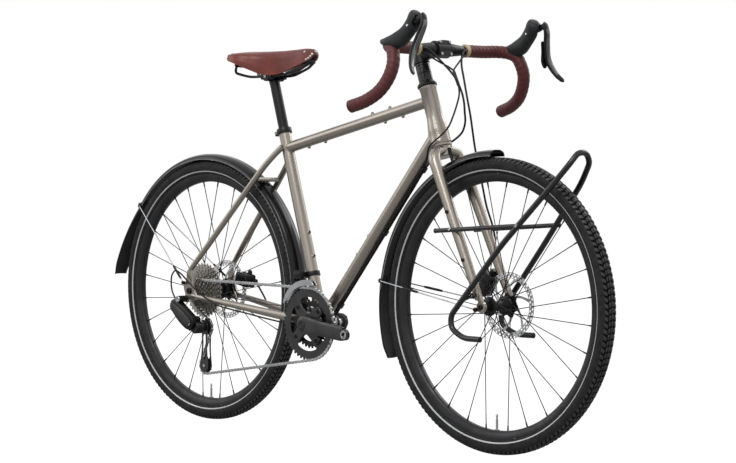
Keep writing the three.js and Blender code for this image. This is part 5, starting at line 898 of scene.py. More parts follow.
@dataclass
class FrameTubes:
    """The brazed and welded steel frame."""

    top_radius: float = 14.3
    down_radius: float = 17.5
    seat_radius: float = 15.9
    head_top_radius: float = 20.5
    head_foot_radius: float = 25.5
    shell_radius: float = 20.5
    shell_half: float = 34
    shell_bore: float = 17.4
    rim_bore: float = 17.3
    weld_reach: float = 200
    bridge_half: float = 42
    bridge_radius: float = 6
    stay_tall: float = 20
    stay_wide: float = 15
    stay_rise: float = 12
    dropout_middle: float = 74
    dropout_half: float = 3
    eye_reach: float = 24
    seatstay_radius: float = 8
    seatstay_sides: tuple[float, float] = (19, 73)
    seatstay_thinning: float = 0.12
    rim_heights: tuple[float, float] = (30, 75)
    hook_radius: float = 10.5
    bolt_ear: tuple[float, float, float] = (6.7, -24, 8)
    guide_size: tuple[float, float, float] = (15, 17, 7.5)
    guide_sink: float = 4.0
    boss_spacing: float = 64
    boss_radius: float = 4.6
    boss_height: float = 3.2
    guide_places: tuple = (102, 310, 560)
    cup_profile: tuple = ((12.4, 34.3), (21.2, 34.3), (21.8, 35), (21.8, 40.5), (20.8, 41.8), (16, 42.3),
                          (12.4, 42.3))
    boss_pairs: tuple = (("top", 0.6158, 1), ("top", 0.6915, -1), ("top", 0.1531, -1), ("down", 0.3465, 1),
                         ("seat", 0.3333, -1))
    trims: tuple = (("top", (6, 6)), ("down", (8, 10)), ("seat", (0, 0)))
    stay_shares: tuple = ((0.045, 0.31, 0.9, 1.05), (0.15, 0.42, 0.78, 1.15), (0.27, 0.5, 0.88, 1.1),
                          (0.6, 0.69, 1.15, 0.95), (0.8, 0.87, 1.0, 0.82), (0.87, 0.94, 0.82, 0.75),
                          (0.98, 1.0, 0.62, 0.65))
    dropout_shares: tuple = ((0.34, 2.35), (-0.34, 2.35), (-0.62, 1.2), (-1.05, 0.45), (-1.05, -0.5),
                             (-0.3, -1.0), (0.9, -1.12), (1.45, -0.82), (0.98, -0.1), (0.55, 1.0))
    seatstay_shares: tuple = ((0, 0), (0.07, 0.2), (0.16, 0.37), (0.47, 0.61), (0.82, 0.84), (1, 1))

    def ends(self) -> dict[str, tuple[Array, Array, float]]:
        """Axis ends and radius of each straight tube."""
        foot, head = LAYOUT.head_start, LAYOUT.head_start + LAYOUT.head_length
        seat, steerer = LAYOUT.on_seat, LAYOUT.on_steerer
        return {"top": (seat(LAYOUT.seat_length - LAYOUT.top_from_seat), steerer(head - LAYOUT.top_from_head),
                        self.top_radius),
                "down": (LAYOUT.bracket, steerer(foot + LAYOUT.down_from_head), self.down_radius),
                "seat": (LAYOUT.bracket, seat(LAYOUT.seat_length), self.seat_radius),
                "head": (steerer(foot), steerer(head), self.head_foot_radius)}

    def straight(self, start: Array, end: Array, radius: float, trim: tuple[float, float]) -> Shell:
        """A round tube between two points, shortened at both ends so that it stops inside its hosts."""
        along = unit(end - start)
        path = np.linspace(start + along * trim[0], end - along * trim[1], 24)
        return tube(path, radius, 48, LEFT)

    def head_tube(self) -> Shell:
        """The flared head tube with a rolled rim at both ends."""
        length, foot, top = LAYOUT.head_length, self.head_foot_radius, self.head_top_radius
        heights = np.linspace(*self.rim_heights, 16)
        ease = (1 - np.cos(np.linspace(0, np.pi, 16))) / 2
        flare = np.column_stack([foot + (top - foot) * ease, heights])
        low = [(self.rim_bore, 0.2), (foot - 0.8, 0), (foot, 0.8), (foot, 8), (foot - 0.4, 9.2)]
        high = [(top, length - 9.5), (top + 0.9, length - 8), (top + 0.9, length - 0.8), (top, length),
                (self.rim_bore, length)]
        profile = np.vstack([low, flare, high])
        return turned(profile, LAYOUT.on_steerer(LAYOUT.head_start), LAYOUT.steer_up, 64, ring=True)

    def bosses(self, tube_name: str, share: float, side: float) -> tuple[Shell, Shell]:
        """A pair of bosses and their screws on a tube.

        Args:
            tube_name: The tube's name in ends().
            share: Where the pair starts, as a share of the tube.
            side: One for above or ahead, minus one for below.

        Returns:
            The bosses and the screws.
        """
        start, end, radius = self.ends()[tube_name]
        along = unit(end - start)
        outward = point(-along[2], 0, along[0]) * side
        length = float(np.linalg.norm(end - start))
        rings, screws = [], []
        for step in (0, self.boss_spacing):
            foot = start + along * (share * length + step) + outward * (radius - 0.8)
            rings.append(turned([(self.boss_radius + 1.2, 0), (self.boss_radius, 1.2), (self.boss_radius, 3.4),
                                 (self.boss_radius - 0.6, self.boss_height + 0.8)], foot, outward, 24))
            screws.append(hex_bolt(foot + outward * (self.boss_height + 0.4), outward, 3.1, 2.2))
        return joined(*rings), joined(*screws)

    def dropout(self, side: float) -> Shell:
        """The rounded plate that holds the axle: a closed smooth curve through its corner shares."""
        corners = np.array(self.dropout_shares) * self.eye_reach + LAYOUT.rear_axle[[0, 2]]
        if side < 0:
            hook = LAYOUT.hanger[[0, 2]] + circle(8, math.radians(115))[:5] * self.hook_radius
            corners = np.vstack([corners[:4], hook, corners[5:]])
        loop = smooth_line(np.vstack([corners, corners[:1]]), 96)[:-1]
        middle = side * self.dropout_middle
        return slab(loop, middle - self.dropout_half, middle + self.dropout_half, 0.7)

    def chainstay(self, side: float) -> Shell:
        """A chainstay whose oval section changes along it, with a smooth line through its stations."""
        foot = LAYOUT.rear_axle - UP * self.stay_rise
        rows = np.array(self.stay_shares)
        stations = np.column_stack([LAYOUT.bracket + (foot - LAYOUT.bracket) * rows[:, :1], rows])
        stations[:, 1] = side * self.dropout_middle * rows[:, 1]
        line = smooth_line(stations, 60)
        half = line[:, 5:7] * [self.stay_wide / 2, self.stay_tall / 2]
        return limb(line[:, :3], half, 28)

    def seatstay(self) -> Shell:
        """The right seatstay, drawn in towards its foot."""
        top, foot = LAYOUT.seatstay_ends
        rows = np.array(self.seatstay_shares)
        stations = top + (foot - top) * rows[:, :1]
        stations[:, 1] = -np.interp(rows[:, 1], [0, 1], self.seatstay_sides)
        share = np.linspace(0, 1, 60)
        radius = self.seatstay_radius * (1 - self.seatstay_thinning * np.clip((share - 0.7) / 0.3, 0, 1))
        return tube(smooth_line(stations, 60), radius, 28)

    def bridge(self) -> Shell:
        """The bridge between the seatstays, with a boss for the mudguard."""
        centre, half = LAYOUT.bridge, LEFT * self.bridge_half
        bar = tube(np.linspace(centre - half, centre + half, 12), self.bridge_radius, 24)
        inward = unit(LAYOUT.rear_axle - centre)
        return joined(bar, turned([(6.5, 0), (6.5, 7.5), (5.8, 8.2)], centre, inward, 24))

    def welds(self) -> Shell:
        """The beads where the tubes meet the head tube, the seat tube and the bottom bracket shell."""
        ends = self.ends()
        top, down, seat = (ends[name][:2] for name in ("top", "down", "seat"))
        reach = [unit(end - start) * self.weld_reach for start, end in (top, down)]
        bracket = (LAYOUT.bracket - LEFT, LAYOUT.bracket + LEFT)
        head, post = ends["head"][:2], ends["seat"][:2]
        return joined(weld_bead(top[1] - reach[0], top[1], self.top_radius, *head, self.head_top_radius),
                      weld_bead(top[0] + reach[0], top[0], self.top_radius, *post, self.seat_radius),
                      weld_bead(down[1] - reach[1], down[1], self.down_radius, *head, self.head_foot_radius),
                      weld_bead(down[1], down[0], self.down_radius, *bracket, self.shell_radius),
                      weld_bead(seat[1], seat[0], self.seat_radius, *bracket, self.shell_radius))

    def build(self) -> None:
        """Makes the frame's pieces."""
        ends = self.ends()
        make("head_tube_shell", self.head_tube(), PAINT, "frame", ["head_tube"])
        screws = []
        for name, trim in self.trims:
            parts = [self.straight(*ends[name], trim)]
            for tube_name, share, side in self.boss_pairs:
                if tube_name == name:
                    rings, heads = self.bosses(name, share, side)
                    parts.append(rings)
                    screws.append(heads)
            make(f"{name}_tube_shell", joined(*parts), PAINT, "frame", [f"{name}_tube"])
        make("boss_screws", joined(*screws), RAIL_STEEL, "frame")
        make("frame_weld_beads", self.welds(), PAINT, "frame")
        shell = collar(LAYOUT.bracket, LEFT, self.shell_bore, self.shell_radius,
                       (-self.shell_half, self.shell_half), (0.5, 0.6))
        make("bottom_bracket_shell_skin", shell, PAINT, "frame", ["bottom_bracket_shell"])
        for side, word in ((-1, "right"), (1, "left")):
            make(f"chainstay_{word}_skin", joined(self.chainstay(side), self.dropout(side)), PAINT, "frame",
                 [f"chainstay_{word}"])
        make("seatstays_skin", joined(self.seatstay().both_sides(), self.bridge()), PAINT, "frame", ["seatstays"])
        refined("seat_collar", BLACK_ALLOY, "frame", 0.6)
        drop, ahead, half = self.bolt_ear
        ear = LAYOUT.on_seat(LAYOUT.seat_length - drop, ahead)
        screw = joined(hex_bolt(ear - LEFT * half, -LEFT, 3.6, 3.4), hex_bolt(ear + LEFT * half, LEFT, 3.4, 2.0))
        make("seat_collar_bolt", screw, STEEL, "frame")
        cups = [turned(self.cup_profile, LAYOUT.bracket, LEFT * side, 64, ring=True) for side in (-1, 1)]
        make("bottom_bracket_cups", joined(*cups), BLACK_ALLOY, "frame", ["bottom_bracket_bearing"])
        self.guides()

    def guides(self) -> None:
        """Clip-on guides that hold the hoses under the down tube."""
        start, end, radius = self.ends()["down"]
        along, below = unit(start - end), underside(end, start)
        clips = [box_shell(end + along * distance + below * (radius + self.guide_sink), self.guide_size,
                           box_turn(along), 3.0) for distance in self.guide_places]
        make("hose_guides", joined(*clips), NYLON, "frame")


@dataclass
class Fork:
    """Fork blades with their crown shoulders, steerer and dropouts."""

    half_wide: float = 13.0
    half_tall: float = 13.65
    leg_start: tuple[float, float] = (20, 7.35)
    leg_half: float = 44
    leg_splay: float = 40
    boss_shares: tuple[float, float] = (0.39, 0.7)
    boss_reach: float = 12
    crown_screw: tuple[float, float] = (20, 21.2)
    web_root: tuple[float, float] = (0.84, 1.25)
    web_foot: tuple[float, float] = (54, 9)
    web_half: tuple = ((7.5, 10.5), (3.3, 9.0))
    crown_profile: tuple = ((12, -33), (19.5, -33), (21, -31.5), (21, -8.2), (22.5, -6.5), (25.2, -6.2), (25.5, -5.6),
                            (25.5, -0.9), (25.0, -0.3), (14, -0.3))
    steerer_profile: tuple = ((14.3, -2), (14.3, 251.2), (13.6, 252))
    tip_profile: tuple = ((6.4, 50.2), (13.2, 50.2), (14, 51), (14, 57.2), (13.2, 58), (9.5, 58), (9.2, 57.4),
                          (6.4, 57.4))
    front_bolt_profile: tuple = ((3.0, -59.8), (3.2, -61.2), (5.4, -61.2), (6, -60.6), (6, -58.8), (6, -58.6),
                                 (6, 57.2), (5.2, 58.2))
    rear_bolt_profile: tuple = ((3.2, -79.2), (3.5, -81.6), (7.8, -81.6), (8.6, -80.8), (8.6, -78.2), (6, -77.8),
                                (6, 76.2), (5.2, 77.2))
    leg_shares: tuple = ((-0.012, 0.2, 0.98, 0.98), (-0.004, 0.6, 1.02, 1.02), (0.02, 0.95, 1.06, 1.06),
                         (0.065, 1.09, 1.08, 1.08), (0.15, 1.12, 1.06, 1.06), (0.5, 1.2, 0.95, 0.95),
                         (0.86, 1.25, 0.8, 0.8), (0.95, 1.25, 0.72, 0.32))

    def leg_centre(self, down: Array, side: Array) -> Array:
        """Middle of the right blade: along the line to the axle, spread by side as a share of its half width."""
        start = LAYOUT.on_steerer(LAYOUT.head_start - self.leg_start[0]) + FORWARD * self.leg_start[1]
        down, side = np.atleast_1d(down), np.atleast_1d(side)
        places = start + (LAYOUT.front_axle - start) * down[:, None]
        places[:, 1] = -(self.leg_half * np.minimum(side, 1) + self.leg_splay * np.maximum(side - 1, 0))
        return places

    def blade(self) -> Shell:
        """One blade with an oval section that shrinks towards the dropout."""
        line = smooth_line(self.leg_shares, 400)
        path = self.leg_centre(line[:, 0], line[:, 1])
        line = even(np.column_stack([path, line[:, 2:]]), 96)
        half = np.column_stack([self.half_tall * line[:, 3], self.half_wide * line[:, 4]])
        return limb(line[:, :3], half, 32, up=FORWARD)

    def dropout(self) -> Shell:
        """The round forged tip with a web up to the blade."""
        tip = turned(self.tip_profile, LAYOUT.front_axle, -LEFT, 48, ring=True)
        end = LAYOUT.front_axle + point(0, -self.web_foot[0], self.web_foot[1])
        path = np.linspace(self.leg_centre(*self.web_root)[0], end, 16)
        return joined(tip, limb(path, np.linspace(*self.web_half, 16), 24))

    def build(self) -> None:
        """Makes the fork's pieces."""
        head = LAYOUT.on_steerer(LAYOUT.head_start)
        crown = turned(self.crown_profile, head, LAYOUT.steer_up, 64)
        blades = joined(self.blade().both_sides(), self.dropout().both_sides(), crown)
        make("fork_blades", blades, PAINT, "steering", ["fork"])
        make("steerer_tube", turned(self.steerer_profile, head, LAYOUT.steer_up, 48), BLACK_ALLOY, "steering")
        down, ahead = self.crown_screw
        screws = [hex_bolt(LAYOUT.on_steerer(LAYOUT.head_start - down, ahead), LAYOUT.steer_ahead, 5.2, 3.4)]
        for share in self.boss_shares:
            spot = self.leg_centre(share, 1.2)[0] - LEFT * self.boss_reach
            screws += [hex_bolt(spot, -LEFT, 4.5, 4.0), hex_bolt(spot * OTHER_SIDE, LEFT, 4.5, 4.0)]
        make("fork_screws", joined(*screws), RAIL_STEEL, "steering")
        for word, profile, body in (("front", self.front_bolt_profile, "steering"),
                                    ("rear", self.rear_bolt_profile, "frame")):
            axle = LAYOUT.front_axle if word == "front" else LAYOUT.rear_axle
            make(f"{word}_axle_bolt", turned(profile, axle, LEFT, 40), BLACK_ALLOY, body, [f"{word}_thru_axle"])


@dataclass
class Cockpit:
    """Headset, stem, handlebar, tape, hoods, levers and paddles.

    Each hand's pieces are made as the right one; hand() puts them on their side.
    """

    bar_reach: float = 66
    bar_half: float = 215
    bar_flare: float = 49
    bar_drop: float = 147
    clamp_radius: float = 15.9
    grip_radius: float = 11.9
    clamp_half: float = 41
    tape_radius: float = 15.1
    tape_lift: float = 0.6
    tape_pillow: float = 0.25
    tape_end: float = 12.6
    lap_rows: int = 20
    tape_start: float = 81
    tape_laps: int = 27
    hood_reach: float = 92
    hood_rise: float = 73
    hood_half: float = 18
    hood_tall: float = 22
    lever_length: float = 138
    lever_flare: float = 50
    lever_half: tuple[float, float] = (9.8, 3.6)
    paddle_half: tuple[float, float] = (10, 2)
    paddle_length: float = 66
    paddle_flare: float = 46
    spacer_spans: tuple = ((13.9, 34.0), (34.2, 54.2), (54.4, 59.7))
    spacer_radii: tuple[float, float] = (14.7, 18)
    stem_clamp_radii: tuple[float, float] = (14.6, 20)
    barrel_radii: tuple[float, float] = (16.1, 21)
    barrel_half: float = 23
    ear_reach: float = 20.5
    plate_reach: float = 15.5
    plate_bolts: tuple[float, float, float] = (19.4, 16, 15)
    ear_bolts: tuple[float, float] = (11, 31)
    hood_root: float = 40.9
    hood_toe: float = 9.2
    lever_pin: tuple[float, float] = (128, 55)
    lever_top: tuple[float, float] = (142, 62)
    paddle_top: tuple[float, float] = (0.12, -38.4)
    cover_profile: tuple = ((14.7, 0.3), (23.6, 0.3), (24.5, 1.2), (24.5, 6), (23.6, 7.2), (18.6, 13), (18.2, 13.7),
                            (14.7, 13.7))
    cap_profile: tuple = ((18.9, 0.2), (19.4, 0.8), (19.4, 2.2), (17.8, 3.4), (5.2, 3.9), (4.8, 2.9), (3.9, 2.9),
                          (3.7, 1.2))
    band_profile: tuple = ((12.1, -5), (15.9, -5), (16.3, -4.2), (16.3, 5), (15.9, 5.8), (12.1, 5.8))
    plug_profile: tuple = ((11, -1), (15.4, -1), (15.6, 0.2), (15.0, 1.6), (11, 2.6), (3, 2.9))
    button_profile: tuple = ((2.9, 0), (2.9, 0.8), (2.3, 1.3))
    bar_shares: tuple = ((0, 0.2, 0, 0), (0.04, 0.4, 0, 0), (0.12, 0.68, 0, 0), (0.24, 0.86, -0.01, 0),
                         (0.52, 0.97, 0.01, 0), (0.82, 1, 0.08, 0.06), (0.98, 1, 0.24, 0.2), (1, 1, 0.4, 0.34),
                         (0.86, 1, 0.58, 0.48), (0.55, 1, 0.76, 0.66), (0.02, 1, 0.9, 0.85), (-0.6, 1, 0.98, 1))
    hood_shares: tuple = ((-0.26, 0.12, 0.42, 0.28), (0, 0.09, 0.95, 0.62), (0.3, 0.14, 1.08, 0.9),
                          (0.58, 0.38, 0.9, 0.8), (0.78, 0.66, 0.88, 0.84), (0.9, 0.845, 1.0, 0.92),
                          (0.97, 0.925, 0.9, 0.7), (0.99, 0.975, 0.58, 0.42))
    lever_shares: tuple = ((-0.06, 0.06, -0.04, 0.9, 1.1), (0.12, 0.1, 0.02, 1, 1.3), (0.34, 0.05, 0.18, 1.15, 1.1),
                           (0.62, 0, 0.46, 1.1, 1), (0.86, 0.08, 0.78, 0.85, 1), (1, 0.2, 1, 0.6, 1))
    paddle_shares: tuple = ((0, 0, 0, 0.5, 1), (0.35, -0.02, 0.12, 0.75, 1), (0.75, -0.1, 0.3, 1, 1),
                            (1, -0.1, 0.42, 0.6, 0.8))

    def bar_line(self, count: int) -> Array:
        """The right half of the bar as a smooth line from the clamp to the end of the drop."""
        rows = np.array(self.bar_shares)
        centre = LAYOUT.bar_centre
        places = np.column_stack([centre[0] + rows[:, 0] * self.bar_reach,
                                  -(rows[:, 1] * self.bar_half + rows[:, 3] * self.bar_flare),
                                  centre[2] - rows[:, 2] * self.bar_drop])
        return smooth_line(places, count)

    def headset_and_stem(self) -> None:
        """Headset cover, the spacers under the stem, and the stem with its bolts."""
        base = LAYOUT.on_steerer(LAYOUT.head_start + LAYOUT.head_length)
        cover = turned(self.cover_profile, base, LAYOUT.steer_up, 64, ring=True)
        make("headset_cover", cover, BLACK_ALLOY, "steering", ["headset_spacers"])
        spacers = [collar(base, LAYOUT.steer_up, *self.spacer_radii, span) for span in self.spacer_spans]
        make("steerer_spacers", joined(*spacers), BLACK_GLOSS, "steering")
        start = LAYOUT.on_steerer(LAYOUT.head_start + LAYOUT.head_length + LAYOUT.stem_start)
        height = LAYOUT.stem_height
        clamp = collar(start, LAYOUT.steer_up, *self.stem_clamp_radii, (0.1, height - 0.1))
        middle = start + LAYOUT.steer_up * (height / 2)
        centre = LAYOUT.bar_centre
        along = unit(centre - middle)
        path = np.linspace(middle + along * 15, centre - along * 17, 24)
        share = np.linspace(0, 1, 24)
        half = np.column_stack([16 + 1.6 * share ** 2, 15.6 - 1.4 * np.sin(np.pi * share)])
        arm = limb(path, half, 40, 2.6)
        barrel = collar(centre, LEFT, *self.barrel_radii, (-self.barrel_half, self.barrel_half))
        rear = -LAYOUT.steer_ahead
        ear = box_shell(middle + rear * self.ear_reach, (8, 17, height - 4), box_turn(rear), 5.0)
        plate = box_shell(centre + along * self.plate_reach, (8.5, 44, 39.5), box_turn(along), 5.0)
        make("stem_forging", joined(clamp, arm, barrel, ear, plate), BLACK_ALLOY, "steering", ["stem"])
        cap = turned(self.cap_profile, start + LAYOUT.steer_up * height, LAYOUT.steer_up, 64)
        make("stem_top_cap", cap, BLACK_GLOSS, "steering")
        across = np.cross(along, LEFT)
        ahead, side, rise = self.plate_bolts
        bolts = [hex_bolt(centre + along * ahead + LEFT * y + across * z, along, 3.6, 2.6)
                 for y in (-side, side) for z in (-rise, rise)]
        bolts += [hex_bolt(start + LAYOUT.steer_up * z + rear * self.ear_reach - LEFT * 8.2, -LEFT, 3.6, 3.0)
                  for z in self.ear_bolts]
        make("stem_bolts", joined(*bolts), STEEL, "steering")

    def handlebar(self) -> None:
        """The bar: a thick clamp zone, a taper on each side and the grips."""
        line = self.bar_line(150)
        neck = np.linspace(LAYOUT.bar_centre, line[0], 12)[:-1]
        path = np.vstack([neck, line])
        radius = np.interp(-path[:, 1], [self.clamp_half, self.clamp_half + 3, self.clamp_half + 33],
                           [self.clamp_radius, self.clamp_radius - 0.5, self.grip_radius])
        radius = np.where(np.arange(len(path)) > 40, self.grip_radius, radius)
        make("handlebar_tube", tube(path, radius, 40).both_sides(), BLACK_ALLOY, "steering", ["handlebar"])

    def hand(self, word: str, shell: Shell) -> Shell:
        """A right hand's surface, mirrored for the left hand."""
        return shell.mirrored() if word == "left" else shell

    def tape(self, word: str) -> None:
        """Bar tape wound in overlapping laps.

        Along the wrap the radius is base + lift * saw(lap), where a lap rises over four fifths of its
        width and falls back over the last fifth; the saw's phase turns once round the bar per lap.
        """
        line = self.bar_line(900)
        line = line[np.argmax(-line[:, 1] > self.tape_start + 6):]
        count = self.tape_laps * self.lap_rows
        path = even(line, count + 1)
        columns = 40
        phase = (np.arange(count + 1)[:, None] / self.lap_rows + np.arange(columns)[None, :] / columns) % 1.0
        saw = np.where(phase < 0.8, phase / 0.8, (1 - phase) / 0.2)
        pillow = self.tape_pillow * np.sin(np.pi * np.clip(phase / 0.8, 0, 1))
        radius = self.tape_radius + self.tape_lift * saw + pillow
        ends = np.minimum(np.arange(count + 1), np.arange(count + 1)[::-1])[:, None]
        radius = np.where(ends < 3, self.tape_end + (radius - self.tape_end) * (0.62 + 0.38 * ends / 3), radius)
        wrap = swept(path, circle(columns)[None] * radius[..., None])
        ring = turned(self.band_profile, line[0], unit(line[0] - line[12]), 48, ring=True)
        plug = turned(self.plug_profile, path[-1], unit(path[-1] - path[-4]), 48)
        for name, shell, finish in (("wrap", wrap, TAPE), ("finishing_band", ring, FINISHING_TAPE),
                                    ("end_plug", plug, NYLON)):
            replaces = [f"bar_tape_{word}"] if name == "wrap" else []
            make(f"bar_tape_{word}_{name}", self.hand(word, shell), finish, "steering", replaces)

    def hood_line(self, count: int) -> tuple[Array, Array]:
        """Middle line and half sizes of the right hood."""
        rows = np.array(self.hood_shares)
        root = self.grip_point(self.hood_root, 0)
        places = root + np.column_stack([rows[:, 0] * self.hood_reach, self.hood_toe * np.maximum(rows[:, 0], 0),
                                         rows[:, 1] * self.hood_rise])
        line = smooth_line(np.column_stack([places, rows[:, 2:]]), count)
        return line[:, :3], line[:, 3:5] * [self.hood_half, self.hood_tall]

    def grip_point(self, ahead: float, above: float) -> Array:
        """A point in the right grip's plane, measured from the bar's centre."""
        return LAYOUT.bar_centre + point(ahead, -self.bar_half, above)

    def hollowed(self, piece: bpy.types.Object, slot: Shell) -> None:
        """Cuts the slot, in which the lever turns, out of a hood, unless the cut would leave too little."""
        tool = linked("slot", mesh_of("slot", slot))
        pocket = piece.modifiers.new("pocket", "BOOLEAN")
        pocket.object, pocket.operation, pocket.solver = tool, "DIFFERENCE", "EXACT"
        hollow = applied(piece)
        if len(hollow.polygons) > 200:
            piece.data = hollow
            hollow.set_sharp_from_angle(angle=math.radians(40))
        bpy.data.objects.remove(tool)

    def hood(self, word: str) -> None:
        """A rubber hood: ovals along a rising line, with a rounded tip, a lever slot and two screw caps."""
        path, half = self.hood_line(64)
        share = np.linspace(0, 1, 64)
        taper = np.sqrt(np.clip((1 - share) / 0.05, 0.12, 1))
        body = limb(path, half * taper[:, None], 48, 2.3)
        piece = make(f"brake_hood_{word}_rubber", self.hand(word, body), HOOD_RUBBER, "steering",
                     [f"brake_hood_{word}"])
        slot = box_shell(self.grip_point(*self.lever_pin) + point(16, 0, -13), (46, 16.2, 46), None, 12.0)
        self.hollowed(piece, self.hand(word, slot))
        place, reach = path[46], LEFT * (half[46, 0] * 0.94)
        caps = joined(*[turned(self.button_profile, place + reach * s, LEFT * s, 32) for s in (-1, 1)])
        make(f"brake_hood_{word}_buttons", self.hand(word, caps), STEEL, "steering")

    def tips(self, count: int, reach: float, least: float) -> Array:
        """Shares of a blade's size along it: sqrt(distance to the nearer end / reach), at most one."""
        share = np.linspace(0, 1, count)
        return np.sqrt(np.clip(np.minimum(share, 1 - share) / reach, least, 1))[:, None]

    def blade_line(self, shares: Sequence[Sequence[float]], top: Array, length: float, flare: float,
                   count: int) -> Array:
        """A blade's middle line and half sizes, hanging from its top by shares of its length and flare."""
        rows = np.array(shares)
        places = top + np.column_stack([rows[:, 1] * length, -rows[:, 2] * flare, -rows[:, 0] * length])
        return smooth_line(np.column_stack([places, rows[:, 3:]]), count)

    def lever(self, word: str) -> None:
        """A brake lever blade and, behind it, the shift paddle."""
        top, pivot = self.grip_point(*self.lever_top), self.grip_point(*self.lever_pin)
        line = self.blade_line(self.lever_shares, top, self.lever_length, self.lever_flare, 72)
        half = line[:, 3:5] * self.lever_half * self.tips(72, 0.035, 0.1)
        blade = limb(line[:, :3], half, 36, 2.6)
        web = box_shell((pivot + top) / 2 + point(1.5, 0, -2.5), (22, 11, 13), turn_about(LEFT, math.radians(-24)))
        pin = turned([(2.5, -12.6), (2.5, 12.6)], pivot, LEFT, 24)
        body = f"brake_lever_{word}"
        make(f"{body}_blade", self.hand(word, joined(blade, web, pin)), BLACK_ALLOY, body, [body])
        # A paler grey strip along the middle of each blade's front face: a painted highlight.
        middle = slice(8, 62)
        normal = unit(np.cross(LEFT, np.gradient(line[:, :3], axis=0)))[middle]
        normal = normal * np.sign(normal[:, :1])
        highlight_strip = limb(line[middle, :3] + normal * (half[middle, 1:] * 0.62), half[middle] * 0.6, 28, 2.2)
        make(f"{body}_face", self.hand(word, highlight_strip), LEVER_PAINTED_HIGHLIGHT, body)
        top = top + point(self.paddle_top[0], 0, self.paddle_top[1])
        line = self.blade_line(self.paddle_shares, top, self.paddle_length, self.paddle_flare, 48)
        paddle = limb(line[:, :3], line[:, 3:5] * self.paddle_half * self.tips(48, 0.05, 0.12), 32, 3.0)
        body = f"shift_paddle_{word}"
        make(f"{body}_blade", self.hand(word, paddle), BLACK_ALLOY, body, [body])

    def build(self) -> None:
        """Makes the cockpit's pieces."""
        self.headset_and_stem()
        self.handlebar()
        for word in ("right", "left"):
            self.tape(word)
            self.hood(word)
            self.lever(word)


def polar(radius: Array | float, angle: Array | float, side: Array | float = 0.0) -> Array:
    """Points at a radius and angle in the x-z plane, y as given; angle zero is forward, 90 degrees up."""
    radius, angle, side = np.broadcast_arrays(radius, angle, side)
    return np.stack([radius * np.cos(angle), side, radius * np.sin(angle)], -1).astype(float)


def flat(radius: Array | float, angle: Array | float) -> Array:
    """Outline corners (x, z) at a radius and angle."""
    return polar(radius, angle)[..., [0, 2]]


def turns_about_left(angles: Array) -> Array:
    """Rotation matrices in the x-z plane, one for each angle, shape (n, 3, 3)."""
    c, s, zero, one = np.cos(angles), np.sin(angles), np.zeros(len(angles)), np.ones(len(angles))
    return np.stack([np.stack([c, zero, -s], -1), np.stack([zero, one, zero], -1), np.stack([s, zero, c], -1)], 1)


def ringed(shell: Shell, count: int, start: float = 0.0, centre: Array | None = None) -> Shell:
    """Even copies of a surface about the y axis, then moved to a centre."""
    angles = start + np.arange(count) * 2 * np.pi / count
    placed = shell.copies(turns_about_left(angles), np.zeros((count, 3)))
    return placed if centre is None else placed.moved(centre)


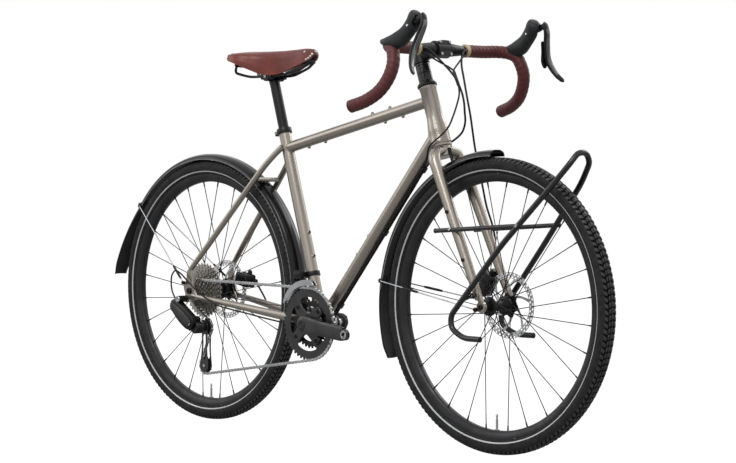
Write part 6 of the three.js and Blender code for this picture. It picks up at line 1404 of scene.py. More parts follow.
@dataclass
class Wheel:
    """One wheel with its tyre, rim, spokes, hub, valve and rotor."""

    word: str
    centre: Array
    half_spacing: float
    flanges: tuple[float, float]
    flange_radius: float
    rotor_side: float
    has_freehub: bool = False
    tyre_radius: float = TYRE_RADIUS
    rim_inner: float = 297
    rim_wall: tuple = ((317, 14), (315.8, 14), (311, 13.6), (305, 11.9), (300, 8.9), (297.6, 6.4), (297, 4.6))
    rim_well: tuple = ((309.2, -8.5), (312.6, -11.9), (317, -12.5))
    spoke_line: tuple = ((1.25, 0), (1.25, 0.03), (1.25, 0.1), (1.1, 0.16), (1.1, 0.84), (1.25, 0.9), (1.25, 1.0))
    spokes: int = 28
    pitches: int = 150
    pitch_rows: int = 11
    tread_depth: float = 3.2
    wall_line: tuple = ((14.2, 317.3), (17.5, 322), (21.2, 329), (22.5, 337.5), (21.0, 344.4), (16.2, 350.8),
                        (8, 354.3), (0, 355))
    round_centre: float = 334
    tread_edge: float = 23.4
    ribs_from: float = 4.6
    shoulder_from: float = 12.2
    cells: int = 40
    cell_rows: tuple = ((65.5, 72.6, 0.0), (72.6, 80.0, 0.5))
    disc_half: float = 0.9
    arm_lean: float = 0.62
    arm_start: float = 0.2
    stripe: tuple = ((323.6, 18.35), (323.6, 19.15), (326.6, 20.75), (326.6, 19.9))
    valve_profile: tuple = ((3, 0), (3, 14.5), (3.0, 28), (2.2, 29), (2.2, 33), (3.1, 33.6), (3.1, 38), (2.0, 40))
    nut_profile: tuple = ((3.1, 0.4), (5.8, 0.4), (6.2, 0.9), (6.2, 2.6), (5.6, 3.2), (3.1, 3.2))
    lock_profile: tuple = ((12.5, 1.0), (20.5, 1.0), (21.3, 1.8), (21.3, 3.4), (19.8, 4.4), (12.5, 4.4))
    head_profile: tuple = ((0.4, -1.3), (1.7, -1.0), (1.9, -0.2), (1.15, 0.4))
    nipple_profile: tuple = ((1.5, -15), (1.9, -14.4), (1.9, -9), (2.1, -8.6), (2.1, -3.4), (3.0, -2.6), (3.0, -1.2))
    cap_profile: tuple = ((6.3, 0.3), (9.2, 0.3), (10, 1.1), (10, 4.4), (8.8, 5.2))

    def tyre(self) -> tuple[Shell, Array]:
        """A tyre whose tread is a height field over its round section.

        Depth is the largest of three groove families: ribs at fixed sides, slanted cuts in the middle,
        and straight cuts on the shoulders half a pitch later; each groove is 1 - (distance / width)^4,
        cut at zero, and fades out where the wall starts.
        """
        half = np.array(self.wall_line)
        dense = smooth_line(np.vstack([half * [-1, 1], half[::-1][1:]]), 600)
        run = np.concatenate([[0], np.cumsum(np.linalg.norm(np.diff(dense, axis=0), axis=1))])
        run = run - run[-1] / 2
        fine = np.linspace(-self.tread_edge, self.tread_edge, 41)
        wall = np.linspace(25, run[-1], 9)
        places = np.concatenate([-wall[::-1], fine, wall])
        side, radius = np.interp(places, run, dense[:, 0]), np.interp(places, run, dense[:, 1])
        rows = self.pitches * self.pitch_rows
        turn = np.arange(rows)[:, None] / self.pitch_rows
        across = np.abs(places[None, :])

        def groove(distance: Array, width: float) -> Array:
            """Share of the full depth at a distance from a groove's middle."""
            return np.clip(1 - (distance / width) ** 4, 0, 1)

        def to_cut(phase: Array) -> Array:
            """Distance round the tyre to the nearest cut of a family."""
            pitch = 2 * np.pi * self.tyre_radius / self.pitches
            return np.abs((turn + phase + 0.5) % 1.0 - 0.5) * pitch

        rib = np.maximum(groove(np.abs(across - self.ribs_from), 1.5),
                         groove(np.abs(across - self.shoulder_from), 1.4))
        ribbed, shoulder = across >= self.ribs_from, across >= self.shoulder_from
        middle = groove(to_cut(across / 11), 1.9) * ~ribbed * 0.7
        inner = groove(to_cut(0.3 + (across - 8) / 13), 2.4) * (ribbed & ~shoulder)
        outer = groove(to_cut(0.75 - (across - 12) / 26), 3.1) * shoulder
        fade = np.clip((23.5 - across) / 3.0, 0, 1)
        depth = self.tread_depth * np.maximum.reduce([rib * np.ones_like(turn), middle, inner, outer]) * fade
        ribs = 0.25 * (np.sin(across * 2.4) > 0.75) * np.clip((across - 40) / 4, 0, 1)
        angle = turn / self.pitches * 2 * np.pi
        inward = unit(np.stack([side, radius - self.round_centre], -1))
        deep_side = side[None] - inward[:, 0] * (depth - ribs)
        deep_radius = radius[None] - inward[:, 1] * (depth - ribs)
        shell = grid(polar(deep_radius, angle, deep_side), closed=True).moved(self.centre)
        # Face finish index: 0 for the wall, 1 for the tread tops painted paler as painted light, 2 for the deep
        # grooves painted near black as painted shade.
        kind = np.where(depth > 0.5 * self.tread_depth, 2, (across < 23) * np.ones_like(turn)).ravel()
        return shell, np.median(kind[shell.quads], axis=1).astype(int)

    def ring_of(self, profile: Sequence[Sequence[float]]) -> Shell:
        """A closed (radius, side) profile turned about the axle."""
        return turned(profile, self.centre, LEFT, 180, ring=True)

    def rim(self) -> Shell:
        """The rim's hooked channel and its tapering walls."""
        wall, well = list(self.rim_wall), list(self.rim_well)
        return self.ring_of(wall + [(r, -s) for r, s in wall[::-1]] + well[::-1] + [(r, -s) for r, s in well])

    def spoke_ends(self) -> tuple[Array, Array]:
        """Hub ends and rim ends of all spokes, laced two cross."""
        index = np.arange(self.spokes)
        sign = np.where(index % 2 == 0, 1.0, -1.0)
        lead = np.where((index // 2) % 2 == 0, 1.0, -1.0)
        step = 2 * np.pi / self.spokes
        rim_angle = -np.pi / 2 + step / 2 + index * step
        hub_angle = rim_angle + lead * 4 * step
        flange = np.where(sign > 0, self.flanges[1], self.flanges[0])
        hub = polar(self.flange_radius - 3.2, hub_angle, flange + lead * sign * 1.7)
        rim = polar(self.rim_inner + 3, rim_angle, sign * 1.6)
        return hub + self.centre, rim + self.centre

    def lacing(self) -> tuple[Shell, Shell]:
        """Spokes as thin tubes with butted ends, and nipples with flats, all as whole arrays."""
        hub, rim = self.spoke_ends()
        along = unit(rim - hub)
        side = unit(np.cross(along, LEFT))
        frames = np.stack([side, np.cross(along, side), along], -1)
        length = float(np.linalg.norm(rim - hub, axis=1).mean())
        spoke = turned(np.array(self.spoke_line) * [1, length], np.zeros(3), UP, 10)
        head = turned(self.head_profile, np.zeros(3), UP, 12)
        nipple = turned(self.nipple_profile, np.zeros(3), UP, 8)
        wires = joined(spoke.copies(frames, hub), head.copies(frames, hub))
        return wires, nipple.copies(frames, rim)

    def hub(self) -> tuple[Shell, Shell]:
        """The hub shell with its flanges, and its end caps."""
        r, half, rotor = self.flange_radius, self.half_spacing, self.rotor_side
        low, high = self.flanges
        body = [(10.5, low - 8), (13.5, low - 7.4), (13.8, low - 3.2), (r - 1.2, low - 2.4), (r, low - 1.6),
                (r, low + 1.6), (r - 1.2, low + 2.4), (16.5, low + 4.2), (13.2, low + 9), (12.6, low + 14),
                (12.6, high - 14), (13.2, high - 9), (16.5, high - 4.2), (r - 1.2, high - 2.4), (r, high - 1.6),
                (r, high + 1.6), (r - 1.2, high + 2.4), (17.2, high + 3.2), (17.2, rotor + 1.6),
                (16.2, rotor + 2.4), (10.5, rotor + 2.6)]
        start = low - 3 if self.has_freehub else low - 7
        right = [(radius, deep - half) for radius, deep in self.cap_profile] + [(8.8, start)]
        left = [(8.8, rotor + 1)] + [(radius, half - deep) for radius, deep in self.cap_profile[::-1]]
        caps = [turned(profile, self.centre, LEFT, 48) for profile in (right, left)]
        return turned(body, self.centre, LEFT, 64), joined(*caps)

    def valve(self) -> Shell:
        """A narrow valve at the bottom of the wheel, with its cap and the round nut on the rim."""
        foot = self.centre - UP * (self.rim_inner + 1)
        nut = turned(self.nut_profile, foot + UP * 0.8, UP, 24, ring=True)
        return joined(turned(self.valve_profile, foot, UP, 24), nut)

    def rotor(self) -> tuple[Shell, Shell, Shell]:
        """The brake rotor: a drilled band of cells, bent arms, a dark carrier and its lock ring.

        Each cell is the piece between a circle and a sector of the band; the arms follow
        angle = start + lean * (share)^1.3 as the radius falls from the band to the carrier.
        """
        thick, middle = self.disc_half, self.centre + LEFT * self.rotor_side
        step = 2 * np.pi / self.cells
        around = circle(24)
        corner = np.sign(around) * np.minimum(np.abs(around) * 1.42, 1)
        cells = []
        for low, high, start in self.cell_rows:
            outer = flat((low + high) / 2 + corner[:, 0] * (high - low) / 2, corner[:, 1] * step / 2)
            hole = np.column_stack([(low + high) / 2 + 2.35 * around[:, 0], 3.1 * around[:, 1]])
            rows = rows_at([(outer, -thick), (outer, thick), (hole, thick), (hole, -thick)])
            cells.append(ringed(grid(rows, closed=True), self.cells, start * step, middle))
        share = np.linspace(0, 1, 14)
        line = flat(67 - 40 * share, self.arm_lean * share ** 1.3)
        across = unit(np.gradient(line, axis=0)) @ np.array([[0, 1], [-1, 0]])
        width = (4.4 - 1.6 * np.sin(np.pi * share))[:, None]
        outline = np.vstack([line + across * width, (line - across * width)[::-1]])
        arms = ringed(slab(outline, -0.8, 0.8, 0.25), 6, self.arm_start, middle)
        lobes = np.linspace(0, 2 * np.pi, 120, endpoint=False)
        outer = flat(27.5 + 3.5 * np.cos(6 * (lobes - self.arm_start - self.arm_lean)), lobes)
        carrier = band(outer, circle(120) * 17.6, -1.2, 1.2, 0.35).moved(middle)
        return joined(*cells, arms), carrier, turned(self.lock_profile, middle, LEFT, 48, ring=True)

    def build(self) -> None:
        """Makes the wheel's pieces."""
        body, word = f"{self.word}_wheel", self.word
        shell, tread_light_shade_index = self.tyre()
        tyre = make(f"{word}_tyre_tread", shell, TYRE_RUBBER, body, [f"{word}_tyre"], crease=28)
        # The tread tops take a painted light finish and the deep grooves take a painted shade finish.
        for finish in (TREAD_TOPS_PAINTED_LIGHT, GROOVE_PAINTED_SHADE):
            tyre.data.materials.append(finish.material())
        tyre.data.polygons.foreach_set("material_index", tread_light_shade_index)
        stripe = self.stripe, [(r, -s) for r, s in (self.stripe[0], *self.stripe[:0:-1])]
        make(f"{word}_tyre_stripe", joined(*[self.ring_of(p) for p in stripe]), REFLECTIVE, body)
        make(f"{word}_rim_profile", self.rim(), RIM_ALLOY, body, [f"{word}_rim"])
        wires, nipples = self.lacing()
        make(f"{word}_spokes", wires, SPOKE_BLACK, body, [f"{word}_hub_and_spokes"])
        make(f"{word}_nipples", nipples, SPOKE_BLACK, body)
        shell, caps = self.hub()
        make(f"{word}_hub_shell", shell, BLACK_ALLOY, body)
        make(f"{word}_hub_caps", caps, BLACK_GLOSS, body)
        make(f"{word}_valve", self.valve(), STEEL, body)
        disc, carrier, lock = self.rotor()
        make(f"{word}_rotor_disc", disc, ROTOR_STEEL, body, [f"{word}_rotor"])
        make(f"{word}_rotor_carrier", carrier, BLACK_ALLOY, body)
        make(f"{word}_rotor_lockring", lock, BLACK_GLOSS, body)


PITCH = 12.7
VALLEY_DEPTH = 3.9
TIP_RISE = 2.6


def pitch_radius(teeth: int) -> float:
    """Radius of the circle through the chain's pins on a wheel: pitch / (2 sin(pi / teeth))."""
    return PITCH / (2 * math.sin(math.pi / teeth))


def toothed(teeth: int, valley: float, per_tooth: int = 10) -> Array:
    """Outline of a sprocket.

    Over one tooth the radius is the pitch radius minus the depth of the round valley and plus the
    rise of the tip, joined by (1 - cos)/2 raised to 0.8.

    Args:
        teeth: Number of teeth.
        valley: Angle of one valley.
        per_tooth: Points for each tooth.

    Returns:
        The outline's corners in the x-z plane.
    """
    radius = pitch_radius(teeth)
    share = np.arange(teeth * per_tooth) / per_tooth
    rise = ((1 - np.cos(2 * np.pi * share)) / 2) ** 0.8
    height = VALLEY_DEPTH + min(TIP_RISE, radius * 0.09)
    return flat(radius - VALLEY_DEPTH + height * np.clip(rise * 1.15 - 0.05, 0, 1),
                valley + share * 2 * np.pi / teeth)


@dataclass
class Drivetrain:
    """Cranks, chainrings, chain, cassette and both derailleurs."""

    outer_teeth: int = 46
    inner_teeth: int = 30
    outer_side: float = -49
    inner_side: float = -42
    cogs: tuple = (11, 13, 15, 17, 19, 21, 24, 27, 30, 33, 36)
    chain_cog: int = 15
    cog_spacing: float = 3.74
    cog_start: float = -63
    pulley_drop: tuple[float, float] = (47, -97)
    pulley_lean: float = math.radians(2)
    pulley_gap: float = 105
    arm_side: float = 68
    arm_rise: float = 13
    arm_half: tuple[float, float] = (22.5, 6.5)
    sheath_side: float = 102.4
    upper_pivot: tuple[float, float] = (-18, -18)
    link_angle: float = math.radians(-34)
    link_length: float = 80
    cage_sides: tuple = ((-7.3, -5.5), (5.5, 7.3))
    bolt_ring: float = 54
    inner_bolt_ring: float = 40
    pulley_teeth: int = 11
    link_shares: tuple = ((-0.2, 7, 3), (-0.12, 14, 5.5), (0.1, 18, 7), (0.4, 22, 7.5), (0.72, 23.5, 7.5),
                          (1.0, 21, 7.2), (1.14, 15, 6), (1.2, 8, 4))
    arm_shares: tuple = ((-0.105, 0.35, 0.8), (-0.07, 0.8, 1), (0, 1, 1.05), (0.12, 0.96, 1.05), (0.4, 0.86, 1),
                         (0.9, 0.8, 0.95), (0.955, 0.74, 0.9))
    eye_profile: tuple = ((7.2, 76.2), (12.6, 76.2), (14.2, 77.6), (14.2, 86.0), (13.0, 87.3), (7.2, 87.3))
    washer_profile: tuple = ((7.0, 86.0), (10.6, 86.0), (10.6, 87.4), (10.0, 87.5), (7.0, 87.5))
    spider_profile: tuple = ((12.2, -50.4), (21.4, -50.4), (22.3, -51.3), (22.3, -58), (21, -61), (12.2, -61))
    spindle_profile: tuple = ((11.4, -62), (12, -61.4), (12, 68.6), (11, 69.4))
    cover_profile: tuple = ((16.8, 74.9), (16.8, 75.6), (15.6, 76.3), (9.4, 76.5), (8.6, 75.4), (6.0, 75.3))
    bolt_profile: tuple = ((3.6, 56.2), (5.6, 56.2), (5.8, 56.6), (5.8, 57.6), (5.0, 58.2), (2.9, 58.2), (2.7, 56.8))
    inner_bolt_profile: tuple = ((4.6, 40.2), (5.2, 40.8), (5.2, 43.6), (3.9, 44), (3.9, 50.4))
    carrier_profile: tuple = ((16.7, -62), (19.5, -62), (19.5, -47), (27, -45.5), (27, -40), (36, -38), (36, -24.4),
                              (16.7, -24.4))
    lock_profile: tuple = ((11.5, -64.9), (15.6, -64.9), (16.4, -64.2), (16.4, -62), (11.5, -62))
    axle_profile: tuple = ((2.6, -8.2), (4.2, -8.2), (4.2, -7.2), (2.0, -7.0), (2.0, 7.4))
    sheath_cap_profile: tuple = ((2.6, 0), (5.6, 0), (5.6, 1.6), (4.6, 2.2), (2.6, 2.2))
    drum_profile: tuple = ((8, -100), (14.5, -100), (16.5, -98), (16.5, -78), (15, -76), (8, -76))
    mount_profile: tuple = ((8.4, 105.8), (8.8, 106.4), (8.8, 107.6), (8.0, 108.4), (4.4, 108.4), (4.0, 107))

    def chain_side(self, x: Array) -> Array:
        """The chain's y, a straight line in x between the chainring and its sprocket."""
        rear, front = LAYOUT.rear_axle[0], LAYOUT.bracket[0]
        at_cog = self.cog_start + self.cogs.index(self.chain_cog) * self.cog_spacing
        return self.outer_side + (np.asarray(x) - front) / (rear - front) * (at_cog - self.outer_side)

    def pulleys(self) -> tuple[Array, Array]:
        """Centres of the guide and tension pulley."""
        guide = LAYOUT.rear_axle + point(self.pulley_drop[0], 0, self.pulley_drop[1])
        return guide, guide - point(math.sin(self.pulley_lean), 0, math.cos(self.pulley_lean)) * self.pulley_gap

    def pins(self) -> tuple[Array, list[float]]:
        """Places of all chain pins and the angle of a valley on each wheel.

        Between wheels i and j the line's heading is that of their centres plus
        asin((s_i r_i - s_j r_j) / distance), with s the sense of turning; arcs join the lines.
        """
        guide, tension = self.pulleys()
        wheels = [(LAYOUT.bracket, self.outer_teeth, 1), (LAYOUT.rear_axle, self.chain_cog, 1),
                  (guide, self.pulley_teeth, -1), (tension, self.pulley_teeth, 1)]
        centres = np.array([w[0][[0, 2]] for w in wheels])
        radii = np.array([pitch_radius(w[1]) for w in wheels])
        sense = np.array([w[2] for w in wheels])
        across = np.roll(centres, -1, 0) - centres
        signed = sense * radii
        heading = np.arctan2(across[:, 1], across[:, 0]) + np.arcsin(
            (signed - np.roll(signed, -1)) / np.linalg.norm(across, axis=1))
        line = []
        for i in range(4):
            start, end = heading[i - 1], heading[i]
            sweep = ((end - start) * sense[i]) % (2 * np.pi)
            angle = start + sense[i] * np.linspace(0, sweep, 90) - sense[i] * np.pi / 2
            line.append(centres[i] + flat(radii[i], angle))
        loop = np.vstack(line + [line[0][:1]])
        length = float(np.linalg.norm(np.diff(loop, axis=0), axis=1).sum())
        count = int(round(length / PITCH / 2)) * 2
        spots = even(loop, count + 1)[:-1]
        valleys = []
        for centre, radius in zip(centres, radii):
            off = spots - centre
            near = np.abs(np.linalg.norm(off, axis=1) - radius) < 0.3
            chosen = off[near][near.sum() // 2] if near.any() else np.array([1.0, 0.0])
            valleys.append(math.atan2(chosen[1], chosen[0]))
        return np.column_stack([spots[:, 0], self.chain_side(spots[:, 0]), spots[:, 1]]), valleys

    def link(self, low: float, high: float, radius: float, waist: float) -> Shell:
        """Two mirrored link plates: circles of a radius joined by a waist, one pitch apart."""
        left = flat(radius, np.radians(np.linspace(55, 305, 13)))
        right = [PITCH, 0] - left
        outline = np.vstack([left, [[PITCH / 2, -waist]], right, [[PITCH / 2, waist]]])
        plate = slab(outline, low, high, 0.2)
        return joined(plate, plate.mirrored())

    def chain(self, pins: Array) -> tuple[Shell, Shell]:
        """All links: inner and outer plates by turns, with rollers and pins."""
        ahead = np.roll(pins, -1, 0) - pins
        along = unit(ahead)
        up = unit(np.cross(along, LEFT))
        frames = np.stack([along, np.cross(up, along), up], -1)
        inner, outer = self.link(1.35, 2.0, 4.1, 3.0), self.link(2.05, 2.7, 4.0, 2.7)
        for plates in (inner, outer):
            plates.points[:, 0] *= np.linalg.norm(ahead, axis=1).mean() / PITCH
        roller = turned([(1.9, -1.3), (3.9, -1.3), (3.9, 1.3), (1.9, 1.3)], np.zeros(3), LEFT, 14, ring=True)
        pin = turned([(1.1, -2.95), (1.75, -2.75), (1.75, 2.75), (1.1, 2.95)], np.zeros(3), LEFT, 12)
        plates = joined(inner.copies(frames[::2], pins[::2]), outer.copies(frames[1::2], pins[1::2]))
        return plates, joined(roller.copies(frames, pins), pin.copies(frames, pins))

    def chainring(self, teeth: int, side: float, valley: float, bolt_circle: float, band_width: float) -> Shell:
        """A chainring: toothed outside, and an inside that dips to each bolt by exp(-(angle / 0.19)^4)."""
        outline = toothed(teeth, valley)
        angle = np.arctan2(outline[:, 1], outline[:, 0])
        plain = pitch_radius(teeth) - 4 - band_width
        from_bolt = (angle - LAYOUT.crank_angle) % (math.pi / 2) - math.pi / 4
        dip = np.exp(-(from_bolt / 0.19) ** 4)
        inner = flat(plain + (bolt_circle - 7.5 - plain) * dip, angle)
        return band(outline, inner, side - 1, side + 1, 0.3).moved(LAYOUT.bracket)

    def arm(self, side: float, angle: float) -> tuple[Shell, Shell]:
        """A crank arm with its pedal eye, and the pale ring round the pedal hole."""
        along = point(math.cos(angle), 0, math.sin(angle))
        line = smooth_line(self.arm_shares, 64)
        offset = self.arm_side + self.arm_rise * np.clip(line[:, :1], 0, 1)
        path = LAYOUT.bracket + along * (line[:, :1] * LAYOUT.crank_length) + LEFT * side * offset
        body = limb(path, line[:, 1:3] * self.arm_half, 40, 4.2, np.cross(along, LEFT))
        centre = LAYOUT.bracket + along * LAYOUT.crank_length
        eye, washer = (turned(profile, centre, LEFT * side, 48, ring=True)
                       for profile in (self.eye_profile, self.washer_profile))
        return joined(body, eye), washer

    def spider(self) -> Shell:
        """The four-armed spider behind the right arm."""
        share = np.linspace(0, 1, 12)
        half = 19.5 - 6.5 * np.sin(share * np.pi / 2)
        x = 14 + 41 * share
        tip = [55, 0] + flat(1, np.linspace(-1.3, 1.3, 9)) * [8, 12.6]
        outline = np.vstack([np.column_stack([x, -half]), tip, np.column_stack([x, half])[::-1]])
        arms = ringed(slab(outline, -56.3, -50.4, 0.9), 4, LAYOUT.crank_angle + math.pi / 4, LAYOUT.bracket)
        return joined(arms, turned(self.spider_profile, LAYOUT.bracket, LEFT, 64, ring=True))

    def cranks(self) -> None:
        """Both arms, the spindle, the spider, the caps and the ring bolts."""
        angle = LAYOUT.crank_angle
        right, right_washer = self.arm(-1, angle)
        left, left_washer = self.arm(1, angle + math.pi)
        spindle = turned(self.spindle_profile, LAYOUT.bracket, LEFT, 48)
        make("crank_right_forging", joined(right, self.spider()), GREY_ALLOY, "crank", ["crank_right"])
        make("crank_spindle", spindle, STEEL, "crank")
        make("crank_left_forging", left, GREY_ALLOY, "crank", ["crank_left"])
        make("pedal_hole_rings", joined(right_washer, left_washer), STEEL, "crank")
        covers = [turned(self.cover_profile, LAYOUT.bracket, LEFT * side, 48) for side in (-1, 1)]
        across = point(-math.sin(angle), 0, math.cos(angle))
        root = LAYOUT.bracket + point(math.cos(angle), 0, math.sin(angle)) * 14
        pinch = [hex_bolt(root + LEFT * 68 + across * s * 15.8, across * s, 3.4, 2.4) for s in (-1, 1)]
        make("crank_caps", joined(*covers), BLACK_GLOSS, "crank")
        bolts = []
        for heading in angle + math.pi / 4 + np.arange(4) * math.pi / 2:
            for ring, profile in ((self.bolt_ring, self.bolt_profile),
                                  (self.inner_bolt_ring, self.inner_bolt_profile)):
                bolts.append(turned(profile, LAYOUT.bracket + polar(ring, heading), -LEFT, 24))
        make("chainring_bolts", joined(*bolts, *pinch), RAIL_STEEL, "crank")

    def cassette(self, valley: float) -> None:
        """Eleven sprockets, their spacers and carrier, and the lock ring."""
        sprockets = []
        for i, teeth in enumerate(self.cogs):
            side = self.cog_start + i * self.cog_spacing
            start = valley if teeth == self.chain_cog else 0.37 * i
            outline = toothed(teeth, start)
            angle = np.arctan2(outline[:, 1], outline[:, 0])
            radius = pitch_radius(teeth)
            waves = 3 * np.cos(angle * 10) if radius > 44 else 0
            inner = flat(max(16.9, radius - 17) + waves, angle)
            sprockets.append(band(outline, inner, side - 0.85, side + 0.85, 0.25))
        make("cassette_sprockets", joined(*sprockets).moved(LAYOUT.rear_axle), SPROCKET_STEEL, "cassette",
             ["cassette"])
        carrier = turned(self.carrier_profile, LAYOUT.rear_axle, LEFT, 64, ring=True)
        make("cassette_carrier", carrier, BLACK_ALLOY, "cassette")
        lock = turned(self.lock_profile, LAYOUT.rear_axle, LEFT, 48, ring=True)
        make("cassette_lockring", lock, GREY_ALLOY, "cassette")

    def cage_plate(self, low: float, high: float) -> Shell:
        """A cage plate: rounded ends about both pulleys and a cut waist."""
        guide, tension = self.pulleys()
        down = unit(tension - guide)
        across = point(-down[2], 0, down[0])
        share = np.linspace(0, 1, 24)
        half = 13.6 + 3.4 * share - 4.5 * np.sin(np.pi * share)
        middle = guide + (tension - guide) * share[:, None]


        def end(centre: Array, wide: float, tall: float, angle: Array) -> Array:
            """A half oval about a pulley's centre."""
            return centre + across * (np.cos(angle) * wide)[:, None] + down * (np.sin(angle) * tall)[:, None]

        top = end(guide, 13.6, -13, np.linspace(0.1, np.pi - 0.1, 12))
        foot = end(tension, 17.0, 18.5, np.linspace(np.pi - 0.1, 0.1, 14))
        right = middle + across * half[:, None]
        left = middle - across * half[:, None]
        outline = np.vstack([top, left, foot, right[::-1]])[:, [0, 2]]
        slot = middle.mean(0)[[0, 2]] + (outline - middle.mean(0)[[0, 2]]) * 0.5
        return band(outline, slot, low, high, 0.35)

    def pulley(self, centre: Array, valley: float) -> tuple[Shell, Shell]:
        """A jockey wheel and its bearing cap."""
        place = centre + LEFT * float(self.chain_side(centre[0]))
        outline = toothed(self.pulley_teeth, valley, 12)
        wheel = band(outline, unit(outline) * 6.2, -1.15, 1.15, 0.3).moved(place)
        return wheel, collar(place, LEFT, 2.2, 6.1, (-3.6, 3.6), (0.7, 0.6), 32)

    def rear_derailleur(self, valleys: Sequence[float]) -> None:
        """Knuckles and links, softened, with the cage, pulleys and bolts of their own."""
        for node, body in (("derailleur_mounting_knuckle", "frame"), ("derailleur_inner_link", "inner_link"),
                           ("derailleur_lower_knuckle", "lower_knuckle")):
            refined(node, BLACK_ALLOY, body, 0.8)
        guide, tension = self.pulleys()
        side = float(self.chain_side(guide[0]))
        plates = joined(*[self.cage_plate(side + low, side + high) for low, high in self.cage_sides])
        make("derailleur_cage_plates", plates, GREY_ALLOY, "cage", ["derailleur_cage"])
        axles = [turned(self.axle_profile, centre + LEFT * side, LEFT, 20) for centre in (guide, tension)]
        make("pulley_axles", joined(*axles), STEEL, "cage")
        for name, centre, valley in (("guide", guide, valleys[2]), ("tension", tension, valleys[3])):
            wheel, cap = self.pulley(centre, valley)
            make(f"{name}_pulley_wheel", wheel, NYLON, f"{name}_pulley", [f"{name}_pulley"])
            make(f"{name}_pulley_bearing", cap, STEEL, f"{name}_pulley")
        upper = LAYOUT.hanger + point(self.upper_pivot[0], 0, self.upper_pivot[1])
        lower = upper + polar(self.link_length, self.link_angle)
        rows = np.array(self.link_shares)
        line = smooth_line(np.column_stack([upper + (lower - upper) * rows[:, :1], rows[:, 1:]]), 48)
        line[:, 1] = -self.sheath_side
        sheath = limb(line[:, :3], line[:, 3:5], 40, 4.6, UP)
        make("derailleur_outer_sheath", sheath, BLACK_ALLOY, "outer_link", ["derailleur_outer_link"])
        middle = line[6:42]
        ridge = limb(middle[:, :3] - LEFT * 7.9, middle[:, 3:5] * [0.5, 0.28], 40, 2.6, UP)
        make("derailleur_sheath_ridge", ridge, GREY_ALLOY, "outer_link")
        caps = [turned(self.sheath_cap_profile, line[i, :3] - LEFT * 7.4, -LEFT, 28) for i in (9, 40)]
        make("derailleur_sheath_caps", joined(*caps), STEEL, "outer_link")
        make("derailleur_spring_drum", turned(self.drum_profile, guide, LEFT, 48), BLACK_ALLOY, "lower_knuckle")
        make("derailleur_mount_bolt", turned(self.mount_profile, LAYOUT.hanger, -LEFT, 32), STEEL, "frame")
        pivots = [hex_bolt(p - LEFT * self.sheath_side, -LEFT, 3.6, 1.6) for p in (upper, lower)]
        make("derailleur_link_pins", joined(*pivots), STEEL, "outer_link")

    def cage_arch(self) -> Shell:
        """The front cage: two plates round the ring whose tails drop behind it, joined at both ends.

        The outer edge's radius falls by 9 * s^2 over the tail, s the share past 112 degrees.
        """
        angle = np.radians(np.linspace(76, 150, 60))
        tail = np.clip((np.degrees(angle) - 112) / 38, 0, 1)
        nose = np.clip((86 - np.degrees(angle)) / 10, 0, 1)
        outer = 114 - 9 * tail ** 2 - 9 * nose ** 2
        inner = 99 + 3 * nose
        outline = np.vstack([flat(outer, angle), flat(inner, angle)[::-1]])
        plates = joined(slab(outline, -45.6, -44.2, 0.3), slab(outline, -57.4, -56.0, 0.3))
        top = polar(np.full(20, 110.5), np.radians(np.linspace(84, 104, 20)), -50.8)
        bridge = swept(top, rounded_square(20, 5.0) * [6.4, 0.9], LEFT)
        pin = turned([(2.6, -57.6), (2.6, -44)], polar(102, math.radians(147)), LEFT, 16)
        return joined(plates, bridge, pin).moved(LAYOUT.bracket)

    def front_derailleur(self) -> None:
        """The band, body and cage, softened, with clamp bolts."""
        refined("front_derailleur_body", BLACK_ALLOY, "frame", 0.6)
        make("front_derailleur_plates", self.cage_arch(), STEEL, "front_derailleur_cage", ["front_derailleur_cage"])
        clamp = hex_bolt(LAYOUT.on_seat(131, -15, 19.6), LEFT, 3.2, 2.4)
        make("front_derailleur_clamp_bolt", clamp, STEEL, "frame")

    def build(self) -> None:
        """Makes the drivetrain's pieces."""
        pins, valleys = self.pins()
        plates, rollers = self.chain(pins)
        make("chain_plates", plates, STEEL, "frame", ["chain"])
        make("chain_rollers", rollers, SPROCKET_STEEL, "frame")
        outer = self.chainring(self.outer_teeth, self.outer_side, valleys[0], self.bolt_ring, 19.5)
        make("outer_chainring", outer, GREY_ALLOY, "crank", ["chainring_outer"])
        inner = self.chainring(self.inner_teeth, self.inner_side, 0.1, self.inner_bolt_ring, 12)
        make("inner_chainring", inner, BLACK_ALLOY, "crank", ["chainring_inner"])
        self.cranks()
        self.cassette(valleys[1])
        self.rear_derailleur(valleys)
        self.front_derailleur()


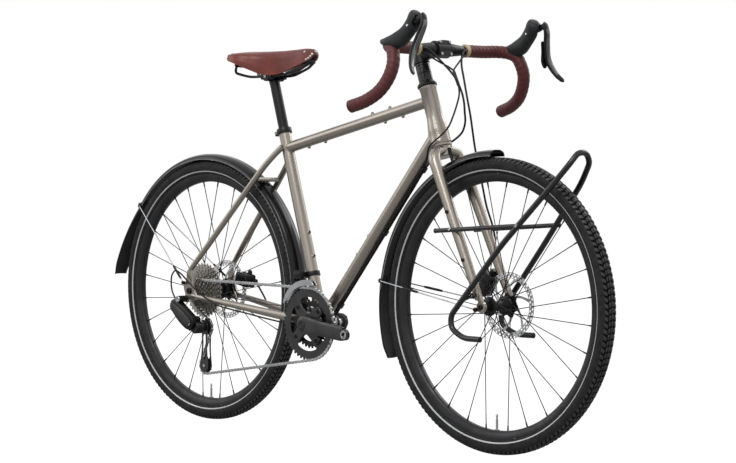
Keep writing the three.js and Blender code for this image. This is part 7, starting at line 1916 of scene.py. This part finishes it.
@dataclass
class Seat:
    """Seatpost, rails and the riveted leather saddle."""

    length: float = 276
    ahead: float = 166
    half_wide: float = 84
    tall: float = 58
    set_up: float = 66
    thickness: float = 4.5
    shares: tuple = ((0, 0.78, -0.16, 0.12), (0.02, 0.88, -0.04, 0.25), (0.06, 0.97, 0.04, 0.37),
                     (0.16, 1, 0.075, 0.54), (0.3, 0.78, 0.07, 0.84), (0.44, 0.52, 0.06, 1.08),
                     (0.58, 0.35, 0.06, 1.06), (0.76, 0.25, 0.08, 0.8), (0.88, 0.215, 0.1, 0.64),
                     (0.95, 0.18, 0.07, 0.5), (0.985, 0.13, -0.02, 0.24), (1, 0.07, -0.12, 0.09))
    profile: tuple = ((-1.02, 0), (-1, 0.4), (-0.9, 0.78), (-0.5, 0.97), (0, 1), (0.5, 0.97), (0.9, 0.78), (1, 0.4),
                      (1.02, 0))
    rail_points: tuple = ((-102.1, 41.8, 30), (-110.4, 39.6, 12), (-71.8, 22, 0), (55.2, 22, 0), (127, 9.9, 18),
                          (146.3, 8.8, 30))
    rail_rise: float = 4
    shaft_profile: tuple = ((12.6, 418.5), (13.6, 419.5), (13.6, 650), (14.2, 656), (14.4, 663), (12.5, 668))
    cradle_profile: tuple = ((11.6, -30), (13, -28.8), (13, -14.2), (11.2, -13.4), (11.2, 13.4), (13, 14.2),
                             (13, 28.8), (11.6, 30))
    tension_profile: tuple = ((3, -2), (3, 26), (6.2, 26.2), (6.2, 31), (4, 31.4))
    rear_rivets: tuple = (0.1, 0.18, 0.27, 0.385, 0.5, 0.615, 0.73, 0.82, 0.9)
    nose_rivets: tuple = ((0.9, 0.22), (0.925, 0.035), (0.95, 0.045), (0.97, 0.06), (0.985, 0.1))
    hem_drop: float = 0.9
    rear_bow: float = 9.0

    def surface(self, along: Array, across: Array, inset: float = 0.0) -> Array:
        """Points of the leather.

        At a share along, the half width, top and bottom come from smooth stations; across the saddle
        a smooth arch gives the share of the half width and of the height from bottom to top.

        Args:
            along: Shares from the rear edge to the nose.
            across: Shares of the arch's length from the right hem to the left hem.
            inset: Distance inside the outer skin.

        Returns:
            Points, shape (len(along), len(across), 3).
        """
        rows = smooth_line(self.shares, 400)
        wide, lift, skirt = (np.interp(along, rows[:, 0], rows[:, i]) for i in (1, 2, 3))
        arch = smooth_line(self.profile, 400)
        share = np.linspace(0, 1, 400)
        a, b = np.interp(across, share, arch[:, 0]), np.interp(across, share, arch[:, 1])
        half = self.half_wide * wide - inset
        top, bottom = self.tall * lift - inset, self.tall * (lift - skirt)
        x = LAYOUT.post_top[0] + self.ahead - self.length + along * self.length
        bow = self.rear_bow * (1 - np.clip(along / 0.1, 0, 1)) ** 2
        places = np.empty((len(along), len(across), 3))
        places[..., 0] = x[:, None] + bow[:, None] * np.abs(a)[None] ** 2
        places[..., 1] = half[:, None] * a
        places[..., 2] = LAYOUT.post_top[2] + self.set_up + bottom[:, None] + (top - bottom)[:, None] * b
        return places

    def cover(self) -> Shell:
        """The hide as a closed skin: outside, inside, and a rounded hem between them."""
        along = np.unique(np.concatenate([np.linspace(0, 0.06, 10), np.linspace(0.06, 0.94, 110),
                                          np.linspace(0.94, 1, 12)]))
        across = np.linspace(0, 1, 90)
        outer, inner = self.surface(along, across), self.surface(along, across, self.thickness)
        hem = 0.6 * outer + 0.4 * inner - UP * self.hem_drop
        return grid(np.concatenate([outer, hem[:, -1:], inner[:, ::-1], hem[:, :1]], 1), capped=True)

    def rivets(self) -> Shell:
        """Domed rivets along the rear edge and round the nose, each on the skin's own normal."""
        nose = list(self.nose_rivets)
        spots = [(0.045, c) for c in self.rear_rivets] + nose + [(a, 1 - c) for a, c in nose] + [(0.99, 0.5)]
        heads = []
        for along, across in spots:
            radius = 4.6 if along < 0.5 else 3.6
            near = self.surface(along + np.array([-0.004, 0.004]), across + np.array([-0.01, 0.01]))
            normal = unit(np.cross(near[1, 0] - near[0, 1], near[1, 1] - near[0, 0]))
            normal = normal if normal[2] > -0.2 else -normal
            heads.append(turned([(radius, -0.3), (radius, 0.3), (radius * 0.86, 1.0), (radius * 0.5, 1.5),
                                 (0.3, 1.65)], near.mean((0, 1)), normal, 28))
        return joined(*heads)

    @property
    def base(self) -> Array:
        """Middle of the clamp that holds the rails."""
        return LAYOUT.post_top + UP * self.rail_rise

    def rails(self) -> tuple[Shell, Shell]:
        """Two rails on a smooth path, and the plates they end in."""
        base = self.base
        rows = np.array(self.rail_points) * OTHER_SIDE
        rail = tube(smooth_line(rounded(rows, 22, 8), 120) + base, 3.5, 20)
        rear = box_shell(base + point(-100.7, 0, 32.8), (7, 96.4, 13))
        nose = box_shell(base + point(146.3, 0, 32.8), (10.5, 24, 10.5))
        tension = turned(self.tension_profile, base + point(118, 0, 30), FORWARD, 24)
        return rail.both_sides(), joined(rear, nose, tension)

    def build(self) -> None:
        """Makes the seat's pieces."""
        shaft = turned(self.shaft_profile, LAYOUT.bracket, LAYOUT.seat_up, 64)
        cradle = turned(self.cradle_profile, self.base, LEFT, 56)
        cheeks = [box_shell(self.base + LEFT * s * 22, (42, 13.4, 17.5)) for s in (-1, 1)]
        make("seatpost_shaft", joined(shaft, cradle, *cheeks), BLACK_ALLOY, "seatpost", ["seatpost"])
        bolts = [hex_bolt(self.base + LEFT * 30 * s, LEFT * s, 4.2, 2.6) for s in (-1, 1)]
        make("seatpost_bolts", joined(*bolts), STEEL, "seatpost")
        rails, plates = self.rails()
        make("saddle_rails_bent", rails, RAIL_STEEL, "seatpost", ["saddle_rails"])
        make("saddle_plates", plates, RAIL_STEEL, "seatpost")
        make("saddle_hide", self.cover(), LEATHER, "seatpost", ["saddle_cover"], crease=60)
        make("saddle_rivets", self.rivets(), RIVET_STEEL, "seatpost")


@dataclass
class Mudguards:
    """Arched mudguards with rolled edges, flaps, wire stays, sleeves and clips."""

    radius: float = 373
    half_wide: float = 26
    depth: float = 15
    thickness: float = 2
    front_angles: tuple[float, float] = (90, 202)
    rear_angles: tuple[float, float] = (-20, 175.6)
    front_flare: float = 17
    rear_flare: float = 43
    flap_start: float = 140
    wire_radius: float = 1.7
    front_eyelet: tuple[float, float, float] = (-11.2, -64.7, -6.3)
    rear_eyelet: tuple[float, float, float] = (-18, -83.7, 21.6)
    front_stay_angle: float = math.radians(172.5)
    rear_stay_angle: float = math.radians(141)
    holder_place: tuple[float, float] = (391.5, 22.4)
    bridge_gap: float = 6.4
    hem_radius: float = 1.25
    flap_sink: float = 0.8
    clip_gap: float = 3.4
    front_split: float = 0.76
    rear_split: float = 0.83
    sleeve_radii: tuple = (2.6, 3.1, *(3.2,) * 6, 3.1, 2.6)
    eye_profile: tuple = ((3.4, -3.0), (5.2, -2.6), (5.2, 3.0), (3.4, 3.4))
    arch: tuple = ((-1, -1), (-0.96, -0.66), (-0.82, -0.34), (-0.35, -0.02), (0, 0), (0.35, -0.02), (0.82, -0.34),
                   (0.96, -0.66), (1, -1))

    def strip(self, centre: Array, angles: Array, radius: Array, depth: Array, wide: Array) -> Shell:
        """An arched strip: an outer arch at the radius, an inner arch one thickness in, hems joined.

        Args:
            centre: The wheel's axle.
            angles: Angle of each row in radians.
            radius: Outer radius of each row.
            depth: Depth of the arch of each row, as a share.
            wide: Half width of each row, as a share.

        Returns:
            The strip as a closed skin.
        """
        arch = smooth_line(self.arch, 41)
        half, deep, thick = self.half_wide * wide[:, None], self.depth * depth[:, None], self.thickness
        outer = polar(radius[:, None] + deep * arch[:, 1], angles[:, None], half * arch[:, 0])
        inner = polar(radius[:, None] - thick + (deep - thick * 0.6) * arch[:, 1], angles[:, None],
                      (half - thick) * arch[:, 0])
        return grid(np.concatenate([outer, inner[:, ::-1]], 1), capped=True).moved(centre)

    def hem(self, centre: Array, angles: Array, radius: Array, depth: Array, wide: Array) -> Shell:
        """The rolled edge along both sides."""
        right = polar(radius - self.depth * depth, angles, 0.9 - self.half_wide * wide) + centre
        return tube(right, self.hem_radius, 10).both_sides()

    def guard(self, word: str) -> tuple[Shell, Shell, Shell]:
        """One mudguard, its hem and its flap."""
        front = word == "front"
        start, end = np.radians(self.front_angles if front else self.rear_angles)
        share = np.linspace(0, 1, 150)
        angles = start + (end - start) * share
        centre = LAYOUT.front_axle if front else LAYOUT.rear_axle

        def ease(low: float, high: float) -> Array:
            """A smooth rise, 3 t^2 - 2 t^3, between two shares of the length."""
            t = np.clip((share - low) / (high - low), 0, 1)
            return t ** 2 * (3 - 2 * t)

        if front:
            radius = self.radius + self.front_flare * share ** 1.5
            depth, wide = 1 - 0.3 * ease(0.7, 0.8), 1 - 0.25 * ease(0.955, 1.0)
        else:
            opening = np.maximum(0, (np.degrees(angles) - self.flap_start) / (self.rear_angles[1] - self.flap_start))
            radius = self.radius + self.rear_flare * opening ** 1.5
            depth, wide = 1 - 0.45 * opening, (1 - 0.06 * opening) * (1 - 0.16 * ease(0.975, 1.0))
        cut = int((self.front_split if front else self.rear_split) * len(share))
        main = [values[:cut + 1] for values in (angles, radius, depth, wide)]
        flap = [values[cut - 3:] for values in (angles, radius - self.flap_sink, depth, wide * 0.985)]
        return self.strip(centre, *main), self.hem(centre, *main), self.strip(centre, *flap)

    def stays(self, word: str) -> tuple[Shell, Shell, Shell, Shell]:
        """The wire, its sleeves, the clips on the guard, and the eyelet screws."""
        front = word == "front"
        centre = LAYOUT.front_axle if front else LAYOUT.rear_axle
        eyelet = centre + point(*(self.front_eyelet if front else self.rear_eyelet))
        heading = self.front_stay_angle if front else self.rear_stay_angle
        opening = (heading - math.radians(90)) / math.radians(112) if front else 0.0
        radius = self.radius + (self.front_flare * opening ** 1.5 if front else self.rear_flare * 0.005)
        wire_side = self.half_wide + self.clip_gap
        low = polar(radius - self.depth - self.thickness, heading, -wire_side) + centre
        over = polar(radius + 0.3 + self.wire_radius, heading, -wire_side * 0.86) + centre
        right = np.array([eyelet, low, over])
        wire = tube(rounded(np.vstack([right, (right * OTHER_SIDE)[::-1]]), 6, 8), self.wire_radius, 14)
        start, end = (0.6, 0.76) if front else (0.055, 0.22)
        run = np.linspace(eyelet + (low - eyelet) * start, eyelet + (low - eyelet) * end, 10)
        sleeve = tube(run, np.array(self.sleeve_radii), 20)
        outward = polar(1, heading)
        turn = box_turn(outward)
        clip = box_shell(low + outward * 5.5 + LEFT * 2.2, (11, 5.2, 11), turn)
        foot = box_shell(polar(radius - 1.6, heading, -10) + centre, (4.6, 15, 13), turn)
        screw = hex_bolt(eyelet - LEFT * 2.4, -LEFT, 3.8, 2.2)
        eye = turned(self.eye_profile, eyelet, LEFT, 28)
        return (wire, sleeve.both_sides(), joined(clip.both_sides(), foot.both_sides()),
                joined(screw.both_sides(), eye.both_sides()))

    def build(self) -> None:
        """Makes both mudguards and their stays."""
        for word, body in (("front", "steering"), ("rear", "frame")):
            main, hem, flap = self.guard(word)
            if word == "front":
                place = LAYOUT.on_steerer(*self.holder_place)
                holder = box_shell(place, (2.1, 11, 38), box_turn(LAYOUT.steer_ahead))
            else:
                outward = unit(LAYOUT.bridge - LAYOUT.rear_axle)
                spot = LAYOUT.rear_axle + outward * (self.radius - 0.5)
                gap = float(np.linalg.norm(LAYOUT.bridge - spot)) - self.bridge_gap
                holder = turned([(8, 0), (8, 1.4), (5.4, 1.8), (5.4, gap - 1), (6.6, gap)], spot, outward, 32)
            make(f"{word}_mudguard_shell", joined(main, holder), GUARD_PLASTIC, body, [f"{word}_mudguard"], crease=50)
            # The hem takes the pale edge finish: a painted highlight along the rolled edge.
            make(f"{word}_mudguard_hem", hem, GUARD_EDGE_HIGHLIGHT, body)
            make(f"{word}_mudguard_flap", flap, NYLON, body, crease=50)
            wire, sleeves, clips, screws = self.stays(word)
            make(f"{word}_stay_wire", wire, STEEL, body, [f"{word}_mudguard_stay"])
            make(f"{word}_stay_sleeves", sleeves, NYLON, body)
            make(f"{word}_stay_clips", clips, NYLON, body)
            make(f"{word}_stay_screws", screws, RAIL_STEEL, body)


@dataclass
class Rack:
    """The front rack: a hooped tube, two side rails and brackets to the fork."""

    reach: float = 253
    rise: float = 367
    half: float = 92
    tube_radius: float = 7
    rail_radius: float = 5.5
    rail_gap: float = 18.15
    crossing_shares: tuple[float, float, float] = (0.5, 0.53, 0.73)
    foot_shares: tuple[float, float, float] = (-0.14, 0.04, 0.93)
    eye_place: tuple[float, float, float] = (-15.4, -70.2, 26.6)
    bracket_half: tuple[float, float] = (5.2, 3.2)
    shares: tuple = ((0.13, -0.2, 1.03), (-0.1, -0.2, 1), (-0.26, -0.14, 0.97), (-0.27, -0.06, 0.96),
                     (0.32, 0.4, 0.83), (0.87, 0.8, 0.53), (1.02, 0.93, 0.36), (1.04, 0.99, 0.16))

    def spot(self, ahead: float, above: float, side: float) -> Array:
        """A point of the rack by its shares, on the right side."""
        return LAYOUT.front_axle + point(ahead * self.reach, -side * self.half, above * self.rise)

    def build(self) -> None:
        """Makes the rack's pieces."""
        right = np.array([self.spot(*row) for row in self.shares])
        corners = np.vstack([right, (right * OTHER_SIDE)[::-1]])
        hoop = tube(even(rounded(corners, 28, 14), 420), self.tube_radius, 24)
        leg = Fork().leg_centre(0.5, 1.2)[0]
        side = abs(leg[1]) + self.rail_gap
        crossing = self.spot(*self.crossing_shares)
        rear, ahead = point(leg[0] - 52, -side, leg[2] - 5.5), point(crossing[0] + 8, -side, crossing[2])
        rail = tube(np.linspace(rear, ahead, 20), self.rail_radius, 24)
        eye = LAYOUT.front_axle + point(*self.eye_place)
        run = np.linspace(self.spot(*self.foot_shares), eye, 16)
        bracket = swept(run, rounded_square(24) * self.bracket_half, LEFT)
        ring = collar(eye, LEFT, 2.8, 7, (-3.6, 3.6), (0.4, 0.6), 32)
        parts = [part.both_sides() for part in (rail, bracket, ring)]
        make("rack_tubes", joined(hoop, *parts), BLACK_GLOSS, "steering", ["front_rack"])
        radius = self.rail_radius
        plug = [(radius - 0.2, -2), (radius + 0.5, -1.6), (radius + 0.5, 0.6), (radius * 0.6, 2.2)]
        plugs = [turned(plug, start, unit(start - other), 28).both_sides()
                 for start, other in ((right[0], right[1]), (rear, ahead), (ahead, rear))]
        make("rack_end_plugs", joined(*plugs), NYLON, "steering")
        heads = [hex_bolt(leg * [1, 0, 1] - LEFT * (side + 5.2), -LEFT, 4.0, 2.4),
                 hex_bolt(point(crossing[0], -side - 5.2, crossing[2]), -LEFT, 3.8, 2.2),
                 hex_bolt(eye - LEFT * 3.4, -LEFT, 4.0, 2.4)]
        make("rack_bolts", joined(*heads).both_sides(), STEEL, "steering")


@dataclass
class Lines:
    """Brake hoses, shift cables, calipers and the cable joiner."""

    hose_radius: float = 2.6
    cable_radius: float = 2.2
    down_radius: float = 17.5
    guide_start: float = 92
    lane: float = 3.5
    piston_profile: tuple = ((13.2, 14.0), (13.2, 15.6), (11.6, 17.0), (4, 17.4))
    ear_profile: tuple = ((5.2, 0), (5.2, 1.0), (4.4, 1.2), (4.4, 4), (3.0, 4.4))
    banjo_profile: tuple = ((5.6, 0), (6.4, 0.8), (6.4, 6.4), (4.6, 7.0), (4.6, 9.4), (3.2, 9.8))
    front_hose: tuple = ((0.083, 0.524, 1.557), (0.102, 0.427, 1.533), (0.155, 0.32, 1.44), (0.262, 0.2, 1.28),
                         (0.395, 0.107, 1.08), (0.495, 0.053, 0.867), (0.549, 0.04, 0.693), (0.535, 0.113, 0.48),
                         (0.469, 0.24, 0.213))
    front_fork_hose: tuple = ((0.1463, 0.1244, -0.0166), (0.1488, 0.1516, -0.1223), (0.1675, 0.1632, -0.2281),
                              (0.1981, 0.1667, -0.3525), (0.2217, 0.1844, -0.4467), (0.2334, 0.1875, -0.489),
                              (0.245, 0.1858, -0.5313), (0.2521, 0.1667, -0.5877), (0.245, 0.1445, -0.6532),
                              (0.238, 0.134, -0.6955), (0.2475, 0.1269, -0.7216), (0.257, 0.1199, -0.7474))
    rear_head: tuple = ((0.083, -0.524, 1.557), (0.102, -0.427, 1.533), (0.155, -0.32, 1.44), (0.262, -0.2, 1.28),
                        (0.395, -0.1, 1.08), (0.489, -0.053, 0.867), (0.515, -0.02, 0.707), (0.475, 0.047, 0.52),
                        (0.409, 0.127, 0.36), (0.275, 0.197, 0.2), (0.089, 0.223, 0.087), (-0.085, 0.193, -0.013),
                        (-0.218, 0.107, -0.173))
    rear_stay: tuple = ((0.0447, 0.0077, -0.0384), (0.0009, 0.011, -0.0537), (-0.0452, 0.0175, -0.0515),
                        (-0.0978, 0.0307, -0.0373), (-0.1526, 0.0548, -0.0219), (-0.2623, 0.0811, -0.0039),
                        (-0.3982, 0.0965, 0.0149), (-0.5474, 0.1075, 0.0373), (-0.6088, 0.1294, 0.0548),
                        (-0.6439, 0.148, 0.0768), (-0.6768, 0.1553, 0.1118), (-0.6965, 0.1447, 0.1513),
                        (-0.7184, 0.1327, 0.1886), (-0.7469, 0.1287, 0.2033), (-0.7798, 0.1272, 0.2092))
    feeder: tuple = ((0.066, 0.527, 1.484), (0.095, 0.413, 1.44), (0.155, 0.253, 1.347), (0.235, 0.08, 1.253),
                     (0.269, 0, 1.2))
    shift_head: tuple = ((0.269, 0, 1.2), (0.322, -0.007, 1.093), (0.375, 0.007, 0.947), (0.395, 0, 0.8),
                         (0.382, -0.04, 0.64), (0.355, -0.093, 0.467), (0.295, -0.147, 0.28), (0.169, -0.197, 0.14),
                         (0.022, -0.213, 0.04), (-0.111, -0.187, -0.053), (-0.231, -0.1, -0.2))
    shift_stay: tuple = ((0.0447, -0.0077, -0.0384), (0.0009, -0.011, -0.0537), (-0.0452, -0.0175, -0.0515),
                         (-0.0978, -0.0329, -0.0373), (-0.1526, -0.0548, -0.0219), (-0.2623, -0.0811, -0.0035),
                         (-0.3982, -0.0965, 0.0154), (-0.5474, -0.1086, 0.0377), (-0.6789, -0.1272, 0.0581),
                         (-0.7404, -0.1535, 0.0746), (-0.7886, -0.1721, 0.0987), (-0.8851, -0.1809, 0.1469),
                         (-0.9772, -0.1864, 0.2083), (-1.0474, -0.1919, 0.2588), (-1.089, -0.1952, 0.2719),
                         (-1.1175, -0.1974, 0.2434), (-1.1219, -0.1996, 0.1908), (-1.1088, -0.2018, 0.1469),
                         (-1.089, -0.2018, 0.1162), (-1.0693, -0.2018, 0.0954))
    shift_mech: tuple = ((0.0009, -0.011, -0.0537), (-0.043, -0.011, -0.0417), (-0.0693, -0.0175, 0.011),
                         (-0.0825, -0.0263, 0.0987), (-0.1088, -0.0439, 0.1974), (-0.1219, -0.0526, 0.2588))

    def route(self, shares: Sequence[Sequence[float]], origin: Array, length: float) -> Array:
        """Points at shares of a length from an origin."""
        return origin + np.array(shares) * length

    @property
    def front(self) -> Array:
        """The down tube's front end."""
        return LAYOUT.on_steerer(LAYOUT.head_start + LAYOUT.down_from_head)

    def below(self, distance: float, side: float, dip: float = 0.0) -> Array:
        """A point under the down tube, measured from its front end."""
        down = underside(self.front, LAYOUT.bracket) * (self.down_radius + self.hose_radius + 0.3 + dip)
        return self.front + unit(LAYOUT.bracket - self.front) * distance + down + LEFT * side

    def under(self, side: float) -> Array:
        """The run under the down tube and its exit below the shell."""
        length = float(np.linalg.norm(self.front - LAYOUT.bracket))
        middle = [self.below(d, side) for d in np.linspace(self.guide_start, length - 50, 8)]
        return np.vstack(middle + [self.below(length - 25, side, 3.7)])

    def caliper(self, word: str, place: Array, side: float, turn: float) -> Shell:
        """Two cheeks beside the rotor, the bridge between them past its edge, fins and mounting ears."""
        parts = [box_shell(point(0, s * 8.6, 0), (52, 12.6, 36), None, 3.4) for s in (-1, 1)]
        parts += [turned(self.piston_profile, point(x, 0, 0), LEFT * s, 40) for x, s in ((-9, -1), (9, -1), (0, 1))]
        if word == "front":
            parts.append(box_shell(point(0, 0, 10.5), (46, 9, 15)))
            parts += [box_shell(point(x, 0, 19.5), (3.0, 24, 5.0)) for x in (-14, -7, 0, 7, 14)]
            parts.append(box_shell(point(0, 9.6, 8), (70, 13.5, 15)))
        else:
            parts.append(box_shell(point(18.5, 0, 0), (15, 9, 34)))
            parts.append(box_shell(point(0, 9.6, 0), (70, 13.5, 15)))
        return joined(*parts).moved(place + LEFT * side, turn_about(LEFT, turn))

    def caliper_bolts(self, place: Array, side: float, turn: float) -> tuple[Shell, Shell]:
        """Body screws, mounting screws and the hose's hollow bolt of a caliper."""
        screws = [hex_bolt(point(x, 15.3, z), LEFT, 3.4, 2.4) for x in (-19, 19) for z in (-11, 11)]
        screws += [turned(self.ear_profile, point(x, 13.0, 0), LEFT, 24) for x in (-31, 31)]
        banjo = turned(self.banjo_profile, point(9, 6.7, 18.2), UP, 28)
        rotation = turn_about(LEFT, turn)
        return tuple(part.moved(place + LEFT * side, rotation) for part in (joined(*screws), banjo))

    def build(self) -> None:
        """Makes the hoses, cables and calipers."""
        head = LAYOUT.on_steerer(LAYOUT.head_start)
        size, stay, bracket = LAYOUT.head_length, LAYOUT.chainstay, LAYOUT.bracket
        front = np.vstack([self.route(self.front_hose, head, size),
                           self.route(self.front_fork_hose, head, LAYOUT.head_start)])
        make("front_brake_hose_line", tube(smooth_line(front, 260), self.hose_radius, 16), NYLON, "steering",
             ["front_brake_hose"])
        rear = np.vstack([self.route(self.rear_head, head, size), self.under(self.lane),
                          self.route(self.rear_stay, bracket, stay)])
        hose = make("rear_brake_hose_line", tube(smooth_line(rear, 520), self.hose_radius, 16), NYLON, "",
                    ["rear_brake_hose"])
        shift = smooth_line(np.vstack([self.route(self.shift_head, head, size), self.under(-self.lane),
                                       self.route(self.shift_stay, bracket, stay)]), 520)
        feeder = tube(smooth_line(self.route(self.feeder, head, size), 60), self.cable_radius, 16)
        mech = tube(smooth_line(self.route(self.shift_mech, bracket, stay), 80), self.cable_radius, 16)
        joiner = tube(shift[:16], np.interp(np.arange(16), [0, 2, 13, 15], [2.6, 4.0, 4.0, 2.6]), 20)
        cable = joined(tube(shift, self.cable_radius, 16), feeder.both_sides(), joiner, mech)
        cables = make("shift_cable_lines", cable, NYLON, "", ["shift_cables"])
        for piece in (hose, cables):
            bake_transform(piece)
        calipers = (("front", "steering", LAYOUT.front_axle + point(-68.8, 0, 49.6), 42, -56),
                    ("rear", "frame", LAYOUT.rear_axle + point(76, 0, 28.8), 58, 10))
        for word, body, place, side, turn in calipers:
            make(f"{word}_caliper_body", self.caliper(word, place, side, math.radians(turn)), BLACK_ALLOY, body,
                 [f"{word}_caliper"])
            screws, banjo = self.caliper_bolts(place, side, math.radians(turn))
            make(f"{word}_caliper_screws", screws, STEEL, body)
            make(f"{word}_caliper_banjo", banjo, GREY_ALLOY, body)


@dataclass
class Stage:
    """Floor, plain world, lamps and the photo's camera."""

    camera_place: tuple = (3.94959, -3.7112, 0.6543)
    camera_target: tuple = (0.118357, 0, 0.5255)
    lens: float = 102.99
    roll: float = math.radians(-0.026)
    lamp_target: tuple = (0, 0, 0.5)
    lamp_size: float = 2.2
    lamps: tuple = (("key", (1.2, -3.0, 3.6), 85), ("fill", (-3.2, -2.6, 2.2), 24), ("back", (0.6, 3.4, 2.8), 50))
    floor_half: float = 9

    def world(self) -> None:
        """An even light, with white seen only by the camera and in mirror-like surfaces."""
        world = bpy.data.worlds.new("studio")
        bpy.context.scene.world = world
        world.use_nodes = True
        tree = world.node_tree
        tree.nodes.clear()
        rays = add_node(tree, "ShaderNodeLightPath")
        seen = rays.outputs["Is Camera Ray"]
        for kind in ("Is Transmission Ray", "Is Glossy Ray"):
            seen = add_node(tree, "ShaderNodeMath", {0: seen, 1: rays.outputs[kind]}, operation="MAXIMUM").outputs[0]
        fill = add_node(tree, "ShaderNodeBackground", {"Color": (1, 1, 1, 1), "Strength": 0.45})
        white = add_node(tree, "ShaderNodeBackground", {"Color": (1, 1, 1, 1), "Strength": 1.0})
        mix = add_node(tree, "ShaderNodeMixShader", {0: seen, 1: fill.outputs[0], 2: white.outputs[0]})
        add_node(tree, "ShaderNodeOutputWorld", {"Surface": mix.outputs[0]})

    def floor_paper(self) -> bpy.types.Material:
        """Pale paper: grey to the light, and mostly white to the camera so that only shadows darken it."""
        paper = bpy.data.materials.new("pale_floor_paper")
        paper.use_nodes = True
        tree = paper.node_tree
        tree.nodes.clear()
        rays = add_node(tree, "ShaderNodeLightPath")
        share = add_node(tree, "ShaderNodeMath", {0: rays.outputs["Is Camera Ray"], 1: 0.72}, operation="MULTIPLY")
        grey = add_node(tree, "ShaderNodeBsdfDiffuse", {"Color": (0.5, 0.5, 0.5, 1)})
        white = add_node(tree, "ShaderNodeEmission", {"Color": (1, 1, 1, 1), "Strength": 1.36})
        mix = add_node(tree, "ShaderNodeMixShader", {0: share.outputs[0], 1: grey.outputs[0], 2: white.outputs[0]})
        add_node(tree, "ShaderNodeOutputMaterial", {"Surface": mix.outputs[0]})
        return paper

    def lamp(self, name: str, place: Sequence[float], power: float) -> bpy.types.Object:
        """A square lamp that points at the middle of the bicycle."""
        light = bpy.data.lights.new(name, "AREA")
        light.shape, light.size, light.energy = "SQUARE", self.lamp_size, power
        lamp = linked(name, light)
        lamp.location = place
        self.aim(lamp, self.lamp_target)
        return lamp

    def aim(self, item: bpy.types.Object, target: Sequence[float], roll: float = 0.0) -> None:
        """Turns an object's local minus z to a target, then rolls it."""
        back = unit(np.array(item.location) - np.array(target))
        right = unit(np.cross(UP, back))
        up = np.cross(back, right)
        c, s = math.cos(roll), math.sin(roll)
        axes = np.column_stack([right * c + up * s, up * c - right * s, back])
        rows = [(*axes[i].tolist(), item.location[i]) for i in range(3)] + [(0, 0, 0, 1)]
        item.matrix_world = Matrix(rows)

    def build(self) -> None:
        """Makes the stage and sets the camera."""
        self.world()
        sheet = bpy.data.meshes.new("floor")
        corners = [(x * self.floor_half, y * self.floor_half, 0) for x, y in ((-1, -1), (1, -1), (1, 1), (-1, 1))]
        sheet.from_pydata(corners, [], [(0, 1, 2, 3)])
        floor = linked("floor", sheet)
        sheet.materials.append(self.floor_paper())
        lamps = [self.lamp(*row) for row in self.lamps]
        data = bpy.data.cameras.new("camera")
        data.lens, data.sensor_width = self.lens, 36
        camera = linked("camera", data)
        camera.location = self.camera_place
        self.aim(camera, self.camera_target, self.roll)
        bpy.context.scene.camera = camera
        bpy.context.scene.view_settings.view_transform = "Standard"


def main() -> None:
    """Builds every piece in order, then the stage."""
    logging.basicConfig(level=logging.INFO)
    wheels = [Wheel("front", LAYOUT.front_axle, 50, (-27, 27), 23, 42),
              Wheel("rear", LAYOUT.rear_axle, 71, (-19, 34), 27, 58, has_freehub=True)]
    parts = (FrameTubes(), Fork(), Cockpit(), *wheels, Drivetrain(), Seat(), Mudguards(), Rack(), Lines(), Stage())
    for part in parts:
        part.build()
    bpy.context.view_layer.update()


if __name__ == "__main__":
    main()
